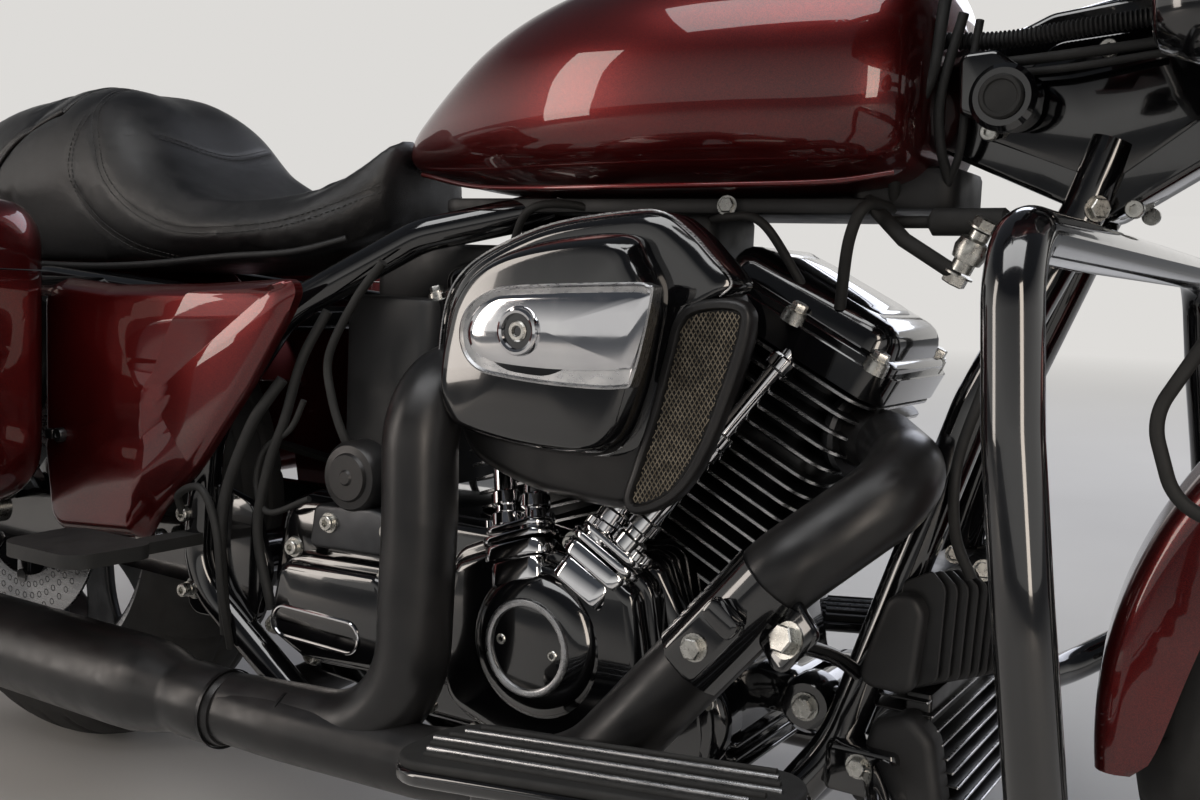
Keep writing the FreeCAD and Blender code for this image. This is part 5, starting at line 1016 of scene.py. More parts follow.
for side in (-1, 1):
    guard_bolts += hex_bolt((1126, side * 126, GUARD_LOW + 6), (0, side, 0), 8, 8)
    guard_bolts += hex_bolt((1266, side * 20, GUARD_TOP + 12), (0, 0, 1), 7, 7)
    guard_bolts += hex_bolt((1240, side * 20, GUARD_TOP + 12), (0, 0, 1), 7, 7)
piece("guard_bolts", guard_bolts, "zinc")

# Oil cooler and regulator with their covers

FIN_BLOCK = round_off([(1128, 322, 6), (1176, 318, 8), (1216, 330, 8), (1220, 404, 10), (1198, 416, 10),
                       (1158, 404, 8)], 5)
fins = []
for y in np.arange(-96, 98, 7.68):
    shorter = np.stack((1128 + (FIN_BLOCK[:, 0] - 1128) * (1 - 0.46 * (abs(y) / 96) ** 2.2),
                        FIN_BLOCK[:, 1]), -1)
    fins.append(upright_slab(shorter, y + 1.7, [(0, 0.8), (0.8, 0), (2.6, 0), (3.4, 0.8)]))
fins.append(brick((1146, 0, 366), (30, 186, 78), radius=3, corner=6))
piece("regulator_fins", fins, "fins", ["oil_cooler"])
CASE = round_off([(1112, 318, 12), (1160, 316, 12), (1166, 384, 14), (1158, 398, 12), (1136, 394, 14)], 6)
piece("regulator_cases", [side_slab(CASE, side * 92, side * 112, 6) for side in BOTH_SIDES], "plastic")
cooler = [brick((1158, 0, 268), (22, 172, 92), radius=2, corner=3)]
cooler_edges = []
for i in range(9):
    z = 226 + i * 10.4
    front = 1178 + (286 - z) * 0.45
    cooler.append(brick((front - 25, 0, z), (48, 188, 1.6), radius=0.5, corner=1))
    cooler_edges.append(brick((front, 0, z), (2.2, 188, 2.0), radius=0.6, corner=0.8))
piece("cooler_fins", cooler, "fins")
piece("cooler_fin_edges", cooler_edges, "edge")
SHROUD = round_off([(1112, 222, 10), (1192, 224, 12), (1180, 286, 18), (1160, 304, 16), (1130, 292, 14)], 7)
piece("cooler_shrouds", [side_slab(SHROUD, side * 90, side * 116, 9) for side in BOTH_SIDES], "plastic")
cooler_bolts = []
for side in BOTH_SIDES:
    cooler_bolts += hex_bolt((1195, side * 58, 414), (0.3, side * 0.9, 0.3), 7, 6)
    cooler_bolts += hex_bolt((1172, side * 60, 424), (0.3, side * 0.9, 0.3), 6, 6)
piece("regulator_bolts", cooler_bolts, "zinc")

# Coil tray under the tank, leads, loom, hoses and their fittings

tray = [brick((862, 0, 700), (450, 132, 14), radius=4, corner=20),
        brick((880, 0, 664), (112, 96, 62), radius=6, corner=14),
        brick((1104, 0, 716), (90, 92, 36), radius=6, corner=16)]
piece("coil_tray", tray, "plastic")


def ribbed(path, radius, pitch, depth=0.9, sides=16):
    """Corrugated conduit: a tube whose radius swings by a cosine of the run along the path."""
    step = run_along(path)
    s = np.linspace(0, step[-1], int(step[-1] / pitch * 6))
    line = np.stack([np.interp(s, step, path[:, k]) for k in range(3)], -1)
    return tube(line, radius + depth * np.cos(2 * math.pi * s / pitch), sides)


LOOM = (
    # points, radius
    ([(638, -148, 640), (606, -150, 603), (573, -150, 548), (578, -150, 505), (595, -146, 462),
      (600, -120, 430)], 4.4),
    ([(520, -160, 520), (508, -168, 499), (491, -174, 471), (462, -178, 403), (454, -178, 344),
      (455, -170, 250)], 6.0),
    ([(398, -180, 372), (404, -190, 393), (437, -190, 403), (458, -188, 364), (463, -184, 300),
      (462, -170, 236)], 4.0),
    ([(540, -150, 500), (526, -154, 470), (494, -158, 446), (483, -158, 410), (499, -156, 382),
      (552, -152, 402)], 3.2),
    ([(560, -140, 590), (536, -150, 540), (520, -156, 480), (500, -158, 430), (486, -158, 360),
      (500, -150, 280)], 5.2),
    ([(1136, -62, 862), (1132, -72, 802), (1118, -74, 770), (1104, -66, 742), (1098, -42, 708)], 5.0),
    ([(1150, -58, 850), (1138, -64, 790), (1138, -60, 752), (1142, -42, 722)], 4.2),
    ([(1160, -48, 846), (1156, -56, 790), (1152, -52, 744), (1140, -40, 718)], 3.4),
    ([(1096, -40, 700), (1086, -74, 700), (1076, -82, 672), (1066, -68, 616)], 5.0),
    ([(930, -40, 690), (960, -70, 690), (1000, -84, 684), (1032, -64, 632)], 4.0),
    ([(830, -40, 688), (800, -70, 700), (760, -84, 694), (722, -60, 654)], 4.0),
    ([(1172, -46, 812), (1222, -48, 815), (1296, -44, 822)], 4.2),
    ([(1186, -50, 803), (1236, -50, 806), (1300, -46, 814)], 3.0),
    ([(1196, -96, 414), (1180, -92, 448), (1176, -84, 500), (1190, -76, 560), (1210, -66, 640)], 4.4),
    ([(600, 140, 610), (570, 152, 548), (540, 154, 470), (520, 152, 380), (520, 140, 300)], 5.0),
)
piece("wiring_loom", [tube(eased(points, 44), radius, 12) for points, radius in LOOM], "rubber")
piece("loom_conduit", [ribbed(eased([(1112, -44, 834), (1174, -46, 830), (1234, -46, 835),
                                     (1300, -42, 842)], 80), 6.4, 3.4),
                       ribbed(eased([(1084, -52, 742), (1096, -66, 776), (1110, -70, 812),
                                     (1116, -56, 848)], 60), 5.6, 3.4)], "plastic", slot="rubber")
lead = [tube([(1076, -44, 706), (1118, -72, 673), (1162, -66, 646)], 6.4, 14),
        turned([(0, 0), (0, 5), (30, 5), (34, 11), (90, 11), (96, 6), (96, 0)], (1102, -54, 688),
               (1, -0.02, 0.01), 20)]
piece("pressure_switch", lead, "rubber")
fitting = [turned([(0, 0), (0, 9), (8, 9), (9, 12), (18, 14), (26, 12), (28, 8), (34, 8), (34, 0)],
                  (1162, -64, 650), (0.45, -0.05, 0.9), 24)]
fitting += hex_bolt((1178, -65, 682), (0.45, -0.05, 0.9), 10, 9)
fitting += hex_bolt((1161, -64, 648), (-0.45, 0, -0.9), 10, 10)
fitting.append(tube([(1170, -64, 666), (1226, -48, 662)], 5, 14))
fitting += hex_bolt((958, -68, 700), (0.2, -1, 0.1), 7, 6) + hex_bolt((1257, -46, 700), (0.6, -0.8, 0), 8,
        8)
piece("hose_fittings", fitting, "zinc")
HORN = round_off([(1150, 818, 8), (1178, 820, 10), (1212, 796, 20), (1210, 766, 18), (1192, 758, 14),
                  (1152, 772, 8)], 6)
piece("horn_bracket", [side_slab(HORN, -40, -66, 4),
                       turned([(0, 26), (10, 26), (14, 22), (14, 0)], (1188, -62, 782), (0, -1, 0), 40)],
      "gloss")
piece("horn_button", [turned([(0, 17), (5, 17), (6.5, 15.5), (6.5, 13), (5.4, 12), (5.4, 0)],
                             (1188, -74, 782), (0, -1, 0), 40)], "rubber")
piece("rear_shroud", [brick((602, 0, 512), (118, 206, 190), radius=8, corner=18),
                      brick((640, 0, 632), (190, 120, 60), radius=8, corner=18)], "plastic")
brackets = []
for x, y, z, size in ((398, -160, 370, 9), (400, -160, 289, 8), (330, -160, 330, 7)):
    brackets += [turned([(0, 0), (0, size + 4), (16, size + 4), (18, size), (24, size), (24, 0)],
                        (x, y + 10, z), (0, -1, 0), 28)]
    brackets += socket_screw((x, y - 14, z), (0, -1, 0), size - 1, 9)
piece("frame_bosses", brackets, "zinc")

# Footboards: a rubber mat with raised ribs and inlaid bright strips on a pan

BOARD_TILT = math.radians(6.0)
board_u = np.array((math.cos(BOARD_TILT), 0, math.sin(BOARD_TILT)))
board_w = np.array((-math.sin(BOARD_TILT), 0, math.cos(BOARD_TILT)))
for name, side in SIDES:
    centre = np.array((984.0, side * 292, 268))
    pan = round_off([(-166, -56, 40), (166, -48, 46), (166, 48, 46), (-166, 56, 40)], 8)
    v_axis = np.array((0, 1.0, 0))
    piece("board_pan_" + name, [slab(pan, centre - board_w * 10, board_u, v_axis, edge_levels(0, 12, 4))],
          "gloss", ["footboard_" + name])
    piece("board_mat_" + name, [slab(inset(pan, 3), centre + board_w * 1, board_u, v_axis,
                                     edge_levels(0, 8, 3))], "rubber")
    ribs, strips = [], []
    for j, v0 in enumerate((-36, -24, -12, 0, 12, 24, 36)):
        reach = 150 - abs(v0) * 0.55
        line = np.array([centre + board_w * 9.4 + board_u * t + v_axis * v0 for t in np.linspace(-reach,
                reach, 3)])
        oval = ring_of(12) * (3.0, 2.2)
        (strips if j in (1, 3, 5) else ribs).append(grid(carried(line, oval, (0, 1, 0)), ring=True,
                caps=True))
    piece("board_ribs_" + name, ribs, "rubber")
    piece("board_strips_" + name, strips, "alloy", slot="steel")
    arms = []
    for x in (897, 1027):
        z0 = 188 + (x - 917) * 0.1
        arms.append(brick((x, side * 196, z0), (34, 192, 24), radius=4, corner=6))
        arms.append(brick((x, side * 292, z0 + 33), (34, 34, 70), radius=3, corner=6))
    piece("board_arms_" + name, arms, "gloss")

# Seat: foam under smooth vinyl, made from its sections, filled out by a cloth simulation

SEAT = (
    # x, base, rim height, middle height, half width, half width at the base
    (-186, 644, 716, 762, 84, 66), (-170, 638, 736, 790, 100, 84), (-60, 628, 752, 822, 138, 122),
    (40, 624, 764, 834, 144, 128), (130, 624, 776, 838, 146, 130), (200, 626, 760, 812, 150, 132),
    (270, 628, 722, 742, 155, 136), (340, 632, 696, 702, 160, 138), (410, 638, 690, 694, 158, 134),
    (480, 646, 700, 712, 138, 112), (530, 662, 726, 752, 106, 84), (556, 682, 750, 778, 78, 60),
    (563, 700, 748, 772, 58, 44),
)


def seat_surface(shrink, length=90, count=72):
    """Sections across the machine: flat base, swelling flank, rolled rim and a dished or crowned middle."""
    rows = eased(SEAT, length)
    x, base, rim, top, half, low = (rows[:, i] for i in range(6))
    half, low = half - shrink, low - shrink
    top, rim, base = top - shrink, rim - shrink, base + shrink * 0.5
    belly = base + (rim - base) * 0.48
    zero = 0 * x
    right = [(low * 0.9, base), (low * 1.04, base + 5), (half * 0.985, belly), (half * 0.93, rim - 4),
             (half * 0.74, rim + (top - rim) * 0.52 + 8), (half * 0.4, top + 1)]
    left = [(-y, z) for y, z in right[::-1]]
    control = np.stack([np.stack(pair, -1) for pair in [(zero, base)] + right + [(zero, top)] + left], 1)
    section = ring_through(control, count)
    return np.concatenate((np.broadcast_to(x[:, None, None], section.shape[:2] + (1,)), section), -1)


CLOTH_FRAMES = 20


def puffed(obj, voxel, pressure, cap):
    """Fills a closed mesh out like foam under a cover: remeshed, swollen by cloth pressure, and no point
    moves further than the cap."""
    scene = bpy.context.scene
    bpy.context.view_layer.objects.active = obj
    remesh = obj.modifiers.new("even", "REMESH")
    remesh.mode = "VOXEL"
    remesh.voxel_size = voxel
    bpy.context.view_layer.update()
    grown = bpy.data.meshes.new_from_object(obj.evaluated_get(bpy.context.evaluated_depsgraph_get()))
    obj.modifiers.clear()
    old = obj.data
    obj.data = grown
    count = len(grown.vertices)
    before = np.empty(count * 3)
    grown.vertices.foreach_get("co", before)
    cloth = obj.modifiers.new("cover", "CLOTH")
    cloth.settings.use_pressure = True
    cloth.settings.uniform_pressure_force = pressure
    cloth.settings.effector_weights.gravity = 0.0
    cloth.settings.quality = 4
    scene.frame_start, scene.frame_end = 1, CLOTH_FRAMES
    cloth.point_cache.frame_start, cloth.point_cache.frame_end = 1, CLOTH_FRAMES
    for step in range(1, CLOTH_FRAMES + 1):
        scene.frame_set(step)
    shown = obj.evaluated_get(bpy.context.evaluated_depsgraph_get()).to_mesh()
    after = np.empty(count * 3)
    shown.vertices.foreach_get("co", after)
    obj.modifiers.clear()
    scene.frame_set(1)
    move = (after - before).reshape(-1, 3)
    far = np.linalg.norm(move, axis=1, keepdims=True)
    move *= np.minimum(1.0, cap / np.maximum(far, 1e-9))
    grown.vertices.foreach_set("co", (before.reshape(-1, 3) + move).ravel())
    for material in old.materials:
        grown.materials.append(material)
    grown.shade_smooth()
    grown.update()


def back_to_upright(points):
    """Upright millimetres of row-frame metres."""
    p = np.asarray(points, float) * 1000
    cosine, sine = math.cos(LEAN), math.sin(LEAN)
    y, z = p[..., 1] + SHIFT_Y, p[..., 2]
    return np.stack((p[..., 0] + MIDDLE_X, y * cosine - z * sine, y * sine + z * cosine), -1)


def pressed(obj, line, width, depth):
    """Presses a sewn channel into a soft mesh: points near a line sink inwards by a bell curve."""
    mesh = obj.data
    count = len(mesh.vertices)
    co, normal = np.empty(count * 3), np.empty(count * 3)
    mesh.vertices.foreach_get("co", co)
    mesh.vertex_normals.foreach_get("vector", normal)
    co, normal = co.reshape(-1, 3), normal.reshape(-1, 3)
    here = back_to_upright(co)
    best = np.full(count, 1e9)
    for a, b in zip(line[:-1], line[1:]):
        d = b - a
        t = np.clip(((here - a) @ d) / max(d @ d, 1e-9), 0, 1)[:, None]
        best = np.minimum(best, np.linalg.norm(here - a - t * d, axis=1))
    sink = depth / 1000 * np.exp(-(best / width) ** 2)
    mesh.vertices.foreach_set("co", (co - normal * sink[:, None]).ravel())
    mesh.update()


def dropped(obj, line, direction):
    """Line carried along a direction until it meets the mesh: points on its surface and their normals."""
    deps = bpy.context.evaluated_depsgraph_get()
    tree = BVHTree.FromObject(obj, deps)
    hits, normals = [], []
    start = upright(line)
    way = upright(np.asarray(direction, float)[None])[0] - upright(np.zeros((1, 3)))[0]
    way = Vector(way).normalized()
    for p in start:
        spot = Vector(p)
        found = tree.ray_cast(spot, way)
        if found[0] is None:
            found = tree.find_nearest(spot)
        hits.append(tuple(found[0]))
        normals.append(tuple(found[1]))
    hits, normals = np.array(hits), np.array(normals)
    tips = back_to_upright(hits + normals * 0.001)
    base = back_to_upright(hits)
    return base, unit(tips - base)


def stitches(base, normal, length=4.2, gap=2.2, radius=0.55, offset=0.0, sink=0.1):
    """Thread along a line on a surface: short domed bars laid end to end."""
    ahead = unit(np.gradient(base, axis=0))
    across = np.cross(normal, ahead)
    line = base + across * offset + normal * (radius - sink)
    step = run_along(line)
    parts = []
    at = 0.0
    while at + length < step[-1]:
        s = np.linspace(at, at + length, 4)
        run = np.stack([np.interp(s, step, line[:, k]) for k in range(3)], -1)
        parts.append(tube(run, radius * np.array((0.55, 1.0, 1.0, 0.55)), 6))
        at += length + gap
    return parts


SKIN_SHRINK, VOXEL, PRESSURE, PUFF_CAP = 5.0, 0.006, 4.0, 0.007
cushion = seat_surface(SKIN_SHRINK)
seat = piece("seat_cushion", [grid(cushion, ring=True, caps=True)], "leather", ["seat"], hold=True)
puffed(seat, VOXEL, PRESSURE, PUFF_CAP)

# Sewn lines of the seat: the rider's bowl, the pillion welt and the skirt seam, on both flanks


def on_side(points, side, y=230.0):
    """Line beside the machine at a fixed distance out, from (x, z) places."""
    path = eased(points, 90)
    return np.stack((path[:, 0], np.full(len(path), side * y), path[:, 1]), -1)


WELT = [(-12, 640), (-14, 690), (4, 740), (44, 784), (92, 808)]
BOWL = [(150, 800), (148, 760), (160, 712), (200, 674), (262, 648), (330, 636)]
SKIRT = [(560, 716), (520, 694), (470, 676), (400, 668), (330, 670), (262, 690), (214, 724), (182, 770),
         (158, 806)]
seam_lines = []
for side in BOTH_SIDES:
    for key, path in (("welt", WELT), ("bowl", BOWL), ("skirt", SKIRT)):
        base, normal = dropped(seat, on_side(path, side), (0, -side, 0))
        seam_lines.append((key, side, base, normal))
for key, x0, bow in (("welt", 96.0, 14), ("bowl", 160.0, -26), ("ridge", 236.0, 18)):
    t = np.linspace(-1, 1, 70)
    reach = 112 if key != "ridge" else 84
    line = np.stack((x0 + bow * (1 - t ** 2), t * reach, np.full(70, 900.0)), -1)
    base, normal = dropped(seat, line, (0, 0, -1))
    seam_lines.append((key, 0, base, normal))
for key, side, base, normal in seam_lines:
    pressed(seat, base[::3], 5.5 if key == "welt" else 3.6, 6.0 if key == "welt" else 2.2)
subdivided = seat.modifiers.new("smooth", "SUBSURF")
subdivided.levels = subdivided.render_levels = 1
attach(seat, "chassis")
thread_parts, welt_parts = [], []
for key, side, base, normal in seam_lines:
    if key == "welt":
        welt_parts.append(tube(base - normal * 2.4, 3.0, 10))
        continue
    sunk = base - normal * 1.7
    for offset in (-3.4, 3.4):
        thread_parts += stitches(sunk, normal, offset=offset, sink=-0.5)
piece("seat_thread", thread_parts, "thread")
piece("seat_piping", welt_parts, "leather")
skirt = []
for side in (-1, 1):
    run = eased([(-150, 78, 636), (-60, 124, 628), (130, 132, 624), (270, 138, 628), (400, 134, 640),
                 (480, 112, 648), (530, 84, 664)], 60) * (1, side, 1)
    skirt.append(tube(run, 4.0, 10))
piece("seat_pan_edge", skirt, "plastic", slot="leather")

# Side covers: sculpted panels that wrap down behind the frame tube

COVER_EDGE = [(192, 612, 20), (300, 606, 60), (440, 612, 60), (572, 622, 12), (556, 590, 24),
              (500, 510, 60), (430, 424, 40), (372, 372, 30), (348, 338, 14), (206, 326, 22),
              (188, 420, 60)]
cover_outline = round_off(COVER_EDGE, 16)
CREASE = np.array([(320, 344), (345, 352), (425, 388), (455, 378), (520, 392), (575, 428), (596, 486),
                   (624, 590)])


def cover_relief(x, z):
    """The rear two thirds stand 15 mm proud of the panel ahead of the crease, by a smooth step 16 mm wide,
    and a shallow waist runs across at mid height."""
    ahead = np.interp(z, CREASE[:, 0], CREASE[:, 1]) - x
    step = np.clip((ahead + 6) / 16, 0, 1)
    return 15 * step * step * (3 - 2 * step) - 5 * np.exp(-((z - 446) / 22) ** 2) * step


for name, side in SIDES:
    v, f = domed(cover_outline, -178, 16, 7, 40, 6, cover_relief)
    piece("side_panel_" + name, [(v * (1, -side, 1), f)], "paint", ["side_cover_" + name], sharp=50)
    lock = np.array((236, side * 214, 440))
    piece("side_panel_lock_" + name, [turned([(-6, 8), (0, 8), (1.5, 7), (1.5, 3), (0.6, 2.6), (0.6, 0)],
            lock, (0, side, 0), 24),
                                      brick(lock - (16, side * 3, 0), (14, 8, 11), radius=1.5)],
          "dark_steel")

# Saddlebags with lids, latches and hinges

BAG = ((-412, 230, 380, 386), (-292, 198, 425, 338), (-198, 188, 438, 322), (-110, 184, 443, 315),
       (-28, 186, 441, 318), (62, 196, 432, 330), (170, 216, 415, 356), (262, 240, 392, 390))
SPLIT, BAG_TOP, BAG_WALL = 618.0, 690.0, 5.0


def bag_skin(side, upper, shrink=0.0, steps=7):
    """Rounded box along x: its sides and floor vary smoothly, and near each end every section shrinks along
    a quarter circle, except at the split."""
    a = np.linspace(0, math.pi / 2, 7)
    start, end = BAG[0][0] + shrink, BAG[-1][0] - shrink
    reach = 34.0
    x = np.concatenate((start + reach * (1 - np.cos(a)), np.linspace(start + reach, end - reach, 24)[1:-1],
                        end - reach * (1 - np.cos(a))[::-1]))
    draw = np.maximum(reach - (x - start), np.maximum(reach - (end - x), 0))
    pull = (reach - np.sqrt(np.maximum(reach ** 2 - draw ** 2, 0))) * 0.8
    table = eased(BAG, 80)
    rings = []
    for at, inward in zip(x, pull):
        inner_side, outer_side, bottom = (np.interp(at, table[:, 0], table[:, k]) for k in (1, 2, 3))
        lo, hi = inner_side + shrink + inward, outer_side - shrink - inward
        r = 44.0 - shrink
        if upper:
            shape = round_off([(lo, SPLIT + 0.7, 0.01), (hi, SPLIT + 0.7, 0.01),
                               (hi, BAG_TOP - shrink - inward, r), (lo, BAG_TOP - shrink - inward, r)],
                              steps)
        else:
            shape = round_off([(lo, bottom + shrink + inward, r), (hi, bottom + shrink + inward, r),
                               (hi, SPLIT - 0.7, 0.01), (lo, SPLIT - 0.7, 0.01)], steps)
        rings.append(np.stack((np.full(len(shape), at), side * shape[:, 0], shape[:, 1]), -1))
    return np.stack(rings)


def hollow_box(side, upper):
    """Bag or lid with a thin wall: an outer and an inner skin, both closed at their ends and open at the
    split, where a flat rim joins them."""
    outer, inner = bag_skin(side, upper), bag_skin(side, upper, BAG_WALL)
    flat = SPLIT + 0.7 if upper else SPLIT - 0.7

    def opened(points):
        """Section points in order from one rim corner to the other."""
        keep = np.abs(points[12, :, 2] - flat) < 0.3
        first = int(np.argmax(~keep & np.roll(keep, 1))) - 1
        return np.roll(points, -first, 1)[:, :points.shape[1] - int(keep.sum()) + 2]
    a, b = opened(outer), opened(inner)
    rows, columns = a.shape[:2]
    count = rows * columns
    o = np.arange(count).reshape(rows, columns)
    i = o + count
    faces = []
    for block in (o, i):
        faces += quads(block)
        faces += [block[0].tolist(), block[-1].tolist()]
    for column in (0, -1):
        faces += np.stack((o[:-1, column], o[1:, column], i[1:, column], i[:-1, column]), -1).tolist()
    for row in (0, -1):
        faces.append([int(o[row, 0]), int(o[row, -1]), int(i[row, -1]), int(i[row, 0])])
    return np.concatenate((a.reshape(-1, 3), b.reshape(-1, 3))), faces


for name, side in SIDES:
    piece("bag_shell_" + name, [hollow_box(side, False)], "paint", ["saddlebag_" + name], sharp=45)
    piece("bag_lid_shell_" + name, [hollow_box(side, True)], "paint", ["bag_lid_" + name], name + "_lid",
          sharp=45)

HINGE_Y, HINGE_XS = 449.0, (-180.0, -40.0)
for name, side in SIDES:
    rails = [brick((x, side * y, z), (30, width, 22), radius=3, corner=4)
             for x, y, z, width in ((-75, 167, 605, 90), (205, 180, 601, 108))]
    piece("bag_rails_" + name, rails, "gloss")
    piece("bag_latch_" + name, [side_slab(round_off([(16, 586, 6), (62, 586, 6), (62, 613, 4),
            (16, 613, 4)]),
                                          side * 430, side * 439, 2)], "chrome")
    piece("lid_latch_" + name, [side_slab(round_off([(20, 622, 3), (58, 622, 3), (58, 634, 5),
            (20, 634, 5)]),
                                          side * 430, side * 438, 2)], "chrome", body=name + "_lid")
    ears, leaves = [], []
    for x in HINGE_XS:
        ears.append(tube([(x - 18, side * HINGE_Y, SPLIT), (x + 18, side * HINGE_Y, SPLIT)], 2.5, 12))
        for out in (-15, 15):
            ears.append(brick((x + out, side * 445, 610), (6, 18, 14), radius=1, corner=2))
            ears.append(turned([(-3, 0), (-3, 4.6), (-2.4, 5), (2.4, 5), (3, 4.6), (3, 0)],
                               (x + out, side * HINGE_Y, SPLIT), (1, 0, 0), 20))
        leaves.append(turned([(-11.4, 2.8), (-11.4, 5), (11.4, 5), (11.4, 2.8), (-11.4, 2.8)],
                             (x, side * HINGE_Y, SPLIT), (1, 0, 0), 20))
        leaves.append(brick((x, side * 443, 623.5), (23, 12, 8), radius=1.5, corner=2))
    piece("bag_hinge_ears_" + name, ears, "dark_steel")
    piece("lid_hinge_leaves_" + name, leaves, "dark_steel", body=name + "_lid")

# Wheels

REAR_Z = 320.0 + 96.0 * (1 / math.cos(LEAN) - 1)
FRONT_Z = 319.0 + 68.0 * (1 / math.cos(LEAN) - 1)
REAR_AXLE, FRONT_AXLE = np.array((0, 0, REAR_Z)), np.array((1625.0, 0, FRONT_Z))


def tread(angle, across, half):
    """Depth of the pattern: two ring grooves and slanted sipes that meet the shoulders."""
    w = across / half
    ring = np.exp(-((np.abs(w) - 0.22) / 0.035) ** 2)
    slant = angle * 36 + np.abs(w) * 2.6 + np.sign(w) * 0.25
    sipe = np.exp(-((slant / (2 * math.pi) % 1 - 0.5) / 0.075) ** 2) * np.clip((np.abs(w) - 0.3) / 0.06, 0,
            1) \
        * np.clip((0.9 - np.abs(w)) / 0.06, 0, 1)
    return np.maximum(ring, sipe)


def tyre(name, centre, radius, width, crown, rim_radius, rim_width, body, node):
    """Tyre: crown arc with the tread cut in, bulging walls with a raised ring, and beads, turned about y."""
    half = width / 2
    shoulder = radius - crown + math.sqrt(crown ** 2 - (half * 0.93) ** 2)
    bead = rim_width / 2 - 4
    y1 = np.linspace(-half * 0.93, half * 0.93, 61)
    r1 = radius - crown + np.sqrt(crown ** 2 - y1 ** 2)
    belly = rim_radius + (shoulder - rim_radius) * 0.55
    wall = eased([(half * 0.93, shoulder), (half, belly),
                  (half * 0.9, rim_radius + (belly - rim_radius) * 0.35), (bead + 3, rim_radius + 9.5),
                  (bead, rim_radius + 3)], 22)[1:]
    wall[:, 0] -= 0.8 * (np.abs(np.arange(len(wall)) - 7) < 1.5)
    y = np.concatenate((-wall[::-1, 0], y1, wall[:, 0]))
    r = np.concatenate((wall[::-1, 1], r1, wall[:, 1]))
    y = np.concatenate((y, [bead - 8, -bead + 8]))
    r = np.concatenate((r, [rim_radius + 1, rim_radius + 1]))
    a = np.linspace(0, 2 * math.pi, 540, endpoint=False)[:, None]
    yy, rr = np.broadcast_to(y, (540, len(y))), np.broadcast_to(r, (540, len(r))).copy()
    on_crown = (np.abs(yy) <= half * 0.931) & (rr > shoulder - 1)
    rr = rr - np.where(on_crown, 3.2 * tread(a, yy, half), 0)
    points = np.stack((rr * np.cos(a), yy, rr * np.sin(a)), -1) + centre
    return piece(name, [grid(points, ring=True, loop=True)], "tyre", [node], body, sharp=30)


tyre("rear_tyre_tread", REAR_AXLE, 320, 180, 96, 203, 136, "rear_wheel", "rear_tyre")
tyre("front_tyre_tread", FRONT_AXLE, 319, 130, 68, 241, 102, "front_wheel", "front_tyre")


def cast_wheel(name, centre, rim_radius, rim_width, left_reach, right_reach, body, node):
    """Cast wheel: lipped barrel, nine paired spokes that flare into hub and rim, and a stepped hub."""
    half = rim_width / 2
    profile = [(-half, rim_radius + 10), (-half + 5, rim_radius + 10.5), (-half + 8, rim_radius + 6),
               (-half + 12, rim_radius - 1), (half - 12, rim_radius - 1), (half - 8, rim_radius + 6),
               (half - 5, rim_radius + 10.5), (half, rim_radius + 10), (half, rim_radius - 4),
               (half - 6, rim_radius - 9), (half - 18, rim_radius - 15), (-half + 18, rim_radius - 15),
               (-half + 6, rim_radius - 9), (-half, rim_radius - 4), (-half, rim_radius + 10)]
    dark = [turned(profile, centre, (0, 1, 0), 120)]
    hub = [(-right_reach, 12.9), (left_reach, 12.9), (left_reach, 40), (left_reach - 4, 42), (30, 42),
           (22, 50), (-22, 50), (-30, 42), (-right_reach + 4, 42), (-right_reach, 40), (-right_reach, 12.9)]
    dark.append(turned(hub, centre, (0, 1, 0), 64))
    bright = []
    for i in range(9):
        for twin in (-1, 1):
            a = 2 * math.pi * i / 9
            r = np.array((46, 70, rim_radius * 0.62, rim_radius - 40, rim_radius - 14.5))
            shift = twin * np.array((0.10, 0.075, 0.045, 0.06, 0.095)) * (1 + 0.12 * rim_radius / 240)
            ang = a + shift
            path = eased(np.stack((r * np.cos(ang), 0 * r, r * np.sin(ang)), -1), 14)
            w = np.interp(np.linspace(0, 1, 14), (0, 0.3, 0.8, 1), (11, 7.5, 6.5, 11))
            d = np.interp(np.linspace(0, 1, 14), (0, 0.5, 1), (24, 17, 20))
            oval = rectangle(1, 1, 0.35, 4)
            shape = oval[None] * np.stack((d, w), -1)[:, None]
            bright.append(grid(carried(path, shape, (0, 1, 0)) + centre, ring=True, caps=True))
    piece(name + "_casting", dark, "cast", [node], body)
    piece(name + "_spokes", bright, "cast", body=body)
    lip = [turned([(s * (half - 0.5), rim_radius + 10), (s * (half + 0.8), rim_radius + 8),
                   (s * (half + 0.8), rim_radius - 2), (s * (half - 0.5), rim_radius - 4),
                   (s * (half - 0.5), rim_radius + 10)], centre, (0, 1, 0), 120)
           for s in (-1, 1)]
    piece(name + "_machined_lips", lip, "alloy", body=body, slot="rim")


cast_wheel("rear_wheel", REAR_AXLE, 203, 136, 120, 104.5, "rear_wheel", "rear_rim")
cast_wheel("front_wheel", FRONT_AXLE, 241, 102, 74.5, 74.5, "front_wheel", "front_rim")


DISC_HOLES, DISC_HALF = 48, 2.4


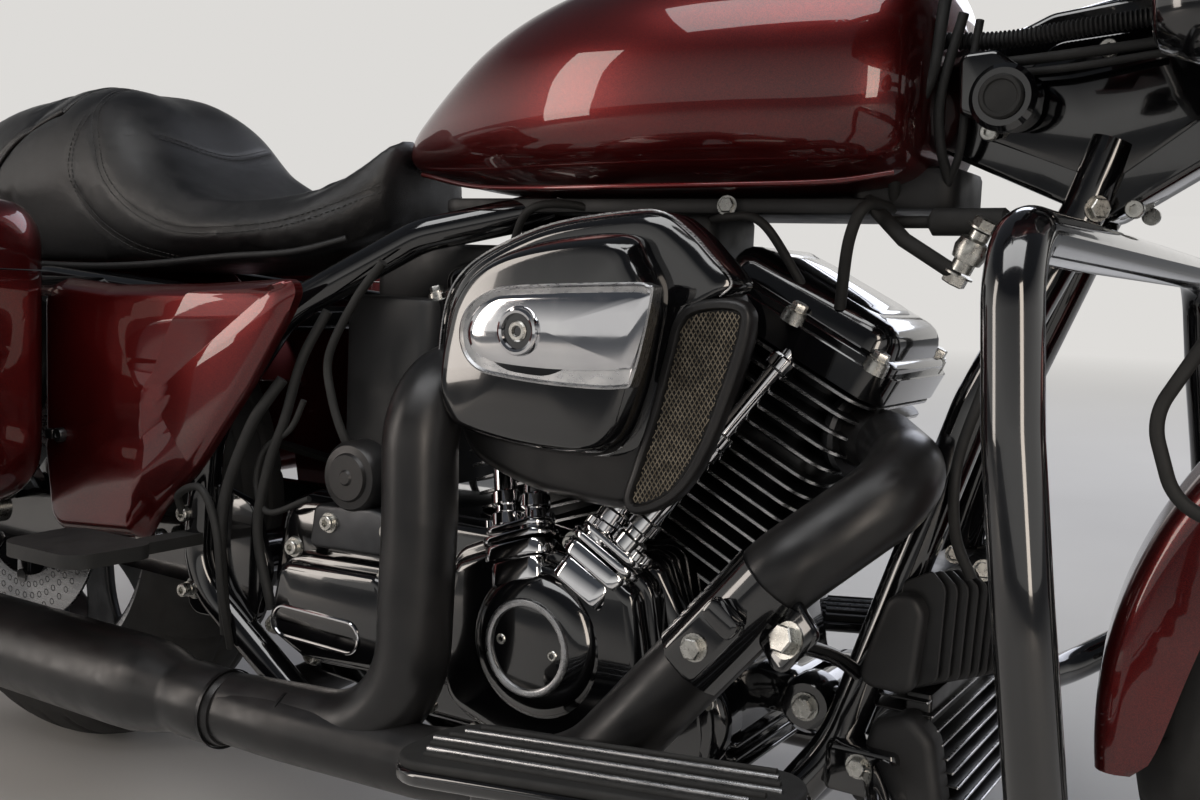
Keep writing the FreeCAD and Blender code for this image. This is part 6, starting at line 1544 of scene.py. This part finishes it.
def drilled_disc(centre):
    """Brake disc about a centre: its ring, the rims of its three rows of holes, and its carrier with arms."""
    axis, t = (0, 1, 0), DISC_HALF
    edge = t + 0.15
    holes = []
    # The holes are not cut: dark steel rings stand for them, painted shade of their bores on the bright disc
    for k in range(DISC_HOLES):
        for radius, phase in ((104, 0.0), (118, 0.33), (132, 0.66)):
            a = 2 * math.pi * (k + phase) / DISC_HOLES
            spot = centre + (radius * math.cos(a), 0, radius * math.sin(a))
            holes.append(turned([(-edge, 3.2), (-edge, 4.3), (edge, 4.3), (edge, 3.2), (-edge, 3.2)], spot,
                                axis, 8))
    ring = turned([(-t, 92), (t, 92), (t, 149), (t - 0.6, 150), (-t + 0.6, 150), (-t, 149), (-t, 92)],
                  centre, axis, 120)
    carrier = [turned([(-t, 42.5), (t, 42.5), (t + 1.5, 58), (t, 60), (-t, 60), (-t, 42.5)], centre, axis,
                      64)]
    for k in range(8):
        a = 2 * math.pi * k / 8
        d = np.array((math.cos(a), 0, math.sin(a)))
        carrier.append(brick(centre + d * 76, (40, 22, 4.4), (d, np.cross(axis, d)), 1, 3))
        carrier.append(turned([(-4, 0), (-4, 9), (4, 9), (4, 0)], centre + d * 94, axis, 20))
    return [ring], holes, carrier


for label, centre, offsets, body, node in (("front_brake", FRONT_AXLE, (-68, 68), "front_wheel",
                                            "front_discs"),
                                           ("rear_brake", REAR_AXLE, (-98,), "rear_wheel", "rear_disc")):
    discs = [drilled_disc(centre + np.array((0.0, offset, 0.0))) for offset in offsets]
    rings_all, hole_shade_rings, carriers_all = (sum(group, []) for group in zip(*discs))
    piece(label + "_ring", rings_all, "disc", [node], body)
    # Painted shade: dark rings where the drilled holes are
    piece(label + "_holes", hole_shade_rings, "dark_steel", body=body, slot="disc")
    piece(label + "_carrier", carriers_all, "gloss", body=body, slot="disc")

# Fenders


def fender_skin(centre, radius, half, start, end, skirt, wall=4.0, rows=90, crown=10.0, tip=0.16):
    """Channel turned about the axle: an arched crown that rolls into skirts, with rounded ends."""
    a = np.radians(np.linspace(start, end, rows))
    roll = 22.0
    outer = round_off([(-half, radius - skirt, 0.01), (-half, radius - crown, roll), (0, radius + 1.5, 140),
                       (half, radius - crown, roll), (half, radius - skirt, 0.01)], 12)
    middle = np.array((0, radius - 60.0))
    inner = middle + (outer - middle) * (1 - wall / 62)
    section = np.concatenate((outer, inner[::-1]), 0)
    t = np.linspace(0, 1, rows)
    near_end = np.minimum(t, 1 - t) / tip
    grow = np.where(near_end < 1, np.sqrt(np.maximum(1 - (1 - np.minimum(near_end, 1)) ** 2, 0)), 1)
    shape = np.broadcast_to(section, (rows,) + section.shape).copy()
    drop = radius - shape[..., 1]
    lower = drop > 24
    shape[..., 1] = np.where(lower, radius - 24 - (drop - 24) * (0.25 + 0.75 * grow[:, None]),
                             shape[..., 1])
    r = shape[..., 1]
    points = np.stack((r * np.sin(a)[:, None], shape[..., 0], r * np.cos(a)[:, None]), -1)
    return grid(points + centre, ring=True, caps=True)


piece("front_fender_skin", [fender_skin(FRONT_AXLE, 346, 78, -97, 73, 70)], "paint", ["front_fender"],
      "steering", sharp=50)
stay_parts = [brick((1508, sd * 88, 551), (26, 24, 90), radius=4, corner=5) for sd in (-1, 1)]
piece("front_fender_stays", stay_parts, "gloss", body="steering")
piece("rear_fender_skin", [fender_skin(REAR_AXLE, 352, 108, -112, 60, 46)], "paint", ["rear_fender"],
      sharp=50)

# Fork: sliders, covers, caps and axle clamps

FORK = math.radians(29.25)
FORK_UP = np.array((-math.sin(FORK), 0, math.cos(FORK)))


def fork_at(t, y):
    """Point of a fork leg's line at a distance above the front axle."""
    return FRONT_AXLE + FORK_UP * t + (0, y, 0)


legs, caps = [], []
for side in BOTH_SIDES:
    foot = fork_at(0, side * 115)
    legs.append(turned([(-24, 0), (-24, 26), (-20, 30), (18, 30.5), (26, 31), (366, 31), (372, 29),
                        (384, 29), (388, 31.5), (404, 31.5), (406, 27), (420, 26), (560, 26), (562, 24.5),
                        (742, 24.5), (745, 22), (745, 0)],
                       foot, FORK_UP, 44))
    legs.append(brick(foot + (0, side * 4, 0), (56, 58, 52), radius=6, corner=14))
    caps += hex_bolt(fork_at(745, side * 115), FORK_UP, 16, 6, washer=False)
    caps += socket_screw(fork_at(30, side * 115) + (26, 0, 0), (1, 0, 0), 5, 6)
    caps += socket_screw(fork_at(-14, side * 115) + (26, 0, 4), (1, 0, 0), 5, 6)
piece("fork_leg_covers", legs, "gloss", ["fork_legs"], "steering")
piece("fork_caps", caps, "zinc", body="steering")

# Headlamp: shell, bezel, reflector, lamp units and a domed lens

LAMP = np.array((1516.0, 0, 962.0))
piece("headlamp_shell", [turned([(-96, 0), (-96, 52), (-88, 70), (-40, 88), (10, 92), (14, 92), (14, 86),
                                 (-30, 80), (-60, 56), (-64, 0)], LAMP, (1, 0, 0), 80),
                         brick((1390, 0, 958), (76, 60, 18), radius=3)], "gloss", ["headlamp"], "steering",
      sharp=60)
piece("headlamp_bezel", [turned([(8, 86), (8, 92), (16, 92), (20, 89), (20, 85), (16, 82), (8, 82),
                                 (8, 86)], LAMP,
                                (1, 0, 0), 96)], "chrome", body="steering")
bowl = [turned([(-30, 24), (-24, 22), (-6, 34), (10, 40), (11, 42), (-4, 38), (-30, 24)],
               LAMP + (-18, u, w), (1, 0, 0), 40) for u, w in ((-42, 12), (42, 12), (0, -40))]
bowl.append(turned([(-34, 0), (-34, 60), (-10, 82), (10, 85), (11, 83), (-12, 78), (-32, 56), (-32, 0)],
                   LAMP, (1, 0, 0), 64))
piece("headlamp_reflector", bowl, "chrome", body="steering")
piece("headlamp_lens", [turned([(10, 84), (14, 84), (20, 74), (25, 40), (26, 0)], LAMP, (1, 0, 0), 72)],
      "clear_lens", body="steering")

# Dash inside the fairing: panel, four dials with hoods and a centre screen

dash_out = unit((-1.0, 0, 0.32))
dash_up = unit(np.cross(dash_out, (0, 1.0, 0))) * -1
panel = round_off([(-188, -46, 20), (188, -46, 20), (206, 30, 26), (120, 62, 40), (-120, 62, 40),
                   (-206, 30, 26)], 6)
dash = np.array((1352.0, 0, 1030.0))
piece("dash_panel", [slab(panel, dash, (0, -1.0, 0), dash_up, edge_levels(-10, 6, 5))], "plastic",
      body="steering")
hoods, faces, needles = [], [], []
for u, w, r in ((-62, 12, 44), (62, 12, 44), (-150, 2, 26), (150, 2, 26)):
    spot = dash + np.array((0, -u, 0)) + dash_up * w
    hoods.append(turned([(4, r), (12, r), (15, r - 2), (15, r - 4), (8, r - 6), (4, r - 6), (4, r)], spot,
                        dash_out, 56))
    faces.append(turned([(6, r - 5), (7.2, r - 6), (7.2, 0)], spot, dash_out, 48))
    for k in range(11):
        a = math.radians(-130 + 26 * k)
        d = np.array((0, -math.sin(a), 0)) + dash_up * math.cos(a)
        needles.append(brick(spot + dash_out * 7.8 + d * (r - 11), (r * 0.12, 1.4, 0.8),
                             (d, np.cross(dash_out, d)), 0.3, 0.4))
    d = np.array((0, 0.64, 0)) - dash_up * 0.77
    needles.append(brick(spot + dash_out * 8.6 + d * r * 0.32, (r * 0.7, 1.8, 0.8),
                         (d, np.cross(dash_out, d)), 0.3, 0.5))
piece("dial_hoods", hoods, "chrome", body="steering")
piece("dial_faces", faces, "gloss", body="steering")
piece("dial_marks", needles, "zinc", body="steering")

# Bars: ribbed grips, switch housings, levers and reservoirs

BAR_END = np.array((1010.0, 412.0, 1032.0))
BAR_IN = np.array((1150.0, 372.0, 1050.0))
grips, housings, levers = [], [], []
for side in BOTH_SIDES:
    flip = np.array((1, side, 1))
    end, along = BAR_END * flip, unit((BAR_IN - BAR_END) * flip)
    s = np.linspace(0, 118, 180)
    radius = 18.6 + 1.0 * np.tanh(4 * np.cos(2 * math.pi * s / 9.0)) * np.clip((s - 8) / 3, 0,
            1) * np.clip((112 - s) / 3, 0, 1)
    grips.append(grid(carried((end - along * 4) + along * s[:, None],
                              ring_of(32)[None] * radius[:, None, None]), ring=True,
                      caps=True))
    caps_at = end - along * 6
    housings.append(turned([(-1, 0), (-1, 15), (1, 19), (4, 20), (7, 19), (7, 0)], caps_at, along, 32))
    housings.append(brick(end + along * 136, (36, 42, 44), (along, unit(np.cross((0, 0, 1), along))), 6,
                          12))
    housings.append(brick(end + along * 140 + (22, 0, 18), (54, 34, 30), radius=5, corner=9))
    blade = eased([end + along * 128 + (26, 0, 2), end + along * 96 + (50, side * 4, 0),
                   end + along * 40 + (56, side * 8, -2), end + along * -4 + (46, side * 12, -2)], 26)
    width = np.interp(np.linspace(0, 1, 26), (0, 0.2, 0.9, 1), (9, 8, 7, 4))
    levers.append(grid(carried(blade, ring_of(16)[None] * np.stack((width, width * 0.55), -1)[:, None]),
                       ring=True, caps=True))
    levers += socket_screw(end + along * 130 + (28, 0, 8), (0, 0, 1), 6, 5)
piece("bar_grips", grips, "rubber", ["grips"], "steering", sharp=30)
piece("bar_controls", housings, "gloss", body="steering")
piece("bar_levers", levers, "gloss", body="steering")

# Mirror glasses, signal lamps, calipers and hose ends

glasses, shells, lenses, rear_shells, rear_lenses = [], [], [], [], []
for side in BOTH_SIDES:
    face = round_off([(side * 398, 1106, 20), (side * 484, 1113, 20), (side * 478, 1158, 20),
                      (side * 403, 1154, 20)], 6)
    glasses.append(slab(face, (1143.4, 0, 0), (0, 1, 0), (0, 0, 1), [(-1.5, 0), (0.4, 0), (0.9, 1)]))
    spot = fork_at(550, side * 263)
    shells.append(tube([fork_at(550, side * 136), fork_at(550, side * 236)], 8, 20))
    shells.append(turned([(-34, 0), (-34, 20), (-30, 26), (-10, 33.5), (22, 34), (26, 33), (26, 29),
                          (18, 29), (18, 0)],
                         spot, (1, 0, 0), 44))
    lenses.append(turned([(18, 28.6), (25, 28.6), (31, 20), (33, 0)], spot, (1, 0, 0), 36))
    rear_spot = np.array((-341.0, side * 176, 430))
    rear_shells.append(turned([(20, 0), (20, 22), (12, 29), (-14, 30), (-18, 29), (-18, 26), (-10, 26),
                               (-10, 0)], rear_spot,
                              (1, 0, 0), 40))
    rear_lenses.append(turned([(-9, 25.6), (-16, 25.6), (-19, 18), (-20, 0)], rear_spot, (1, 0, 0), 36))
rear_shells.append(tube([(-341, -158, 430), (-341, 158, 430)], 9, 20))
piece("mirror_glasses", glasses, "chrome", body="steering")
piece("front_signal_shells", shells, "gloss", ["front_signals"], "steering")
piece("front_signal_lenses", lenses, "amber_lens", body="steering")
piece("rear_signal_shells", rear_shells, "gloss", ["rear_signals"])
piece("rear_signal_lenses", rear_lenses, "amber_lens")
pistons, caliper_bolts = [], []
for side in BOTH_SIDES:
    for x, z in ((1458, 360), (1486, 404)):
        pistons.append(turned([(0, 17), (3, 17), (5, 15), (5, 8), (3.5, 7), (3.5, 0)], (x, side * 88, z),
                              (0, side, 0), 36))
    for x, z in ((1444, 420), (1496, 346), (1530, 382), (1546, 370)):
        caliper_bolts += hex_bolt((x, side * (88 if x < 1500 else 109), z), (0, side, 0), 6, 5)
caliper_bolts.append(turned([(0, 0), (0, 6.5), (14, 6.5), (16, 9), (24, 9), (24, 0)], (1464, -76, 424),
                            (0, 0, 1), 16))
piece("caliper_caps", pistons, "gloss", body="steering")
piece("caliper_bolts", caliper_bolts, "zinc", body="steering")

# Primary cover on the left with its two round covers

PRIMARY = round_off([(500, 208, 70), (972, 200, 76), (984, 372, 76), (500, 388, 70)], 12)
piece("primary_casting", [side_slab(PRIMARY, 138, 150, 3), side_slab(inset(PRIMARY, 6), 149, 212, 26)],
      "gloss", ["primary_cover"], sharp=60)
covers, cover_screws = [], []
for x, z, r in ((600, 288, 74), (880, 272, 62)):
    covers.append(turned([(-4, r), (4, r - 1), (8, r - 5), (9, r - 14), (7, r - 16), (7, r - 24),
                          (9, r - 26), (10, 0)],
                         (x, 210, z), (0, 1, 0), 72))
    for k in range(5):
        a = 2 * math.pi * k / 5 + 0.3
        cover_screws += socket_screw((x + (r - 9) * math.cos(a), 216, z + (r - 9) * math.sin(a)), (0, 1, 0),
                                     4.5, 4)
for x, z in ((520, 230), (620, 216), (740, 212), (860, 212), (956, 222), (978, 286), (952, 362), (840, 374),
             (720, 376), (560, 380)):
    cover_screws += socket_screw((x, 148, z), (0, 1, 0), 5.5, 6)
piece("primary_round_covers", covers, "gloss")
piece("primary_screws", cover_screws, "zinc")

# Shock springs

coils = []
for side in BOTH_SIDES:
    low, high = np.array((40, side * 166, REAR_Z + 44)), np.array((150, side * 152, 584))
    across, up = frame_of(high - low)
    a = np.linspace(0, 2 * math.pi * 6, 150)[:, None]
    turn = np.cos(a) * across + np.sin(a) * up
    coils.append(tube(low + (high - low) * (0.1 + 0.36 * a / a[-1]) + turn * 21.5, 3.4, 8))
piece("shock_springs", coils, "gloss")

# CAD nodes that keep their own shape take their finish here

KEEP = {
    "swingarm": "gloss", "rear_axle": "zinc", "rear_pulley": "cast",
    "air_cleaner_back": "powder", "fuel_door": "gloss", "passenger_board_right": "rubber",
    "passenger_board_left": "rubber", "front_axle": "zinc", "fork_clamps": "gloss", "handlebar": "gloss",
    "front_calipers": "gloss", "fairing": "paint", "windscreen": "screen", "mirrors": "gloss",
        "brake_hose": "rubber",
    "tail_lamp": "red_lens", "plate_bracket": "plastic", "rear_shocks": "satin",
    "side_stand": "dark_steel", "belt": "rubber",
}
soften = bpy.data.node_groups.new("soften_by_angle", "GeometryNodeTree")
soften.interface.new_socket("Geometry", in_out="INPUT", socket_type="NodeSocketGeometry")
soften.interface.new_socket("Geometry", in_out="OUTPUT", socket_type="NodeSocketGeometry")
SOFT_ANGLE = math.radians(32)
entry = add(soften, "NodeGroupInput").outputs[0]
merged = add(soften, "GeometryNodeMergeByDistance", {"Geometry": entry, "Distance": 1e-5})
angle = add(soften, "GeometryNodeInputMeshEdgeAngle").outputs["Unsigned Angle"]
flat = add(soften, "FunctionNodeCompare", {0: angle, 1: SOFT_ANGLE}, operation="LESS_EQUAL")
faces_smooth = add(soften, "GeometryNodeSetShadeSmooth", {"Geometry": merged.outputs[0]})
edges_smooth = add(soften, "GeometryNodeSetShadeSmooth",
                   {"Geometry": faces_smooth.outputs[0], "Shade Smooth": flat.outputs[0]}, domain="EDGE")
add(soften, "NodeGroupOutput", {0: edges_smooth.outputs[0]})
for name, key in KEEP.items():
    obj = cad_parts.get(name)
    if obj is None:
        continue
    obj.data.materials.clear()
    obj.data.materials.append(FINISHES[key])
    made = obj.modifiers.new("soften", "NODES")
    made.node_group = soften

# Floor, backdrop and light

ground, tree, shader, place = begin("pale_studio_floor")
cloud = spread(tree, noise(tree, place, 900, 3), 0, 1)
plug(tree, shader, {"Base Color": blend_colours(tree, cloud, "#C9C7C4", "#D2D0CD"), "Roughness": 0.75,
                    "Specular IOR Level": 0.0})
far_off = add(tree, "ShaderNodeVectorMath", {0: place}, operation="LENGTH").outputs["Value"]
seen = add(tree, "ShaderNodeLightPath").outputs["Is Camera Ray"]
HAZE_START, HAZE_FULL = 1.8, 5.0
far_off = spread(tree, far_off, 0, 1, HAZE_START, HAZE_FULL)
fade = add(tree, "ShaderNodeMath", {0: far_off, 1: seen}, operation="MULTIPLY").outputs[0]
haze = add(tree, "ShaderNodeEmission", {"Color": linear("#DEDCD9"), "Strength": 1.0})
joined = add(tree, "ShaderNodeMixShader", {0: fade, 1: shader.outputs[0], 2: haze.outputs[0]})
tree.links.new(joined.outputs[0], tree.nodes["Material Output"].inputs["Surface"])
floor_mesh = bpy.data.meshes.new("floor")
FLOOR_HALF = 60
corners = [(x * FLOOR_HALF, y * FLOOR_HALF, 0) for x, y in ((-1, -1), (1, -1), (1, 1), (-1, 1))]
floor_mesh.from_pydata(corners, [], [(0, 1, 2, 3)])
floor_mesh.materials.append(ground)
floor = bpy.data.objects.new("floor", floor_mesh)
bpy.context.collection.objects.link(floor)

world = bpy.data.worlds.new("pale_room")
bpy.context.scene.world = world
world.use_nodes = True
tree = world.node_tree
tree.nodes.clear()
seen = add(tree, "ShaderNodeLightPath").outputs
rise = add(tree, "ShaderNodeSeparateXYZ",
           {"Vector": add(tree, "ShaderNodeTexCoord").outputs["Generated"]}).outputs["Z"]
room = blend_colours(tree, spread(tree, rise, 0, 1, 0.16, 0.5), "#E2E0DD", "#4A4D52")
pale = add(tree, "ShaderNodeBackground", {"Color": room, "Strength": 0.95})
dim = add(tree, "ShaderNodeBackground", {"Color": linear("#B9BDC4"), "Strength": 0.38})
sharp_rays = seen["Is Camera Ray"]
for ray in ("Is Glossy Ray", "Is Transmission Ray"):
    sharp_rays = add(tree, "ShaderNodeMath", {0: sharp_rays, 1: seen[ray]}, operation="MAXIMUM").outputs[0]
pick = add(tree, "ShaderNodeMixShader", {0: sharp_rays, 1: dim.outputs[0], 2: pale.outputs[0]})
add(tree, "ShaderNodeOutputWorld", {"Surface": pick.outputs[0]})


def softbox(name, place, target, width, height, power, tint="#FFFFFF"):
    """Rectangular studio lamp that faces a point."""
    data = bpy.data.lights.new(name, "AREA")
    data.shape = "RECTANGLE"
    data.size, data.size_y = width, height
    data.energy = power
    data.color = linear(tint)[:3]
    made = bpy.data.objects.new(name, data)
    bpy.context.collection.objects.link(made)
    made.location = place
    made.rotation_euler = (Vector(target) - Vector(place)).to_track_quat("-Z", "Y").to_euler()


softbox("key_over", (0.4, -1.2, 3.4), (0.1, 0, 0.5), 3.4, 1.6, 70)
softbox("side_strip", (2.8, -2.6, 1.7), (0.2, 0, 0.6), 0.7, 2.6, 42, "#FFF1E2")
softbox("rear_strip", (-2.6, -2.4, 1.5), (0, 0, 0.5), 0.8, 2.4, 34, "#FFF4EA")
softbox("far_fill", (0.5, 3.2, 2.2), (0, 0, 0.6), 3.0, 1.6, 45, "#EEF2FF")
